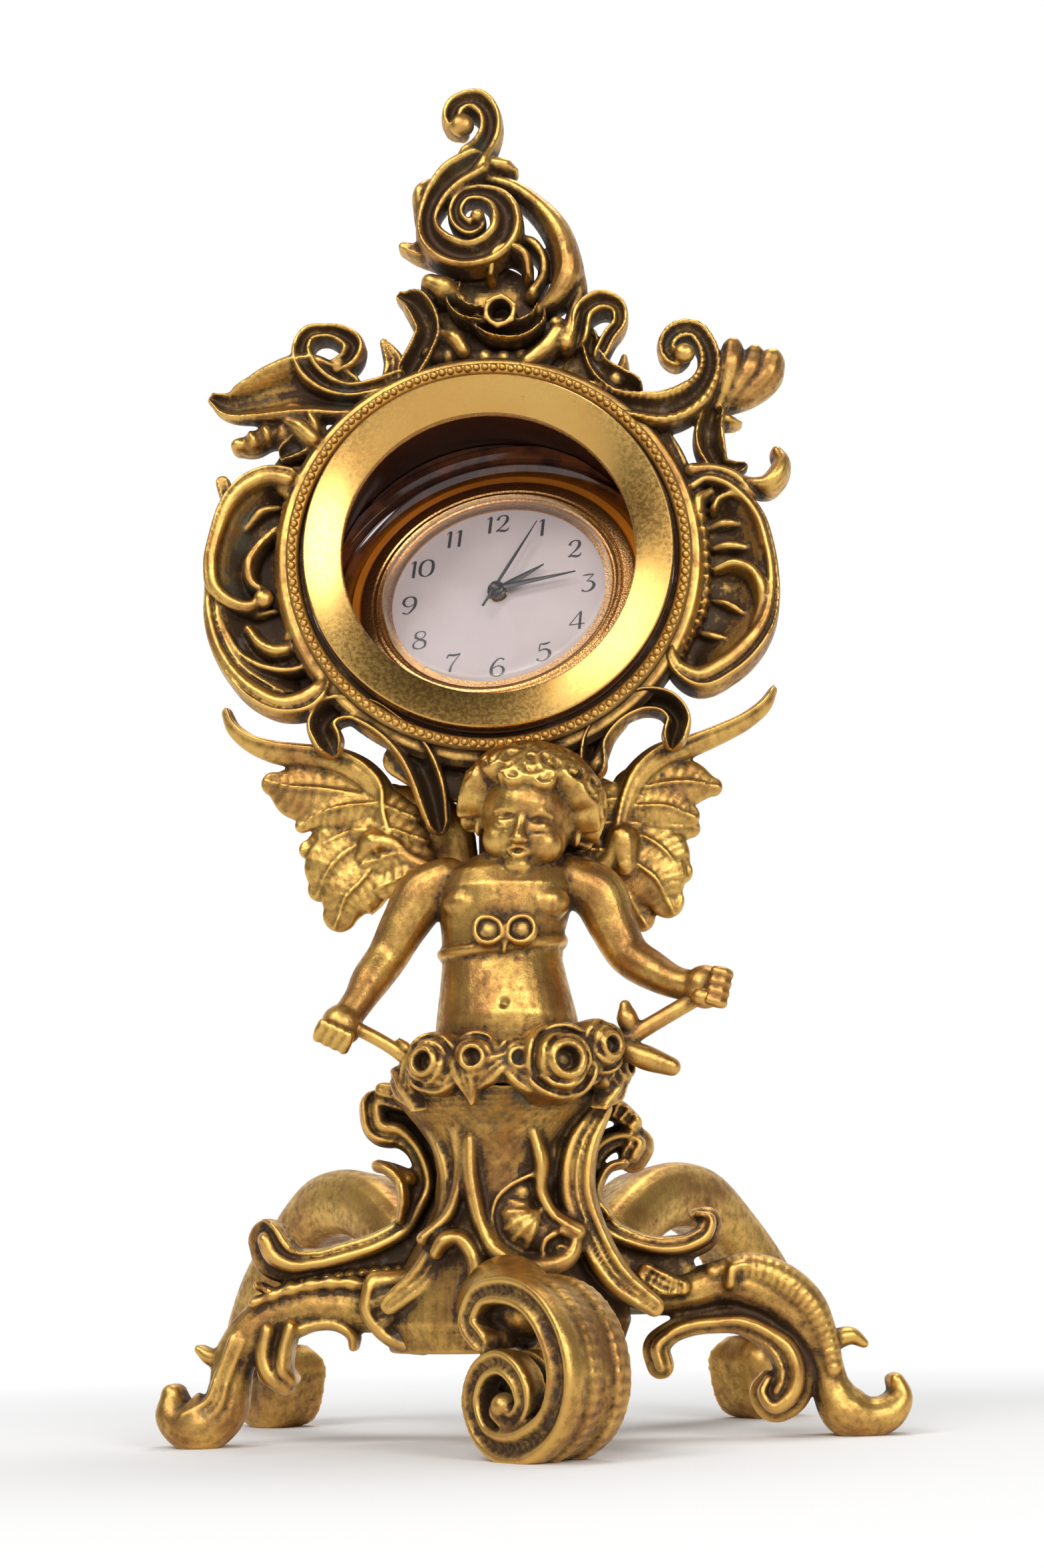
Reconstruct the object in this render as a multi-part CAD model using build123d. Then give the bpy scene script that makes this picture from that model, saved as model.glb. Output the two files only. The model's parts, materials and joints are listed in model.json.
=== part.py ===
from build123d import *
import math
import os

# A miniature clock: a gilt scroll stand carries a winged child, who carries a round clock drum
# in a scroll frame. A small quartz insert sits tilted in the drum.
# Millimetres. +Z is up, the clock faces -Y, and the stand rests on z = 0.
# The origin is the middle of the stand's footprint on the floor.

# Places
stand_centre_x = 1.94
stand_centre_y = 5.3
overrun = 60.0
seat_clearance = 0.05
running_clearance = 0.05
seen_gap = 0.3

# Drum, its bezel and its rear cover; depths are measured forwards from the drum's middle
drum_outer_radius = 17.6
drum_wall = 1.7
drum_front = 8.0
drum_back = 10.2
lug_reach = 2.8
lug_width = 4.0
lug_thickness = 1.4
bezel_inset = 0.1
bezel_band_width = 3.6
bezel_outer_radius = drum_outer_radius - bezel_inset
bezel_opening_radius = bezel_outer_radius - bezel_band_width
bezel_edge_thickness = 0.8
bezel_rise = 1.2
bezel_skirt_wall = 0.6
bezel_skirt_length = 1.6
cover_thickness = 1.0
cover_skirt_wall = 0.7
cover_skirt_length = 3.4
cover_knob_radius = 1.6
cover_knob_height = 0.8

# Bead rim and scroll frame around the drum
rim_clearance = 0.5
rim_width = 1.2
rim_inner_radius = drum_outer_radius + rim_clearance
rim_outer_radius = rim_inner_radius + rim_width
rim_height = 1.9
frame_ring_border = 1.3
frame_ring_radius = rim_outer_radius + frame_ring_border
frame_ring_thickness = 2.5
frame_ring_back = 4.7
frame_middle = 5.5
scroll_thickness = 2.6
groove_depth = 0.45
frame_screw_reach = 1.7
frame_screw_circle = drum_outer_radius + frame_screw_reach
frame_screw_radius = 0.6
frame_screw_head_radius = 1.0
frame_screw_head_height = 0.6
frame_screw_length = 2.9
crest_tab_width = 13.0
crest_tab_low = 1.6
crest_tab_height = 5.3
crest_tab_bottom = drum_outer_radius + crest_tab_low
crest_tab_top = crest_tab_bottom + crest_tab_height
crest_tab_thickness = 1.5
crest_screw_spread = 4.2
flower_radius = 1.9
flower_bore = 1.25
flower_length = 3.0
flower_petal_radius = 2.3

# Quartz insert, measured back from the front of its dial
insert_offset_x = 0.62
insert_depth = 1.6
insert_drop = 2.0
insert_tilt = 20.6
insert_turn = 9.75
insert_spin = 3.3
flange_outer_radius = 13.7
flange_front = 0.8
flange_back = 0.2
flange_inner_radius = 11.35
flange_lip_radius = 10.6
flange_lip_thickness = 0.2
crystal_wall = 0.7
crystal_side_height = 1.5
crystal_dome_height = 1.1
dial_radius = 11.0
dial_thickness = 0.35
dial_hole_radius = 0.95
case_outer_radius = 11.5
case_wall = 0.35
case_depth = 6.0
back_thickness = 0.6
back_lip_length = 0.8
seat_collar_radius = 14.7
seat_collar_height = 0.5
seat_back = 6.4
crown_notch_width = 4.4
crown_notch_depth = 4.6

# Movement inside the insert
movement_radius = 8.85
holder_inner_radius = 8.95
holder_outer_radius = 11.05
holder_depth = 3.2
plate_front = 1.05
plate_thickness = 0.4
bridge_front = 3.2
bridge_thickness = 0.3
bridge_radius = 5.6
bridge_post_radius = 0.5
wheel_thickness = 0.15
mesh_clearance = 0.05
dial_train_thickness = 0.2
hour_level = 0.45
motion_level = 0.75
centre_level = 1.6
third_level = 2.15
second_level = 2.6
rotor_level = 2.85
centre_wheel_radius = 1.888
third_wheel_radius = 1.875
third_pinion_radius = 0.236
second_wheel_radius = 1.9
second_pinion_radius = 0.25
middle_wheel_radius = 1.5
middle_pinion_radius = 0.38
rotor_pinion_radius = 0.25
rotor_magnet_radius = 0.75
rotor_magnet_height = 0.6
cannon_radius = 0.6
minute_wheel_radius = 1.8
minute_pinion_radius = 0.48
hour_wheel_radius = 1.92
setting_wheel_radius = 0.9
setting_wheel_x = 1.45
setting_wheel_y = 4.86
third_bearing = 120.0
middle_bearing = -40.0
rotor_bearing = -20.0
minute_bearing = 60.0
hour_pipe_radius = 0.75
minute_pipe_radius = 0.5
second_arbor_radius = 0.2
pin_radius = 0.14
stud_radius = 0.18
battery_x = -3.3
battery_y = -4.3
battery_radius = 3.4
battery_height = 2.15
battery_front = 1.45
clamp_thickness = 0.2
clamp_width = 2.0
coil_x = 6.3
coil_y = 1.5
coil_width = 1.8
coil_length = 6.4
coil_front = 1.5
coil_height = 1.6
core_width = 0.8
core_thickness = 0.5
stator_thickness = 0.2
stator_ring_radius = 1.5
board_x = -4.9
board_y = 3.5
board_width = 4.6
board_height = 5.0
board_thickness = 0.3
quartz_radius = 0.7
quartz_length = 4.2
stem_level = 1.55
stem_radius = 0.3
stem_root = 3.9
stem_groove_radius = 0.2
stem_groove_length = 0.4
stem_groove_place = 6.4
sliding_pinion_radius = 0.45
sliding_pinion_length = 1.0
crown_radius = 1.05
crown_length = 1.25
crown_place = 11.75
lever_width = 1.8
lever_height = 1.4
lever_slot_depth = 0.9

# Hands
hand_thickness = 0.15
hour_hand_front = 0.6
minute_hand_front = 0.95
second_hand_front = 1.3
hour_hand_length = 5.1
hour_hand_width = 0.62
hour_hub_radius = 1.1
minute_hand_length = 7.9
minute_hand_width = 0.5
minute_hub_radius = 0.9
second_hand_length = 8.6
second_hand_tail = 2.6
second_hand_width = 0.2
second_hub_radius = 0.6
hour_hand_bearing = 28.0
minute_hand_bearing = 6.0
second_hand_bearing = 61.0

# Heights: the stand carries the figure, and the figure carries the drum on its bracket
pedestal_height = 31.0
waist_rise = 3.0
figure_height = 28.0
figure_gap = 1.9
figure_waist = pedestal_height + waist_rise
drum_underside = figure_waist + figure_height + figure_gap
drum_axis_height = drum_underside + drum_outer_radius

# Child figure: sizes follow figure_height, from the rose collar to the top of the head
figure_front = 7.0
back_flat = 3.0
collar_long_radius = 10.2
collar_short_radius = 8.2
collar_height = 3.4
collar_hole_long_radius = 7.0
collar_hole_short_radius = 5.9
figure_x = 0.9
branch_radius = 0.65
wing_middle = 1.9
wing_thickness = 2.0
wing_screw_radius = 0.7
wing_screw_head_radius = 1.3
wing_screw_head_height = 0.7
wing_screw_length = 3.8
screw_head_room = 1.5
bracket_x = 0.8
bracket_width = 5.0
bracket_thickness = 2.6
bracket_foot_height = 9.0
bracket_foot_rise = 9.0
bracket_foot_low = figure_waist + bracket_foot_rise
saddle_thickness = 1.8
saddle_width = 9.0
saddle_front = 2.9
saddle_back = 6.5
saddle_screw_radius = 0.9
saddle_screw_head_radius = 1.6
saddle_screw_head_height = 0.8
saddle_screw_depth = 2.4

# Stand: sizes follow pedestal_height
leg_seat = 9.5
leg_root_height = 19.5
pedestal_bottom = 8.0
cavity_radius = 6.4
cavity_height = 20.0
cavity_front = 2.0
front_leg_x = 3.4
front_leg_front = 20.6
front_leg_bearing = -45.0
front_leg_thickness = 7.0
front_root_width = 8.4
front_root_length = 8.6
side_leg_back = 2.4
side_leg_thickness = 6.0
rear_leg_x = 5.0
rear_leg_back = 8.0
rear_leg_bearing = 48.7
rear_leg_thickness = 8.0
stud_rod_radius = 1.25
stud_drop = 14.4
stud_rise = 8.0
stud_low = pedestal_height - stud_drop
stud_high = pedestal_height + stud_rise
stud_ahead = 3.2
washer_radius = 3.0
washer_thickness = 0.6
nut_across_flats = 5.0
nut_height = 2.0
leg_screw_radius = 1.0
leg_screw_head_radius = 1.8
leg_screw_head_height = 1.1
leg_screw_grip = 4.2
leg_screw_height = 12.0
side_screw_back = 1.0
rear_screw_spread = 3.4
panel_front = 8.6

# Layers of the castings: how far forwards a band is lifted and how thick it is, as shares of its plate
scroll_layer_share = (0.08, 1.0)
plate_layer_share = (0.0, 0.9)
leaf_layer_share = (-0.04, 0.8)
inner_layer_share = (-0.08, 0.7)
web_layer_share = (-0.12, 0.34)
shell_step_share = 0.02
shell_thick_share = 0.85
spiral_layer_share = (0.1, 1.0)
finial_layer_share = (0.04, 1.0)
arc_layer_share = (0.06, 0.9)
lobe_layer_share = (0.15, 0.9)
crest_leaf_layer_share = (0.0, 0.8)
crest_inner_layer_share = (-0.1, 0.7)
crest_web_layer_share = (-0.1, 0.5)
room_layer_share = (0.0, 3.0)
figure_room_layer_share = (0.0, 1.4)
flower_room_layer_share = (0.1, 3.0)
leg_layer_share = (0.0, 1.0)
stand_scroll_layer_share = (0.12, 0.9)
hook_layer_share = (0.05, 0.5)
point_layer_share = (0.0, 0.6)
curl_a_layer_share = (0.2, 0.7)
curl_b_layer_share = (0.26, 0.6)
fan_layer_share = (0.4, 0.6)
stand_web_layer_share = (0.0, 0.7)
arch_layer_share = (0.22, 0.7)
top_leaf_layer_share = (0.4, 0.8)
stand_curl_layer_share = (0.2, 0.5)
panel_layer_share = (0.1, 0.6)
snail_layer_share = (0.05, 0.6)
feather_thick_share = 0.8
feather_step_share = [0.0, 0.08, -0.04, 0.04, 0.1]

# Bands: each point is x, z and half width, as shares of the size that the band follows
finial_share = [(-0.05, 2.37, 0.09), (0.01, 2.46, 0.07), (0.05, 2.56, 0.065), (0.04, 2.67, 0.065),
                (-0.02, 2.74, 0.07), (-0.09, 2.75, 0.06), (-0.15, 2.71, 0.06), (-0.16, 2.63, 0.055),
                (-0.11, 2.6, 0.035)]
finial_leaf_share = [(0.03, 2.36, 0.04), (0.1, 2.35, 0.04), (0.15, 2.34, 0.035), (0.18, 2.33, 0.02)]
spiral_share = [(-0.05, 2.33, 0.075), (-0.17, 2.25, 0.075), (-0.26, 2.15, 0.06), (-0.31, 2.02, 0.05),
                (-0.29, 1.89, 0.065), (-0.2, 1.79, 0.075), (-0.09, 1.76, 0.07), (0.04, 1.79, 0.075),
                (0.12, 1.88, 0.075), (0.13, 2.0, 0.07), (0.08, 2.1, 0.055), (-0.01, 2.15, 0.04),
                (-0.1, 2.14, 0.035), (-0.15, 2.06, 0.035), (-0.13, 1.97, 0.04), (-0.07, 1.93, 0.04),
                (-0.02, 1.97, 0.03), (-0.03, 2.03, 0.025)]
outer_leaf_share = [(-0.3, 2.26, 0.025), (-0.35, 2.21, 0.035), (-0.36, 2.1, 0.03), (-0.35, 2.0, 0.025),
                    (-0.32, 1.92, 0.015)]
spike_leaf_share = [(-0.46, 1.89, 0.02), (-0.38, 1.85, 0.035), (-0.28, 1.81, 0.04), (-0.19, 1.76, 0.03)]
left_leaf_share = [(-0.47, 1.58, 0.025), (-0.41, 1.54, 0.055), (-0.35, 1.45, 0.065),
                   (-0.32, 1.35, 0.06), (-0.36, 1.23, 0.06), (-0.42, 1.12, 0.06)]
rolled_leaf_share = [(-0.29, 1.62, 0.05), (-0.22, 1.58, 0.06), (-0.14, 1.53, 0.035)]
left_lobe_share = [(-0.23, 1.32, 0.035), (-0.18, 1.29, 0.05), (-0.13, 1.22, 0.045)]
crest_arc_share = [(0.0, 2.28, 0.03), (0.16, 2.21, 0.045), (0.3, 2.09, 0.055), (0.4, 1.95, 0.07),
                   (0.46, 1.78, 0.075), (0.47, 1.65, 0.08), (0.41, 1.53, 0.065), (0.31, 1.46, 0.035)]
crest_tail_share = [(0.5, 1.75, 0.035), (0.53, 1.63, 0.035), (0.52, 1.5, 0.04), (0.49, 1.37, 0.045),
                    (0.45, 1.25, 0.05)]
crest_inner_leaf_share = [(0.19, 1.89, 0.025), (0.27, 1.86, 0.03), (0.33, 1.77, 0.025),
                          (0.33, 1.67, 0.025), (0.27, 1.56, 0.03)]
right_lobe_share = [(0.4, 1.3, 0.05), (0.34, 1.22, 0.05), (0.24, 1.14, 0.045)]
crest_web_share = [(-0.34, 1.24, 0.1), (-0.2, 1.4, 0.13), (-0.08, 1.62, 0.12), (0.08, 1.66, 0.12),
                   (0.26, 1.42, 0.14), (0.4, 1.24, 0.1), (0.12, 1.24, 0.12), (-0.14, 1.24, 0.12)]
right_curl_share = [(0.52, 1.28, 0.045), (0.56, 1.43, 0.05), (0.65, 1.48, 0.05), (0.74, 1.45, 0.04),
                    (0.75, 1.37, 0.035), (0.69, 1.28, 0.035), (0.64, 1.18, 0.035)]
right_curl_root_share = [(0.58, 1.3, 0.035), (0.59, 1.2, 0.04), (0.63, 1.1, 0.05), (0.69, 1.03, 0.06),
                         (0.79, 0.97, 0.06)]
right_spike_share = [(0.77, 1.18, 0.015), (0.76, 1.11, 0.03), (0.72, 1.03, 0.045)]
left_horn_share = [(-1.52, 1.0, 0.035), (-1.44, 0.96, 0.08), (-1.31, 0.97, 0.125), (-1.16, 1.0, 0.165),
                   (-1.0, 1.02, 0.185), (-0.84, 0.99, 0.15)]
left_volute_share = [(-0.48, 1.07, 0.035), (-0.62, 1.02, 0.035), (-0.77, 1.0, 0.035),
                     (-0.9, 1.04, 0.045), (-0.99, 1.13, 0.05), (-1.02, 1.24, 0.045),
                     (-0.98, 1.33, 0.04), (-0.88, 1.35, 0.035), (-0.79, 1.31, 0.045),
                     (-0.73, 1.24, 0.05), (-0.76, 1.17, 0.045), (-0.82, 1.14, 0.035)]
left_shoulder_leaf_share = [(-0.57, 1.31, 0.02), (-0.54, 1.25, 0.035), (-0.51, 1.17, 0.05),
                            (-0.52, 1.08, 0.05)]
left_bud_share = [(-1.09, 0.82, 0.04), (-1.03, 0.78, 0.05), (-0.96, 0.71, 0.05)]
left_bud_hood_share = [(-1.16, 0.86, 0.02), (-1.08, 0.92, 0.02), (-1.0, 0.88, 0.025),
                       (-0.95, 0.8, 0.03), (-0.93, 0.7, 0.02)]
left_cup_share = [(-1.1, 0.67, 0.05), (-1.02, 0.71, 0.065), (-0.96, 0.78, 0.06)]
left_low_leaf_share = [(-1.38, 0.72, 0.04), (-1.31, 0.73, 0.06), (-1.22, 0.77, 0.06),
                       (-1.13, 0.78, 0.06)]
left_back_leaf_share = [(-1.47, 0.51, 0.035), (-1.45, 0.44, 0.035), (-1.41, 0.36, 0.04)]
left_c_upper_share = [(-1.1, 0.48, 0.06), (-1.2, 0.5, 0.055), (-1.32, 0.45, 0.055), (-1.42, 0.34, 0.05),
                      (-1.48, 0.18, 0.045), (-1.51, 0.01, 0.045), (-1.49, -0.12, 0.045),
                      (-1.41, -0.2, 0.04), (-1.31, -0.23, 0.035), (-1.23, -0.19, 0.025)]
left_c_lower_share = [(-1.54, -0.1, 0.02), (-1.52, -0.29, 0.035), (-1.47, -0.46, 0.04),
                      (-1.37, -0.62, 0.05), (-1.25, -0.73, 0.065), (-1.11, -0.79, 0.07),
                      (-0.98, -0.76, 0.08), (-0.9, -0.67, 0.05), (-0.89, -0.6, 0.03)]
left_inner_leaf_share = [(-1.17, 0.21, 0.02), (-1.26, 0.11, 0.025), (-1.31, 0.0, 0.03),
                         (-1.29, -0.1, 0.025), (-1.22, -0.14, 0.02)]
left_inner_hook_share = [(-1.31, -0.36, 0.03), (-1.24, -0.45, 0.035), (-1.16, -0.49, 0.04),
                         (-1.09, -0.47, 0.035), (-1.08, -0.41, 0.02)]
left_rib_share = [(-1.05, 0.52, 0.05), (-1.11, 0.25, 0.04), (-1.13, 0.06, 0.045), (-1.11, -0.15, 0.06),
                  (-1.04, -0.35, 0.06), (-0.95, -0.5, 0.06), (-0.86, -0.66, 0.06)]
left_web_share = [(-1.06, 0.66, 0.1), (-1.22, 0.38, 0.12), (-1.32, 0.1, 0.15), (-1.3, -0.2, 0.17),
                  (-1.2, -0.48, 0.15), (-1.02, -0.62, 0.12)]
right_c_share = [(1.13, 0.38, 0.03), (1.2, 0.42, 0.03), (1.29, 0.4, 0.03), (1.38, 0.33, 0.03),
                 (1.47, 0.2, 0.03), (1.51, 0.05, 0.03), (1.53, -0.12, 0.03), (1.52, -0.27, 0.035),
                 (1.47, -0.42, 0.05), (1.38, -0.54, 0.065), (1.26, -0.64, 0.07), (1.11, -0.7, 0.07),
                 (1.01, -0.64, 0.05), (0.98, -0.55, 0.04), (1.01, -0.49, 0.025)]
right_c_top_share = [(1.12, 0.47, 0.045), (1.23, 0.48, 0.035), (1.34, 0.44, 0.035), (1.44, 0.33, 0.025)]
right_c_second_share = [(1.23, 0.26, 0.02), (1.26, 0.31, 0.02), (1.33, 0.33, 0.02), (1.39, 0.29, 0.02),
                        (1.45, 0.18, 0.02), (1.48, 0.04, 0.02)]
right_crescent_share = [(1.23, -0.08, 0.02), (1.32, -0.06, 0.03), (1.41, -0.1, 0.035),
                        (1.46, -0.2, 0.04), (1.46, -0.31, 0.035), (1.42, -0.43, 0.035)]
right_scallop_share = [(1.15, 0.2, 0.035), (1.17, 0.06, 0.03), (1.17, -0.07, 0.03), (1.17, -0.2, 0.025),
                       (1.15, -0.31, 0.025), (1.1, -0.41, 0.025), (1.04, -0.49, 0.025)]
right_web_share = [(1.1, 0.42, 0.1), (1.26, 0.26, 0.12), (1.34, 0.04, 0.14), (1.31, -0.2, 0.17),
                   (1.22, -0.44, 0.16), (1.04, -0.56, 0.1)]
right_volute_share = [(0.57, 0.96, 0.05), (0.68, 0.89, 0.065), (0.82, 0.84, 0.075), (0.98, 0.82, 0.09),
                      (1.11, 0.87, 0.085), (1.2, 0.97, 0.065), (1.24, 1.09, 0.055), (1.22, 1.21, 0.05),
                      (1.16, 1.29, 0.05), (1.07, 1.29, 0.05), (1.01, 1.23, 0.045), (1.01, 1.16, 0.04),
                      (1.06, 1.12, 0.035), (1.1, 1.15, 0.035)]
right_shoulder_web_share = [(0.52, 1.12, 0.1), (0.66, 0.98, 0.09), (0.82, 0.9, 0.08)]
shell_rib_share = [[(1.28, 0.87, 0.03), (1.33, 0.99, 0.05), (1.36, 1.1, 0.06), (1.37, 1.19, 0.05)],
                   [(1.31, 0.87, 0.03), (1.4, 0.98, 0.05), (1.47, 1.08, 0.06), (1.49, 1.16, 0.045)],
                   [(1.33, 0.88, 0.03), (1.46, 0.95, 0.055), (1.56, 1.05, 0.07), (1.58, 1.11, 0.065)]]
right_low_leaf_share = [(1.25, 0.82, 0.055), (1.22, 0.7, 0.075), (1.23, 0.58, 0.075), (1.29, 0.5, 0.05),
                        (1.36, 0.5, 0.035), (1.41, 0.52, 0.02)]
right_low_spike_share = [(1.3, 0.78, 0.035), (1.36, 0.77, 0.025), (1.4, 0.77, 0.01)]
right_low_curl_share = [(1.33, 0.45, 0.03), (1.44, 0.4, 0.035), (1.53, 0.39, 0.05), (1.59, 0.45, 0.05),
                        (1.61, 0.53, 0.04), (1.59, 0.58, 0.03)]
right_wedge_share = [(0.97, 0.73, 0.03), (1.02, 0.59, 0.05), (1.06, 0.45, 0.06)]
left_s_share = [(-0.88, -0.99, 0.045), (-0.91, -0.91, 0.045), (-0.86, -0.84, 0.045),
                (-0.77, -0.82, 0.04), (-0.65, -0.86, 0.045), (-0.54, -0.94, 0.045),
                (-0.43, -1.06, 0.05), (-0.36, -1.2, 0.05), (-0.32, -1.34, 0.045), (-0.3, -1.44, 0.035)]
right_s_share = [(0.97, -1.01, 0.035), (0.99, -0.93, 0.035), (0.94, -0.85, 0.035), (0.83, -0.82, 0.035),
                 (0.72, -0.85, 0.035), (0.61, -0.93, 0.035), (0.54, -1.04, 0.035), (0.53, -1.16, 0.04)]
right_s_inner_share = [(0.7, -0.92, 0.02), (0.63, -1.0, 0.025), (0.58, -1.1, 0.03), (0.55, -1.17, 0.035)]
left_wing_share = [[(-0.92, 1.22, 0.02), (-0.9, 1.17, 0.025), (-0.85, 1.12, 0.03), (-0.76, 1.08, 0.04),
                    (-0.65, 1.06, 0.045), (-0.54, 1.04, 0.05), (-0.45, 0.99, 0.055),
                    (-0.39, 0.92, 0.05), (-0.38, 0.82, 0.05), (-0.36, 0.74, 0.05)],
                   [(-0.76, 0.97, 0.025), (-0.7, 0.95, 0.055), (-0.61, 0.94, 0.065), (-0.49, 0.92, 0.065)],
                   [(-0.66, 0.82, 0.015), (-0.61, 0.85, 0.025), (-0.53, 0.87, 0.04), (-0.42, 0.88, 0.04)],
                   [(-0.64, 0.74, 0.02), (-0.59, 0.75, 0.045), (-0.52, 0.78, 0.055), (-0.42, 0.82, 0.05)],
                   [(-0.6, 0.6, 0.025), (-0.58, 0.64, 0.05), (-0.53, 0.7, 0.06), (-0.44, 0.76, 0.05)],
                   [(-0.53, 0.51, 0.035), (-0.51, 0.56, 0.055), (-0.46, 0.61, 0.06), (-0.4, 0.69, 0.05)],
                   [(-0.45, 0.71, 0.03), (-0.42, 0.74, 0.055), (-0.36, 0.74, 0.045),
                    (-0.3, 0.69, 0.04), (-0.22, 0.64, 0.045), (-0.17, 0.58, 0.05)]]
right_wing_share = [[(0.96, 1.25, 0.015), (0.93, 1.2, 0.025), (0.87, 1.15, 0.03), (0.77, 1.1, 0.035),
                     (0.67, 1.06, 0.04), (0.56, 1.02, 0.05), (0.48, 0.95, 0.05), (0.44, 0.87, 0.05),
                     (0.41, 0.76, 0.05)],
                    [(0.74, 0.92, 0.02), (0.68, 0.93, 0.045), (0.61, 0.93, 0.055), (0.48, 0.91, 0.05)],
                    [(0.65, 0.82, 0.025), (0.6, 0.84, 0.045), (0.46, 0.85, 0.045)],
                    [(0.66, 0.78, 0.02), (0.6, 0.78, 0.035), (0.46, 0.8, 0.035)],
                    [(0.62, 0.63, 0.025), (0.59, 0.67, 0.045), (0.54, 0.72, 0.05), (0.45, 0.77, 0.04)],
                    [(0.57, 0.53, 0.035), (0.54, 0.59, 0.065), (0.46, 0.66, 0.065)],
                    [(0.48, 0.48, 0.03), (0.45, 0.53, 0.065), (0.41, 0.6, 0.06)],
                    [(0.43, 0.66, 0.055), (0.42, 0.74, 0.065), (0.38, 0.67, 0.05),
                     (0.32, 0.62, 0.045), (0.25, 0.57, 0.05)]]
left_c_stand_share = [(-0.37, 0.97, 0.045), (-0.36, 0.92, 0.045), (-0.3, 0.9, 0.04), (-0.26, 0.86, 0.03),
                      (-0.23, 0.8, 0.03), (-0.22, 0.74, 0.03), (-0.25, 0.67, 0.035),
                      (-0.29, 0.61, 0.035), (-0.36, 0.57, 0.035), (-0.46, 0.54, 0.035),
                      (-0.56, 0.52, 0.035), (-0.63, 0.52, 0.045), (-0.68, 0.55, 0.055),
                      (-0.7, 0.59, 0.05)]
right_c_stand_share = [(0.39, 0.81, 0.035), (0.41, 0.85, 0.035), (0.37, 0.87, 0.03), (0.3, 0.85, 0.03),
                       (0.26, 0.8, 0.03), (0.24, 0.74, 0.03), (0.26, 0.66, 0.035), (0.3, 0.6, 0.035),
                       (0.38, 0.56, 0.03), (0.47, 0.54, 0.03), (0.55, 0.55, 0.03), (0.6, 0.58, 0.03),
                       (0.61, 0.63, 0.025), (0.57, 0.64, 0.015)]
left_top_leaf_share = [(-0.35, 1.0, 0.03), (-0.26, 0.97, 0.03), (-0.18, 0.94, 0.05)]
right_top_leaf_share = [(0.18, 0.94, 0.05), (0.27, 0.95, 0.035), (0.34, 0.95, 0.035), (0.39, 0.91, 0.03)]
left_curl_stand_share = [(-0.37, 0.8, 0.02), (-0.33, 0.79, 0.02), (-0.28, 0.76, 0.03)]
left_stand_web_share = [(-0.14, 0.84, 0.1), (-0.12, 0.7, 0.12), (-0.2, 0.58, 0.12), (-0.38, 0.46, 0.1),
                        (-0.56, 0.44, 0.09)]
right_stand_web_share = [(0.14, 0.84, 0.1), (0.12, 0.7, 0.12), (0.2, 0.58, 0.12), (0.38, 0.47, 0.09),
                         (0.5, 0.47, 0.07)]
panel_share = [(-0.08, 0.85, 0.02), (-0.08, 0.76, 0.02), (-0.07, 0.69, 0.02), (-0.05, 0.61, 0.02),
               (-0.01, 0.54, 0.025), (0.06, 0.5, 0.025), (0.14, 0.5, 0.025), (0.2, 0.53, 0.02),
               (0.21, 0.57, 0.015), (0.18, 0.59, 0.015)]
panel_snail_share = [(0.06, 0.7, 0.025), (0.05, 0.65, 0.045), (0.08, 0.6, 0.055), (0.12, 0.58, 0.04)]
left_leg_share = [(-0.12, 0.39, 0.05), (-0.28, 0.39, 0.065), (-0.4, 0.39, 0.065), (-0.5, 0.4, 0.065),
                  (-0.6, 0.4, 0.065), (-0.69, 0.37, 0.065), (-0.76, 0.31, 0.065), (-0.81, 0.24, 0.055),
                  (-0.82, 0.17, 0.055), (-0.84, 0.1, 0.065), (-0.91, 0.07, 0.08), (-0.98, 0.1, 0.055),
                  (-0.99, 0.15, 0.03)]
left_point_share = [(-0.91, 0.28, 0.015), (-0.88, 0.26, 0.025), (-0.84, 0.25, 0.035)]
left_fan_share = [[(-0.13, 0.5, 0.02), (-0.2, 0.46, 0.025), (-0.27, 0.44, 0.025), (-0.33, 0.42, 0.02)],
                  [(-0.12, 0.47, 0.02), (-0.18, 0.4, 0.03), (-0.25, 0.37, 0.03), (-0.32, 0.37, 0.025)],
                  [(-0.1, 0.45, 0.02), (-0.13, 0.38, 0.03), (-0.19, 0.33, 0.03), (-0.27, 0.33, 0.025)]]
left_curl_a_share = [(-0.7, 0.33, 0.03), (-0.71, 0.25, 0.03), (-0.69, 0.2, 0.03), (-0.65, 0.17, 0.025)]
left_curl_b_share = [(-0.63, 0.34, 0.025), (-0.65, 0.27, 0.025), (-0.65, 0.21, 0.025),
                     (-0.63, 0.19, 0.02)]
left_hook_share = [(-0.62, 0.33, 0.025), (-0.56, 0.345, 0.02), (-0.49, 0.34, 0.02), (-0.45, 0.31, 0.02),
                   (-0.45, 0.28, 0.015)]
right_leg_share = [(0.2, 0.42, 0.05), (0.34, 0.42, 0.05), (0.45, 0.41, 0.06), (0.55, 0.42, 0.065),
                   (0.64, 0.44, 0.065), (0.72, 0.43, 0.075), (0.79, 0.4, 0.075), (0.85, 0.35, 0.075),
                   (0.9, 0.28, 0.065), (0.93, 0.21, 0.055), (0.95, 0.13, 0.06), (0.99, 0.07, 0.075),
                   (1.06, 0.05, 0.06), (1.12, 0.07, 0.05), (1.15, 0.11, 0.035), (1.14, 0.15, 0.025)]
right_arch_share = [(0.45, 0.21, 0.03), (0.44, 0.26, 0.03), (0.48, 0.3, 0.025), (0.53, 0.32, 0.025),
                    (0.61, 0.33, 0.025), (0.69, 0.33, 0.03), (0.76, 0.3, 0.035), (0.82, 0.25, 0.045),
                    (0.84, 0.18, 0.045), (0.82, 0.12, 0.045), (0.77, 0.09, 0.035), (0.74, 0.13, 0.025),
                    (0.76, 0.17, 0.015)]
right_tip_share = [(0.94, 0.26, 0.03), (1.02, 0.28, 0.025), (1.05, 0.26, 0.015)]
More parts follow.
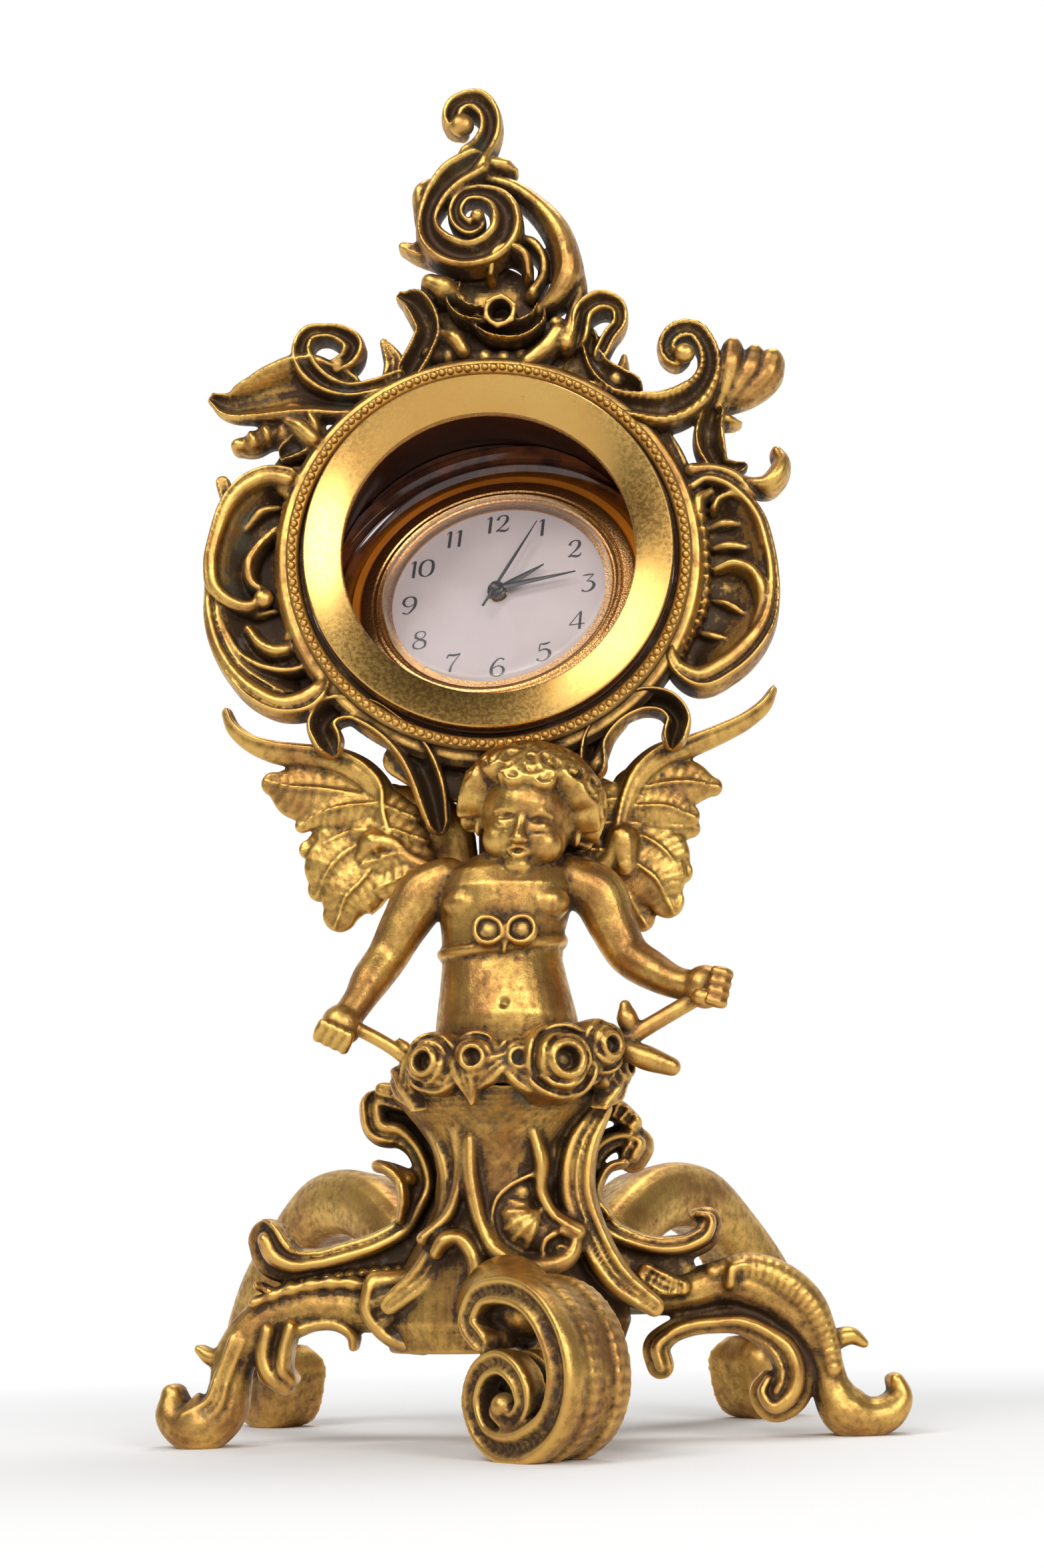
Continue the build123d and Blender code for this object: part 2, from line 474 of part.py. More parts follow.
front_leg_share = [(-0.13, 0.31, 0.035), (-0.17, 0.35, 0.035), (-0.14, 0.41, 0.035),
                   (-0.03, 0.435, 0.04), (0.08, 0.405, 0.045), (0.165, 0.315, 0.05),
                   (0.19, 0.205, 0.05), (0.155, 0.11, 0.05), (0.07, 0.05, 0.052),
                   (-0.04, 0.035, 0.045), (-0.125, 0.07, 0.035), (-0.16, 0.15, 0.035),
                   (-0.125, 0.225, 0.035), (-0.045, 0.25, 0.035), (0.02, 0.21, 0.035),
                   (0.035, 0.14, 0.03), (-0.01, 0.1, 0.03), (-0.055, 0.13, 0.035)]
rear_leg_share = [(0.0, 0.42, 0.12), (0.065, 0.45, 0.13), (0.26, 0.61, 0.145), (0.45, 0.71, 0.145),
                  (0.645, 0.71, 0.145), (0.84, 0.6, 0.13), (1.0, 0.42, 0.13), (1.1, 0.24, 0.115),
                  (1.065, 0.115, 0.1), (0.95, 0.08, 0.09), (0.9, 0.19, 0.08)]

# Figure tables: shares of figure_height from the middle of the waist
torso_share = [(-0.107, 0.0, 0.236, 0.186), (0.1, 0.0, 0.232, 0.186), (0.314, -0.012, 0.193, 0.168),
               (0.464, -0.003, 0.21, 0.18), (0.571, 0.008, 0.25, 0.178), (0.65, 0.018, 0.143, 0.107)]
left_arm_share = [(-0.25, 0.018, 0.545, 0.093), (-0.38, 0.0, 0.35, 0.068), (-0.468, -0.07, 0.186, 0.052),
                  (-0.52, -0.107, 0.107, 0.08)]
right_arm_share = [(0.29, 0.018, 0.53, 0.093), (0.385, 0.0, 0.318, 0.072), (0.543, -0.107, 0.21, 0.054),
                   (0.63, -0.143, 0.186, 0.08)]
neck_share = [(0.05, 0.0, 0.59, 0.086), (0.08, -0.02, 0.68, 0.08)]
skull_share = (0.104, -0.043, 0.8, 0.185)
curl_rows_share = [(0.0, 0.17, 0.075, 9), (0.12, 0.115, 0.075, 6)]
hair_tilt_share = 0.03
left_branch_share = [(-0.5, -0.125, 0.1, 0.023), (-0.375, -0.13, 0.03, 0.023), (-0.29, -0.12, -0.035, 0.023)]
right_branch_share = [(0.625, -0.145, 0.165, 0.027), (0.48, -0.15, 0.085, 0.027), (0.33, -0.14, 0.0, 0.03)]
bulb_leaf_share = [(0.36, -0.15, 0.005, 0.03), (0.44, -0.155, -0.03, 0.04), (0.52, -0.15, -0.06, 0.03)]
rose_share = [(0.155, -0.24, -0.05, 0.1), (-0.085, -0.25, -0.035, 0.07), (0.285, -0.2, 0.0, 0.07),
              (-0.21, -0.2, -0.04, 0.08), (0.04, -0.26, -0.04, 0.06), (-0.27, -0.1, -0.05, 0.06),
              (0.33, -0.06, -0.05, 0.06)]

# Pedestal sections: height, centre forwards, half width and half depth
pedestal_share = [(0.258, -0.03, 0.36, 0.34), (0.42, 0.0, 0.38, 0.33), (0.58, 0.04, 0.27, 0.28),
                  (0.77, 0.1, 0.21, 0.23), (0.9, 0.14, 0.25, 0.24), (1.0, 0.18, 0.33, 0.27)]


def forwards(shape):
    """Turn a piece drawn flat, with its front up, so that its front faces the reader."""
    return Plane.XZ * shape


def disc(radius, front, depth, x=0, y=0):
    """Cylinder in the flat drawing, from front backwards."""
    return Pos(x, y, front - depth) * Cylinder(radius, depth, align=(Align.CENTER, Align.CENTER, Align.MIN))


def hoop(outer, inner, front, depth):
    return disc(outer, front, depth) - disc(inner, front + depth, 3 * depth)


def slab(width, height, front, depth, x=0, y=0):
    return Pos(x, y, front - depth) * Box(
        width, height, depth, align=(Align.CENTER, Align.CENTER, Align.MIN))


def band_face(shares, size):
    """Flat band along hand-picked circles, joined by their common tangents."""
    points = [(x * size, y * size, r * size) for x, y, r in shares]
    pieces = [Pos(x, y) * Circle(r) for x, y, r in points]
    for (ax, ay, ar), (bx, by, br) in zip(points, points[1:]):
        reach = math.hypot(bx - ax, by - ay)
        if reach <= abs(ar - br):
            continue
        lean = math.acos((ar - br) / reach)
        heading = math.atan2(by - ay, bx - ax)
        ends = [(ax, ay, ar, 1), (bx, by, br, 1), (bx, by, br, -1), (ax, ay, ar, -1)]
        corners = [(x + r * math.cos(heading + s * lean), y + r * math.sin(heading + s * lean))
                   for x, y, r, s in ends]
        pieces.append(make_face(Polyline(*corners, close=True)))
    return pieces[0].fuse(*pieces[1:])


def band(shares, size, middle, thickness, lift=0.0, thick=1.0, grooved=False):
    """Scroll or leaf: a band as deep as thick times thickness, about middle, lifted by its share."""
    depth = thickness * thick
    front = middle + thickness * lift + depth / 2
    solid = Pos(0, 0, front - depth) * extrude(band_face(shares, size), amount=depth)
    if grooved:
        inner = [(x, y, r / 2) for x, y, r in shares]
        solid -= Pos(0, 0, front - groove_depth) * extrude(band_face(inner, size), amount=2 * groove_depth)
    return solid


def joined(pieces):
    return pieces[0].fuse(*pieces[1:])


rod_share = 0.98


def limb(points):
    """Round limb through spheres: each point is x, y, z and radius. Its rods are a little thinner."""
    pieces = []
    for start, end in zip(points, points[1:]):
        run = Vector(*end[:3]) - Vector(*start[:3])
        low = (Align.CENTER, Align.CENTER, Align.MIN)
        if start[3] == end[3]:
            rod = Cylinder(start[3] * rod_share, run.length, align=low)
        else:
            rod = Cone(start[3] * rod_share, end[3] * rod_share, run.length, align=low)
        pieces.append(Plane(origin=start[:3], z_dir=run) * rod)
    pieces += [Pos(*point[:3]) * Sphere(point[3]) for point in points]
    return joined(pieces)


def on_figure(shares):
    """Figure shares to millimetres."""
    return [(figure_x + x * figure_height, y * figure_height - figure_front,
             figure_waist + z * figure_height, r * figure_height) for x, y, z, r in shares]


def screw(radius, length, head_radius, head_height):
    """Round-head screw along +Z, its head below z = 0."""
    head = Pos(0, 0, -head_height) * Cylinder(
        head_radius, head_height, align=(Align.CENTER, Align.CENTER, Align.MIN))
    shank = Cylinder(radius, length, align=(Align.CENTER, Align.CENTER, Align.MIN))
    slot = Pos(0, 0, -head_height) * Box(2 * head_radius, head_height / 2, head_height / 2)
    return head + shank - slot


def screw_hole(radius, length, head_radius, head_height):
    """Room for a screw, with its clearance."""
    shank = Cylinder(radius + seat_clearance, length + seat_clearance,
                     align=(Align.CENTER, Align.CENTER, Align.MIN))
    depth = head_height + screw_head_room
    head = Pos(0, 0, -depth) * Cylinder(
        head_radius + seat_clearance, depth, align=(Align.CENTER, Align.CENTER, Align.MIN))
    return shank + head


home = Pos(-stand_centre_x, -stand_centre_y, 0)
drum_place = home * Pos(0, 0, drum_axis_height)
stud_place = Pos(figure_x, -cavity_front - stud_ahead, 0)
bore_radius = drum_outer_radius - drum_wall
flower_share = (0.14, 1.46, 0.0)


# Drum
def drum_lugs():
    """Four ears behind the frame ring, which its screws pass through."""
    ears = []
    for bearing in range(45, 360, 90):
        ear = slab(lug_reach + drum_wall, lug_width, frame_ring_back, lug_thickness,
                   x=drum_outer_radius + lug_reach / 2 - drum_wall / 2)
        ears.append(Rot(0, 0, bearing) * ear)
    return ears


def frame_screw_places():
    for bearing in range(45, 360, 90):
        yield Rot(0, 0, bearing) * Pos(frame_screw_circle, 0, frame_ring_back - lug_thickness)


frame_screw_size = (frame_screw_radius, frame_screw_length, frame_screw_head_radius, frame_screw_head_height)


def make_drum_case():
    shell = disc(drum_outer_radius, drum_front, drum_front + drum_back)
    shell = joined([shell] + drum_lugs())
    shell -= disc(bore_radius, overrun, 2 * overrun)
    for place in frame_screw_places():
        shell -= place * screw_hole(*frame_screw_size)
    shell = forwards(shell)
    shell -= saddle_screw_place * screw_hole(saddle_screw_radius, saddle_screw_depth,
                                             saddle_screw_head_radius, saddle_screw_head_height)
    return drum_place * shell


def make_bezel_ring():
    front = drum_front + bezel_edge_thickness
    skirt_outer = bore_radius - running_clearance
    profile = [(bezel_opening_radius, drum_front), (bezel_opening_radius, front),
               (bezel_outer_radius, front + bezel_rise), (bezel_outer_radius, drum_front),
               (skirt_outer, drum_front), (skirt_outer, drum_front - bezel_skirt_length),
               (skirt_outer - bezel_skirt_wall, drum_front - bezel_skirt_length),
               (skirt_outer - bezel_skirt_wall, drum_front)]
    outline = Plane.XZ * make_face(Polyline(*profile, close=True))
    return drum_place * forwards(revolve(outline, Axis.Z))


def make_rear_cover():
    skirt_outer = bore_radius - running_clearance
    plate = disc(drum_outer_radius, -drum_back, cover_thickness)
    skirt_front = cover_skirt_length - drum_back
    skirt = hoop(skirt_outer, skirt_outer - cover_skirt_wall, skirt_front, cover_skirt_length)
    knob = disc(cover_knob_radius, -drum_back - cover_thickness, cover_knob_height)
    return drum_place * forwards(joined([plate, skirt, knob]))


# Frame round the drum
def make_bead_rim():
    middle = (rim_inner_radius + rim_outer_radius) / 2
    half = (rim_outer_radius - rim_inner_radius) / 2
    low = frame_ring_back + frame_ring_thickness
    ring = hoop(rim_outer_radius, rim_inner_radius, low + rim_height - half, rim_height - half)
    bead_line = Pos(0, 0, low + rim_height - half) * Torus(middle, half)
    return drum_place * forwards(ring + bead_line)


def head_band(shares, lift=0.0, thick=1.0, grooved=False):
    return band(shares, drum_outer_radius, frame_middle, scroll_thickness, lift, thick, grooved)


def ring_envelope():
    return disc(frame_ring_radius, overrun, 2 * overrun)


def make_scroll_frame():
    low = frame_ring_back
    pieces = [disc(frame_ring_radius, low + frame_ring_thickness, frame_ring_thickness)]
    for shares in (left_c_upper_share, left_c_lower_share, right_c_share, left_volute_share,
                   right_volute_share, left_s_share, right_s_share):
        pieces.append(head_band(shares, *scroll_layer_share, True))
    for shares in (left_horn_share, right_c_top_share, right_low_leaf_share, right_curl_share,
                   left_rib_share, right_scallop_share):
        pieces.append(head_band(shares, *plate_layer_share))
    for shares in (left_shoulder_leaf_share, left_bud_share, left_bud_hood_share, right_curl_root_share,
                   right_spike_share, right_low_spike_share, right_low_curl_share, right_wedge_share,
                   right_s_inner_share, left_low_leaf_share):
        pieces.append(head_band(shares, *leaf_layer_share))
    for shares in (left_inner_leaf_share, left_inner_hook_share, right_c_second_share,
                   right_crescent_share, left_cup_share, left_back_leaf_share):
        pieces.append(head_band(shares, *inner_layer_share))
    for shares in (left_web_share, right_web_share, right_shoulder_web_share):
        pieces.append(head_band(shares, *web_layer_share))
    for place, shares in enumerate(shell_rib_share):
        pieces.append(head_band(shares, -shell_step_share * place, shell_thick_share))
    frame = joined(pieces)
    behind_ring = disc(frame_ring_radius + lug_reach, low, overrun)
    frame -= behind_ring
    frame -= disc(drum_outer_radius + seat_clearance, overrun, 2 * overrun)
    for place in frame_screw_places():
        frame -= place * screw_hole(*frame_screw_size)
    for place in crest_screw_places():
        frame -= place * screw_hole(*frame_screw_size)
    return drum_place * forwards(frame)


def crest_screw_places():
    for side in (-1, 1):
        yield Pos(side * crest_screw_spread, frame_screw_circle, frame_ring_back - crest_tab_thickness)


def make_crest():
    pieces = [head_band(spiral_share, *spiral_layer_share, True),
              head_band(finial_share, *finial_layer_share, True),
              head_band(crest_arc_share, *arc_layer_share, True)]
    for shares in (outer_leaf_share, spike_leaf_share, left_leaf_share, crest_tail_share, finial_leaf_share):
        pieces.append(head_band(shares, *crest_leaf_layer_share))
    for shares in (rolled_leaf_share, left_lobe_share, right_lobe_share):
        pieces.append(head_band(shares, *lobe_layer_share))
    pieces.append(head_band(crest_inner_leaf_share, *crest_inner_layer_share))
    pieces.append(head_band(crest_web_share, *crest_web_layer_share))
    beside = (left_volute_share, left_shoulder_leaf_share, right_curl_share, right_curl_root_share,
              right_shoulder_web_share)
    crest = joined(pieces) - ring_envelope()
    crest -= joined([head_band(shares, *room_layer_share) for shares in beside])
    crest = max(crest.solids(), key=lambda solid: solid.volume)
    tab_height = crest_tab_top - crest_tab_bottom + crest_screw_spread / 2
    tab = slab(crest_tab_width, tab_height, frame_ring_back, crest_tab_thickness,
               y=crest_tab_top - tab_height / 2)
    tab -= disc(drum_outer_radius + seen_gap, overrun, 2 * overrun)
    crest = crest + tab
    for place in crest_screw_places():
        crest -= place * screw_hole(*frame_screw_size)
    flower_x, flower_y, _ = flower_share
    crest -= disc(flower_bore / 2 + seat_clearance, overrun, 2 * overrun,
                  flower_x * drum_outer_radius, flower_y * drum_outer_radius)
    return drum_place * forwards(crest)


web_lift_share, web_thick_share = crest_web_layer_share
crest_front = frame_middle + scroll_thickness * (web_thick_share / 2 + web_lift_share)


def make_crest_flower():
    """Tube blossom with five petals, riveted through the crest."""
    tube = disc(flower_radius, crest_front + flower_length, flower_length)
    petals = []
    for bearing in range(0, 360, 72):
        place = Rot(0, 0, bearing) * Pos(flower_radius, 0, crest_front + flower_length / 4)
        petals.append(place * Cylinder(flower_petal_radius / 2, flower_length / 2))
    rivet = disc(flower_bore / 2, crest_front, scroll_thickness / 2)
    flower = joined([tube, rivet] + petals)
    flower -= disc(flower_bore, crest_front + 2 * flower_length, flower_length * 3 / 2)
    flower &= disc(overrun, crest_front + flower_length, flower_length + scroll_thickness)
    flower_x, flower_y, _ = flower_share
    place = Pos(flower_x * drum_outer_radius, flower_y * drum_outer_radius, 0)
    keep = disc(overrun, overrun, overrun - crest_front)
    flower = place * (flower & keep) + place * rivet
    beside = (spiral_share, crest_arc_share, crest_inner_leaf_share, rolled_leaf_share,
              left_lobe_share, right_lobe_share, finial_share)
    for shares in beside:
        flower -= head_band(shares, *flower_room_layer_share)
    flower -= disc(rim_outer_radius + seen_gap, overrun, 2 * overrun)
    return drum_place * forwards(max(flower.solids(), key=lambda solid: solid.volume))


def make_frame_screws():
    fasteners = [place * screw(*frame_screw_size) for place in frame_screw_places()]
    return [drum_place * forwards(fastener) for fastener in fasteners]


def make_crest_screws():
    fasteners = [place * screw(*frame_screw_size) for place in crest_screw_places()]
    return [drum_place * forwards(fastener) for fastener in fasteners]


# Insert: its own flat drawing faces the way the dial faces
def insert_plane():
    tilt = math.radians(insert_tilt)
    turn = math.radians(insert_turn)
    spin = math.radians(insert_spin)
    facing = Vector(-math.sin(turn) * math.cos(tilt), -math.cos(turn) * math.cos(tilt), math.sin(tilt))
    level = Vector(math.cos(turn), -math.sin(turn), 0)
    rise = facing.cross(level)
    across = level * math.cos(spin) + rise * math.sin(spin)
    height = drum_axis_height - insert_drop
    origin = (insert_offset_x - stand_centre_x, -insert_depth - stand_centre_y, height)
    return Plane(origin=origin, x_dir=across, z_dir=facing)


insert_face = insert_plane()
bore_of_case = case_outer_radius + seat_clearance


def make_insert_seat():
    """Amber wedge that fills the drum's bore behind the tilted insert."""
    plug = drum_place * forwards(disc(bore_radius - seat_clearance, drum_front, drum_front + seat_back))
    ahead = insert_face * disc(overrun, overrun, overrun + flange_back)
    wedge = plug - ahead
    collar = insert_face * hoop(seat_collar_radius, flange_outer_radius + seat_clearance,
                                seat_collar_height - flange_back, seat_collar_height)
    wedge = wedge + (collar & plug)
    wedge -= insert_face * disc(bore_of_case, overrun, 2 * overrun)
    notch = slab(crown_notch_width, overrun, -flange_back, crown_notch_depth,
                 y=case_outer_radius + overrun / 2)
    skirt_room = disc(overrun, drum_front + overrun, overrun + bezel_skirt_length + seen_gap)
    wedge -= insert_face * notch
    wedge -= drum_place * forwards(skirt_room)
    return max(wedge.solids(), key=lambda solid: solid.volume)


def make_insert_bezel():
    ring = hoop(flange_outer_radius, flange_inner_radius, flange_front, flange_front)
    lip = hoop(flange_outer_radius, flange_lip_radius, flange_lip_thickness, flange_lip_thickness)
    skirt = hoop(flange_outer_radius, dial_radius + seat_clearance, 0, flange_back)
    return insert_face * joined([ring, lip, skirt])


def dome(radius, height, low):
    """Cap of a sphere, as wide as radius, on a plain wall that starts at low."""
    sphere_radius = (radius ** 2 + height ** 2) / (2 * height)
    side_top = flange_lip_thickness + crystal_side_height
    cap = Pos(0, 0, side_top + height - sphere_radius) * Sphere(sphere_radius)
    cap &= disc(radius, side_top + height, height)
    return cap + disc(radius, side_top, side_top - low)


def make_crystal():
    outer = flange_inner_radius - seat_clearance
    shell = dome(outer, crystal_dome_height, flange_lip_thickness)
    shell -= dome(outer - crystal_wall, crystal_dome_height - crystal_wall, -overrun)
    return insert_face * shell


def make_dial():
    return insert_face * hoop(dial_radius, dial_hole_radius, 0, dial_thickness)


def make_insert_case():
    cup = hoop(case_outer_radius, case_outer_radius - case_wall, -flange_back, case_depth - flange_back)
    hole = Pos(0, case_outer_radius, -stem_level) * Rot(90, 0, 0) * Cylinder(stem_radius * 2, case_wall * 4)
    return insert_face * (cup - hole)


def make_insert_back():
    plate = disc(case_outer_radius, -case_depth, back_thickness)
    lip_outer = case_outer_radius - case_wall - seat_clearance
    lip = hoop(lip_outer, lip_outer - case_wall, back_lip_length - case_depth, back_lip_length)
    return insert_face * joined([plate, lip])


def make_movement_holder():
    ring = hoop(holder_outer_radius, holder_inner_radius, -dial_thickness, holder_depth)
    stem_room = slab(lever_width + 2 * seen_gap, overrun, 0, overrun, y=overrun / 2)
    return insert_face * max((ring - stem_room).solids(), key=lambda solid: solid.volume)


# Movement
def polar(distance, bearing, x=0, y=0):
    angle = math.radians(bearing)
    return x + distance * math.cos(angle), y + distance * math.sin(angle)


third_place = polar(third_wheel_radius + second_pinion_radius + mesh_clearance, third_bearing)
middle_place = polar(second_wheel_radius + middle_pinion_radius + mesh_clearance, middle_bearing)
rotor_place = polar(middle_wheel_radius + rotor_pinion_radius + mesh_clearance, rotor_bearing, *middle_place)
minute_place = polar(minute_wheel_radius + cannon_radius + mesh_clearance, minute_bearing)
plate_back = plate_front + plate_thickness
post_places = [polar(bridge_radius - 3 * bridge_post_radius / 2, bearing) for bearing in (113, 291, 41)]
clamp_post_place = (battery_x, battery_y + battery_radius + clamp_width / 2 + seen_gap)


def arbor(place, low, high):
    """Steel pin from plate to bridge, levels measured backwards."""
    return disc(pin_radius, -low, high - low, *place)


def make_main_plate():
    plate = disc(movement_radius, -plate_front, plate_thickness)
    posts = [disc(bridge_post_radius, -plate_back, bridge_front - plate_back, *place)
             for place in post_places]
    stud_high = plate_front - hour_level
    studs = [disc(stud_radius, -hour_level, stud_high, *place)
             for place in (minute_place, (setting_wheel_x, setting_wheel_y))]
    plate = joined([plate] + posts + studs)
    plate -= disc(minute_pipe_radius + seat_clearance, overrun, 2 * overrun)
    plate -= slab(4 * stem_radius, overrun, overrun, 2 * overrun, y=stem_root - seen_gap + overrun / 2)
    lever_room = slab(lever_width + 2 * seen_gap, overrun, overrun, 2 * overrun,
                      y=stem_groove_place - lever_height + overrun / 2)
    plate -= lever_room
    for place in (third_place, middle_place, rotor_place):
        plate -= disc(pin_radius + running_clearance, 0, plate_back, *place)
    return insert_face * max(plate.solids(), key=lambda solid: solid.volume)


def make_train_bridge():
    bridge = disc(bridge_radius, -bridge_front, bridge_thickness)
    bridge -= slab(overrun, overrun, overrun, 2 * overrun, x=battery_x - overrun / 2 + battery_radius,
                   y=battery_y - overrun / 2 + battery_radius)
    bridge -= disc(battery_radius + seen_gap, overrun, 2 * overrun, battery_x, battery_y)
    bridge -= slab(overrun, overrun, overrun, 2 * overrun, x=coil_x - coil_width / 2 - seen_gap + overrun / 2)
    bridge -= disc(bridge_post_radius + seen_gap, 0, overrun, *clamp_post_place)
    bridge -= disc(second_arbor_radius + running_clearance, 0, overrun)
    for place in (third_place, middle_place, rotor_place):
        bridge -= disc(pin_radius + running_clearance, 0, overrun, *place)
    return insert_face * max(bridge.solids(), key=lambda solid: solid.volume)


def wheel(radius, level, place=(0, 0), thickness=wheel_thickness):
    return disc(radius, -level, thickness, *place)


def make_hour_wheel():
    body = wheel(hour_wheel_radius, hour_level, thickness=dial_train_thickness)
    pipe = disc(hour_pipe_radius, hour_hand_front, hour_hand_front + hour_level)
    hour = joined([body, pipe])
    return insert_face * (hour - disc(minute_pipe_radius + running_clearance, overrun, 2 * overrun))


def make_cannon_pinion():
    pinion = wheel(cannon_radius, motion_level, thickness=dial_train_thickness)
    body = wheel(centre_wheel_radius, centre_level)
    pipe = disc(minute_pipe_radius, minute_hand_front, minute_hand_front + centre_level)
    cannon = joined([pinion, body, pipe])
    return insert_face * (cannon - disc(second_arbor_radius + running_clearance, overrun, 2 * overrun))


def make_minute_wheel():
    body = wheel(minute_wheel_radius, motion_level, minute_place, dial_train_thickness)
    pinion = wheel(minute_pinion_radius, hour_level, minute_place, motion_level - hour_level)
    bore = disc(stud_radius + running_clearance, overrun, 2 * overrun, *minute_place)
    return insert_face * (body + pinion - bore)


def make_setting_wheel():
    place = (setting_wheel_x, setting_wheel_y)
    body = wheel(setting_wheel_radius, motion_level, place, dial_train_thickness)
    return insert_face * (body - disc(stud_radius + running_clearance, overrun, 2 * overrun, *place))


def make_third_wheel():
    body = wheel(third_wheel_radius, third_level, third_place)
    pinion = wheel(third_pinion_radius, centre_level, third_place, third_level - centre_level)
    pin = arbor(third_place, plate_front, bridge_front + bridge_thickness)
    return insert_face * joined([body, pinion, pin])


def make_second_wheel():
    body = wheel(second_wheel_radius, second_level)
    pinion = wheel(second_pinion_radius, third_level, thickness=second_level - third_level)
    pin = disc(second_arbor_radius, second_hand_front, second_hand_front + bridge_front + bridge_thickness)
    return insert_face * joined([body, pinion, pin])


def make_middle_wheel():
    body = wheel(middle_wheel_radius, rotor_level, middle_place)
    pinion = wheel(middle_pinion_radius, second_level, middle_place, rotor_level - second_level)
    pin = arbor(middle_place, plate_front, bridge_front + bridge_thickness)
    return insert_face * joined([body, pinion, pin])


def make_rotor():
    magnet = wheel(rotor_magnet_radius, plate_back + seat_clearance, rotor_place, rotor_magnet_height)
    pinion = wheel(rotor_pinion_radius, rotor_level, rotor_place)
    pin = arbor(rotor_place, plate_front, bridge_front + bridge_thickness)
    return insert_face * joined([magnet, pinion, pin])


core_low = coil_y - coil_length / 2 - core_width
core_high = coil_y + coil_length / 2 + core_width


def stator_arm(low_x, high_x, low_y, high_y):
    return slab(high_x - low_x, high_y - low_y, -plate_back, stator_thickness,
                x=(low_x + high_x) / 2, y=(low_y + high_y) / 2)


def make_stator():
    """Thin iron plate with the rotor's hole, and an arm from it to each end of the coil core."""
    head = disc(stator_ring_radius, -plate_back, stator_thickness, *rotor_place)
    far_x = coil_x + core_width / 2
    near_x = coil_x - coil_width / 2 - seen_gap
    low_arm = stator_arm(rotor_place[0], far_x, core_low, core_low + core_width)
    rise = stator_arm(near_x - core_width, near_x, rotor_place[1], core_high)
    high_arm = stator_arm(near_x - core_width, far_x, core_high - core_width, core_high)
    core = slab(core_width, core_high - core_low, -plate_back, core_thickness, x=coil_x,
                y=(core_high + core_low) / 2)
    stator = joined([head, low_arm, rise, high_arm, core])
    stator -= disc(rotor_magnet_radius + 2 * running_clearance, overrun, 2 * overrun, *rotor_place)
    return insert_face * stator


def make_coil():
    winding = slab(coil_width, coil_length, -plate_back, coil_height, x=coil_x, y=coil_y)
    core_room = slab(core_width + 2 * seat_clearance, overrun, -plate_back + seat_clearance,
                     core_thickness + 2 * seat_clearance, x=coil_x)
    return insert_face * (winding - core_room)


def make_circuit_board():
    board = slab(board_width, board_height, -plate_back, board_thickness, x=board_x, y=board_y)
    return insert_face * (board & disc(movement_radius, overrun, 2 * overrun))


def make_quartz_can():
    lying = Rot(90, 0, 0) * Cylinder(quartz_radius, quartz_length)
    level = plate_back + board_thickness + quartz_radius
    return insert_face * (Pos(board_x, board_y, -level) * lying)


def make_battery():
    return insert_face * disc(battery_radius, -plate_back, battery_height, battery_x, battery_y)


def make_battery_clamp():
    """Spring strip across the cell, on a post from the plate."""
    level = plate_back + battery_height
    strip = slab(clamp_width, 2 * battery_radius + 2 * clamp_width, -level, clamp_thickness, x=battery_x,
                 y=battery_y + clamp_width)
    strip &= disc(movement_radius, overrun, 2 * overrun)
    post = disc(bridge_post_radius, -plate_back, level - plate_back, *clamp_post_place)
    return insert_face * joined([strip, post])


def make_setting_stem():
    """Stem with its sliding pinion, its groove for the lever, and the crown outside the case."""
    along = Pos(0, stem_root, -stem_level) * Rot(-90, 0, 0)
    length = crown_place - stem_root
    stem = along * Cylinder(stem_radius, length, align=(Align.CENTER, Align.CENTER, Align.MIN))
    groove_start = stem_groove_place - stem_root
    low = Align.CENTER, Align.CENTER, Align.MIN
    groove = Cylinder(2 * stem_radius, stem_groove_length, align=low)
    groove -= Cylinder(stem_groove_radius, stem_groove_length, align=low)
    stem -= along * Pos(0, 0, groove_start) * groove
    pinion = along * Cylinder(sliding_pinion_radius, sliding_pinion_length, align=low)
    crown = along * Pos(0, 0, length) * Cylinder(crown_radius, crown_length, align=low)
    return insert_face * joined([stem, pinion, crown])


def make_setting_lever():
    """Fork in the stem's groove; it draws out with the stem."""
    plate_depth = stem_groove_length - 2 * running_clearance
    fork = Pos(0, stem_groove_place + stem_groove_length / 2, -stem_level - stem_radius) * Box(
        lever_width, plate_depth, lever_height)
    room = Pos(0, stem_groove_place, -stem_level + stem_radius) * Box(
        2 * (stem_groove_radius + running_clearance), overrun, 2 * lever_slot_depth)
    return insert_face * max((fork - room).solids(), key=lambda solid: solid.volume)


# Hands, drawn pointing to their bearing from the dial's three
def hand(length, width, hub, front, bearing, tail=0.0):
    blade_points = [(-tail, -width / 2), (-tail, width / 2), (length * 3 / 4, width / 2), (length, 0),
                    (length * 3 / 4, -width / 2)]
    blade = extrude(make_face(Polyline(*blade_points, close=True)), amount=hand_thickness)
    boss = Cylinder(hub, hand_thickness, align=(Align.CENTER, Align.CENTER, Align.MIN))
    return Pos(0, 0, front) * Rot(0, 0, bearing) * (blade + boss)


def make_hour_hand():
    piece = hand(hour_hand_length, hour_hand_width, hour_hub_radius, hour_hand_front, hour_hand_bearing)
    return insert_face * (piece - disc(minute_pipe_radius + running_clearance, overrun, 2 * overrun))


def make_minute_hand():
    piece = hand(minute_hand_length, minute_hand_width, minute_hub_radius, minute_hand_front,
                 minute_hand_bearing)
    return insert_face * (piece - disc(second_arbor_radius + running_clearance, overrun, 2 * overrun))


def make_second_hand():
    return insert_face * hand(second_hand_length, second_hand_width, second_hub_radius, second_hand_front,
                              second_hand_bearing, second_hand_tail)


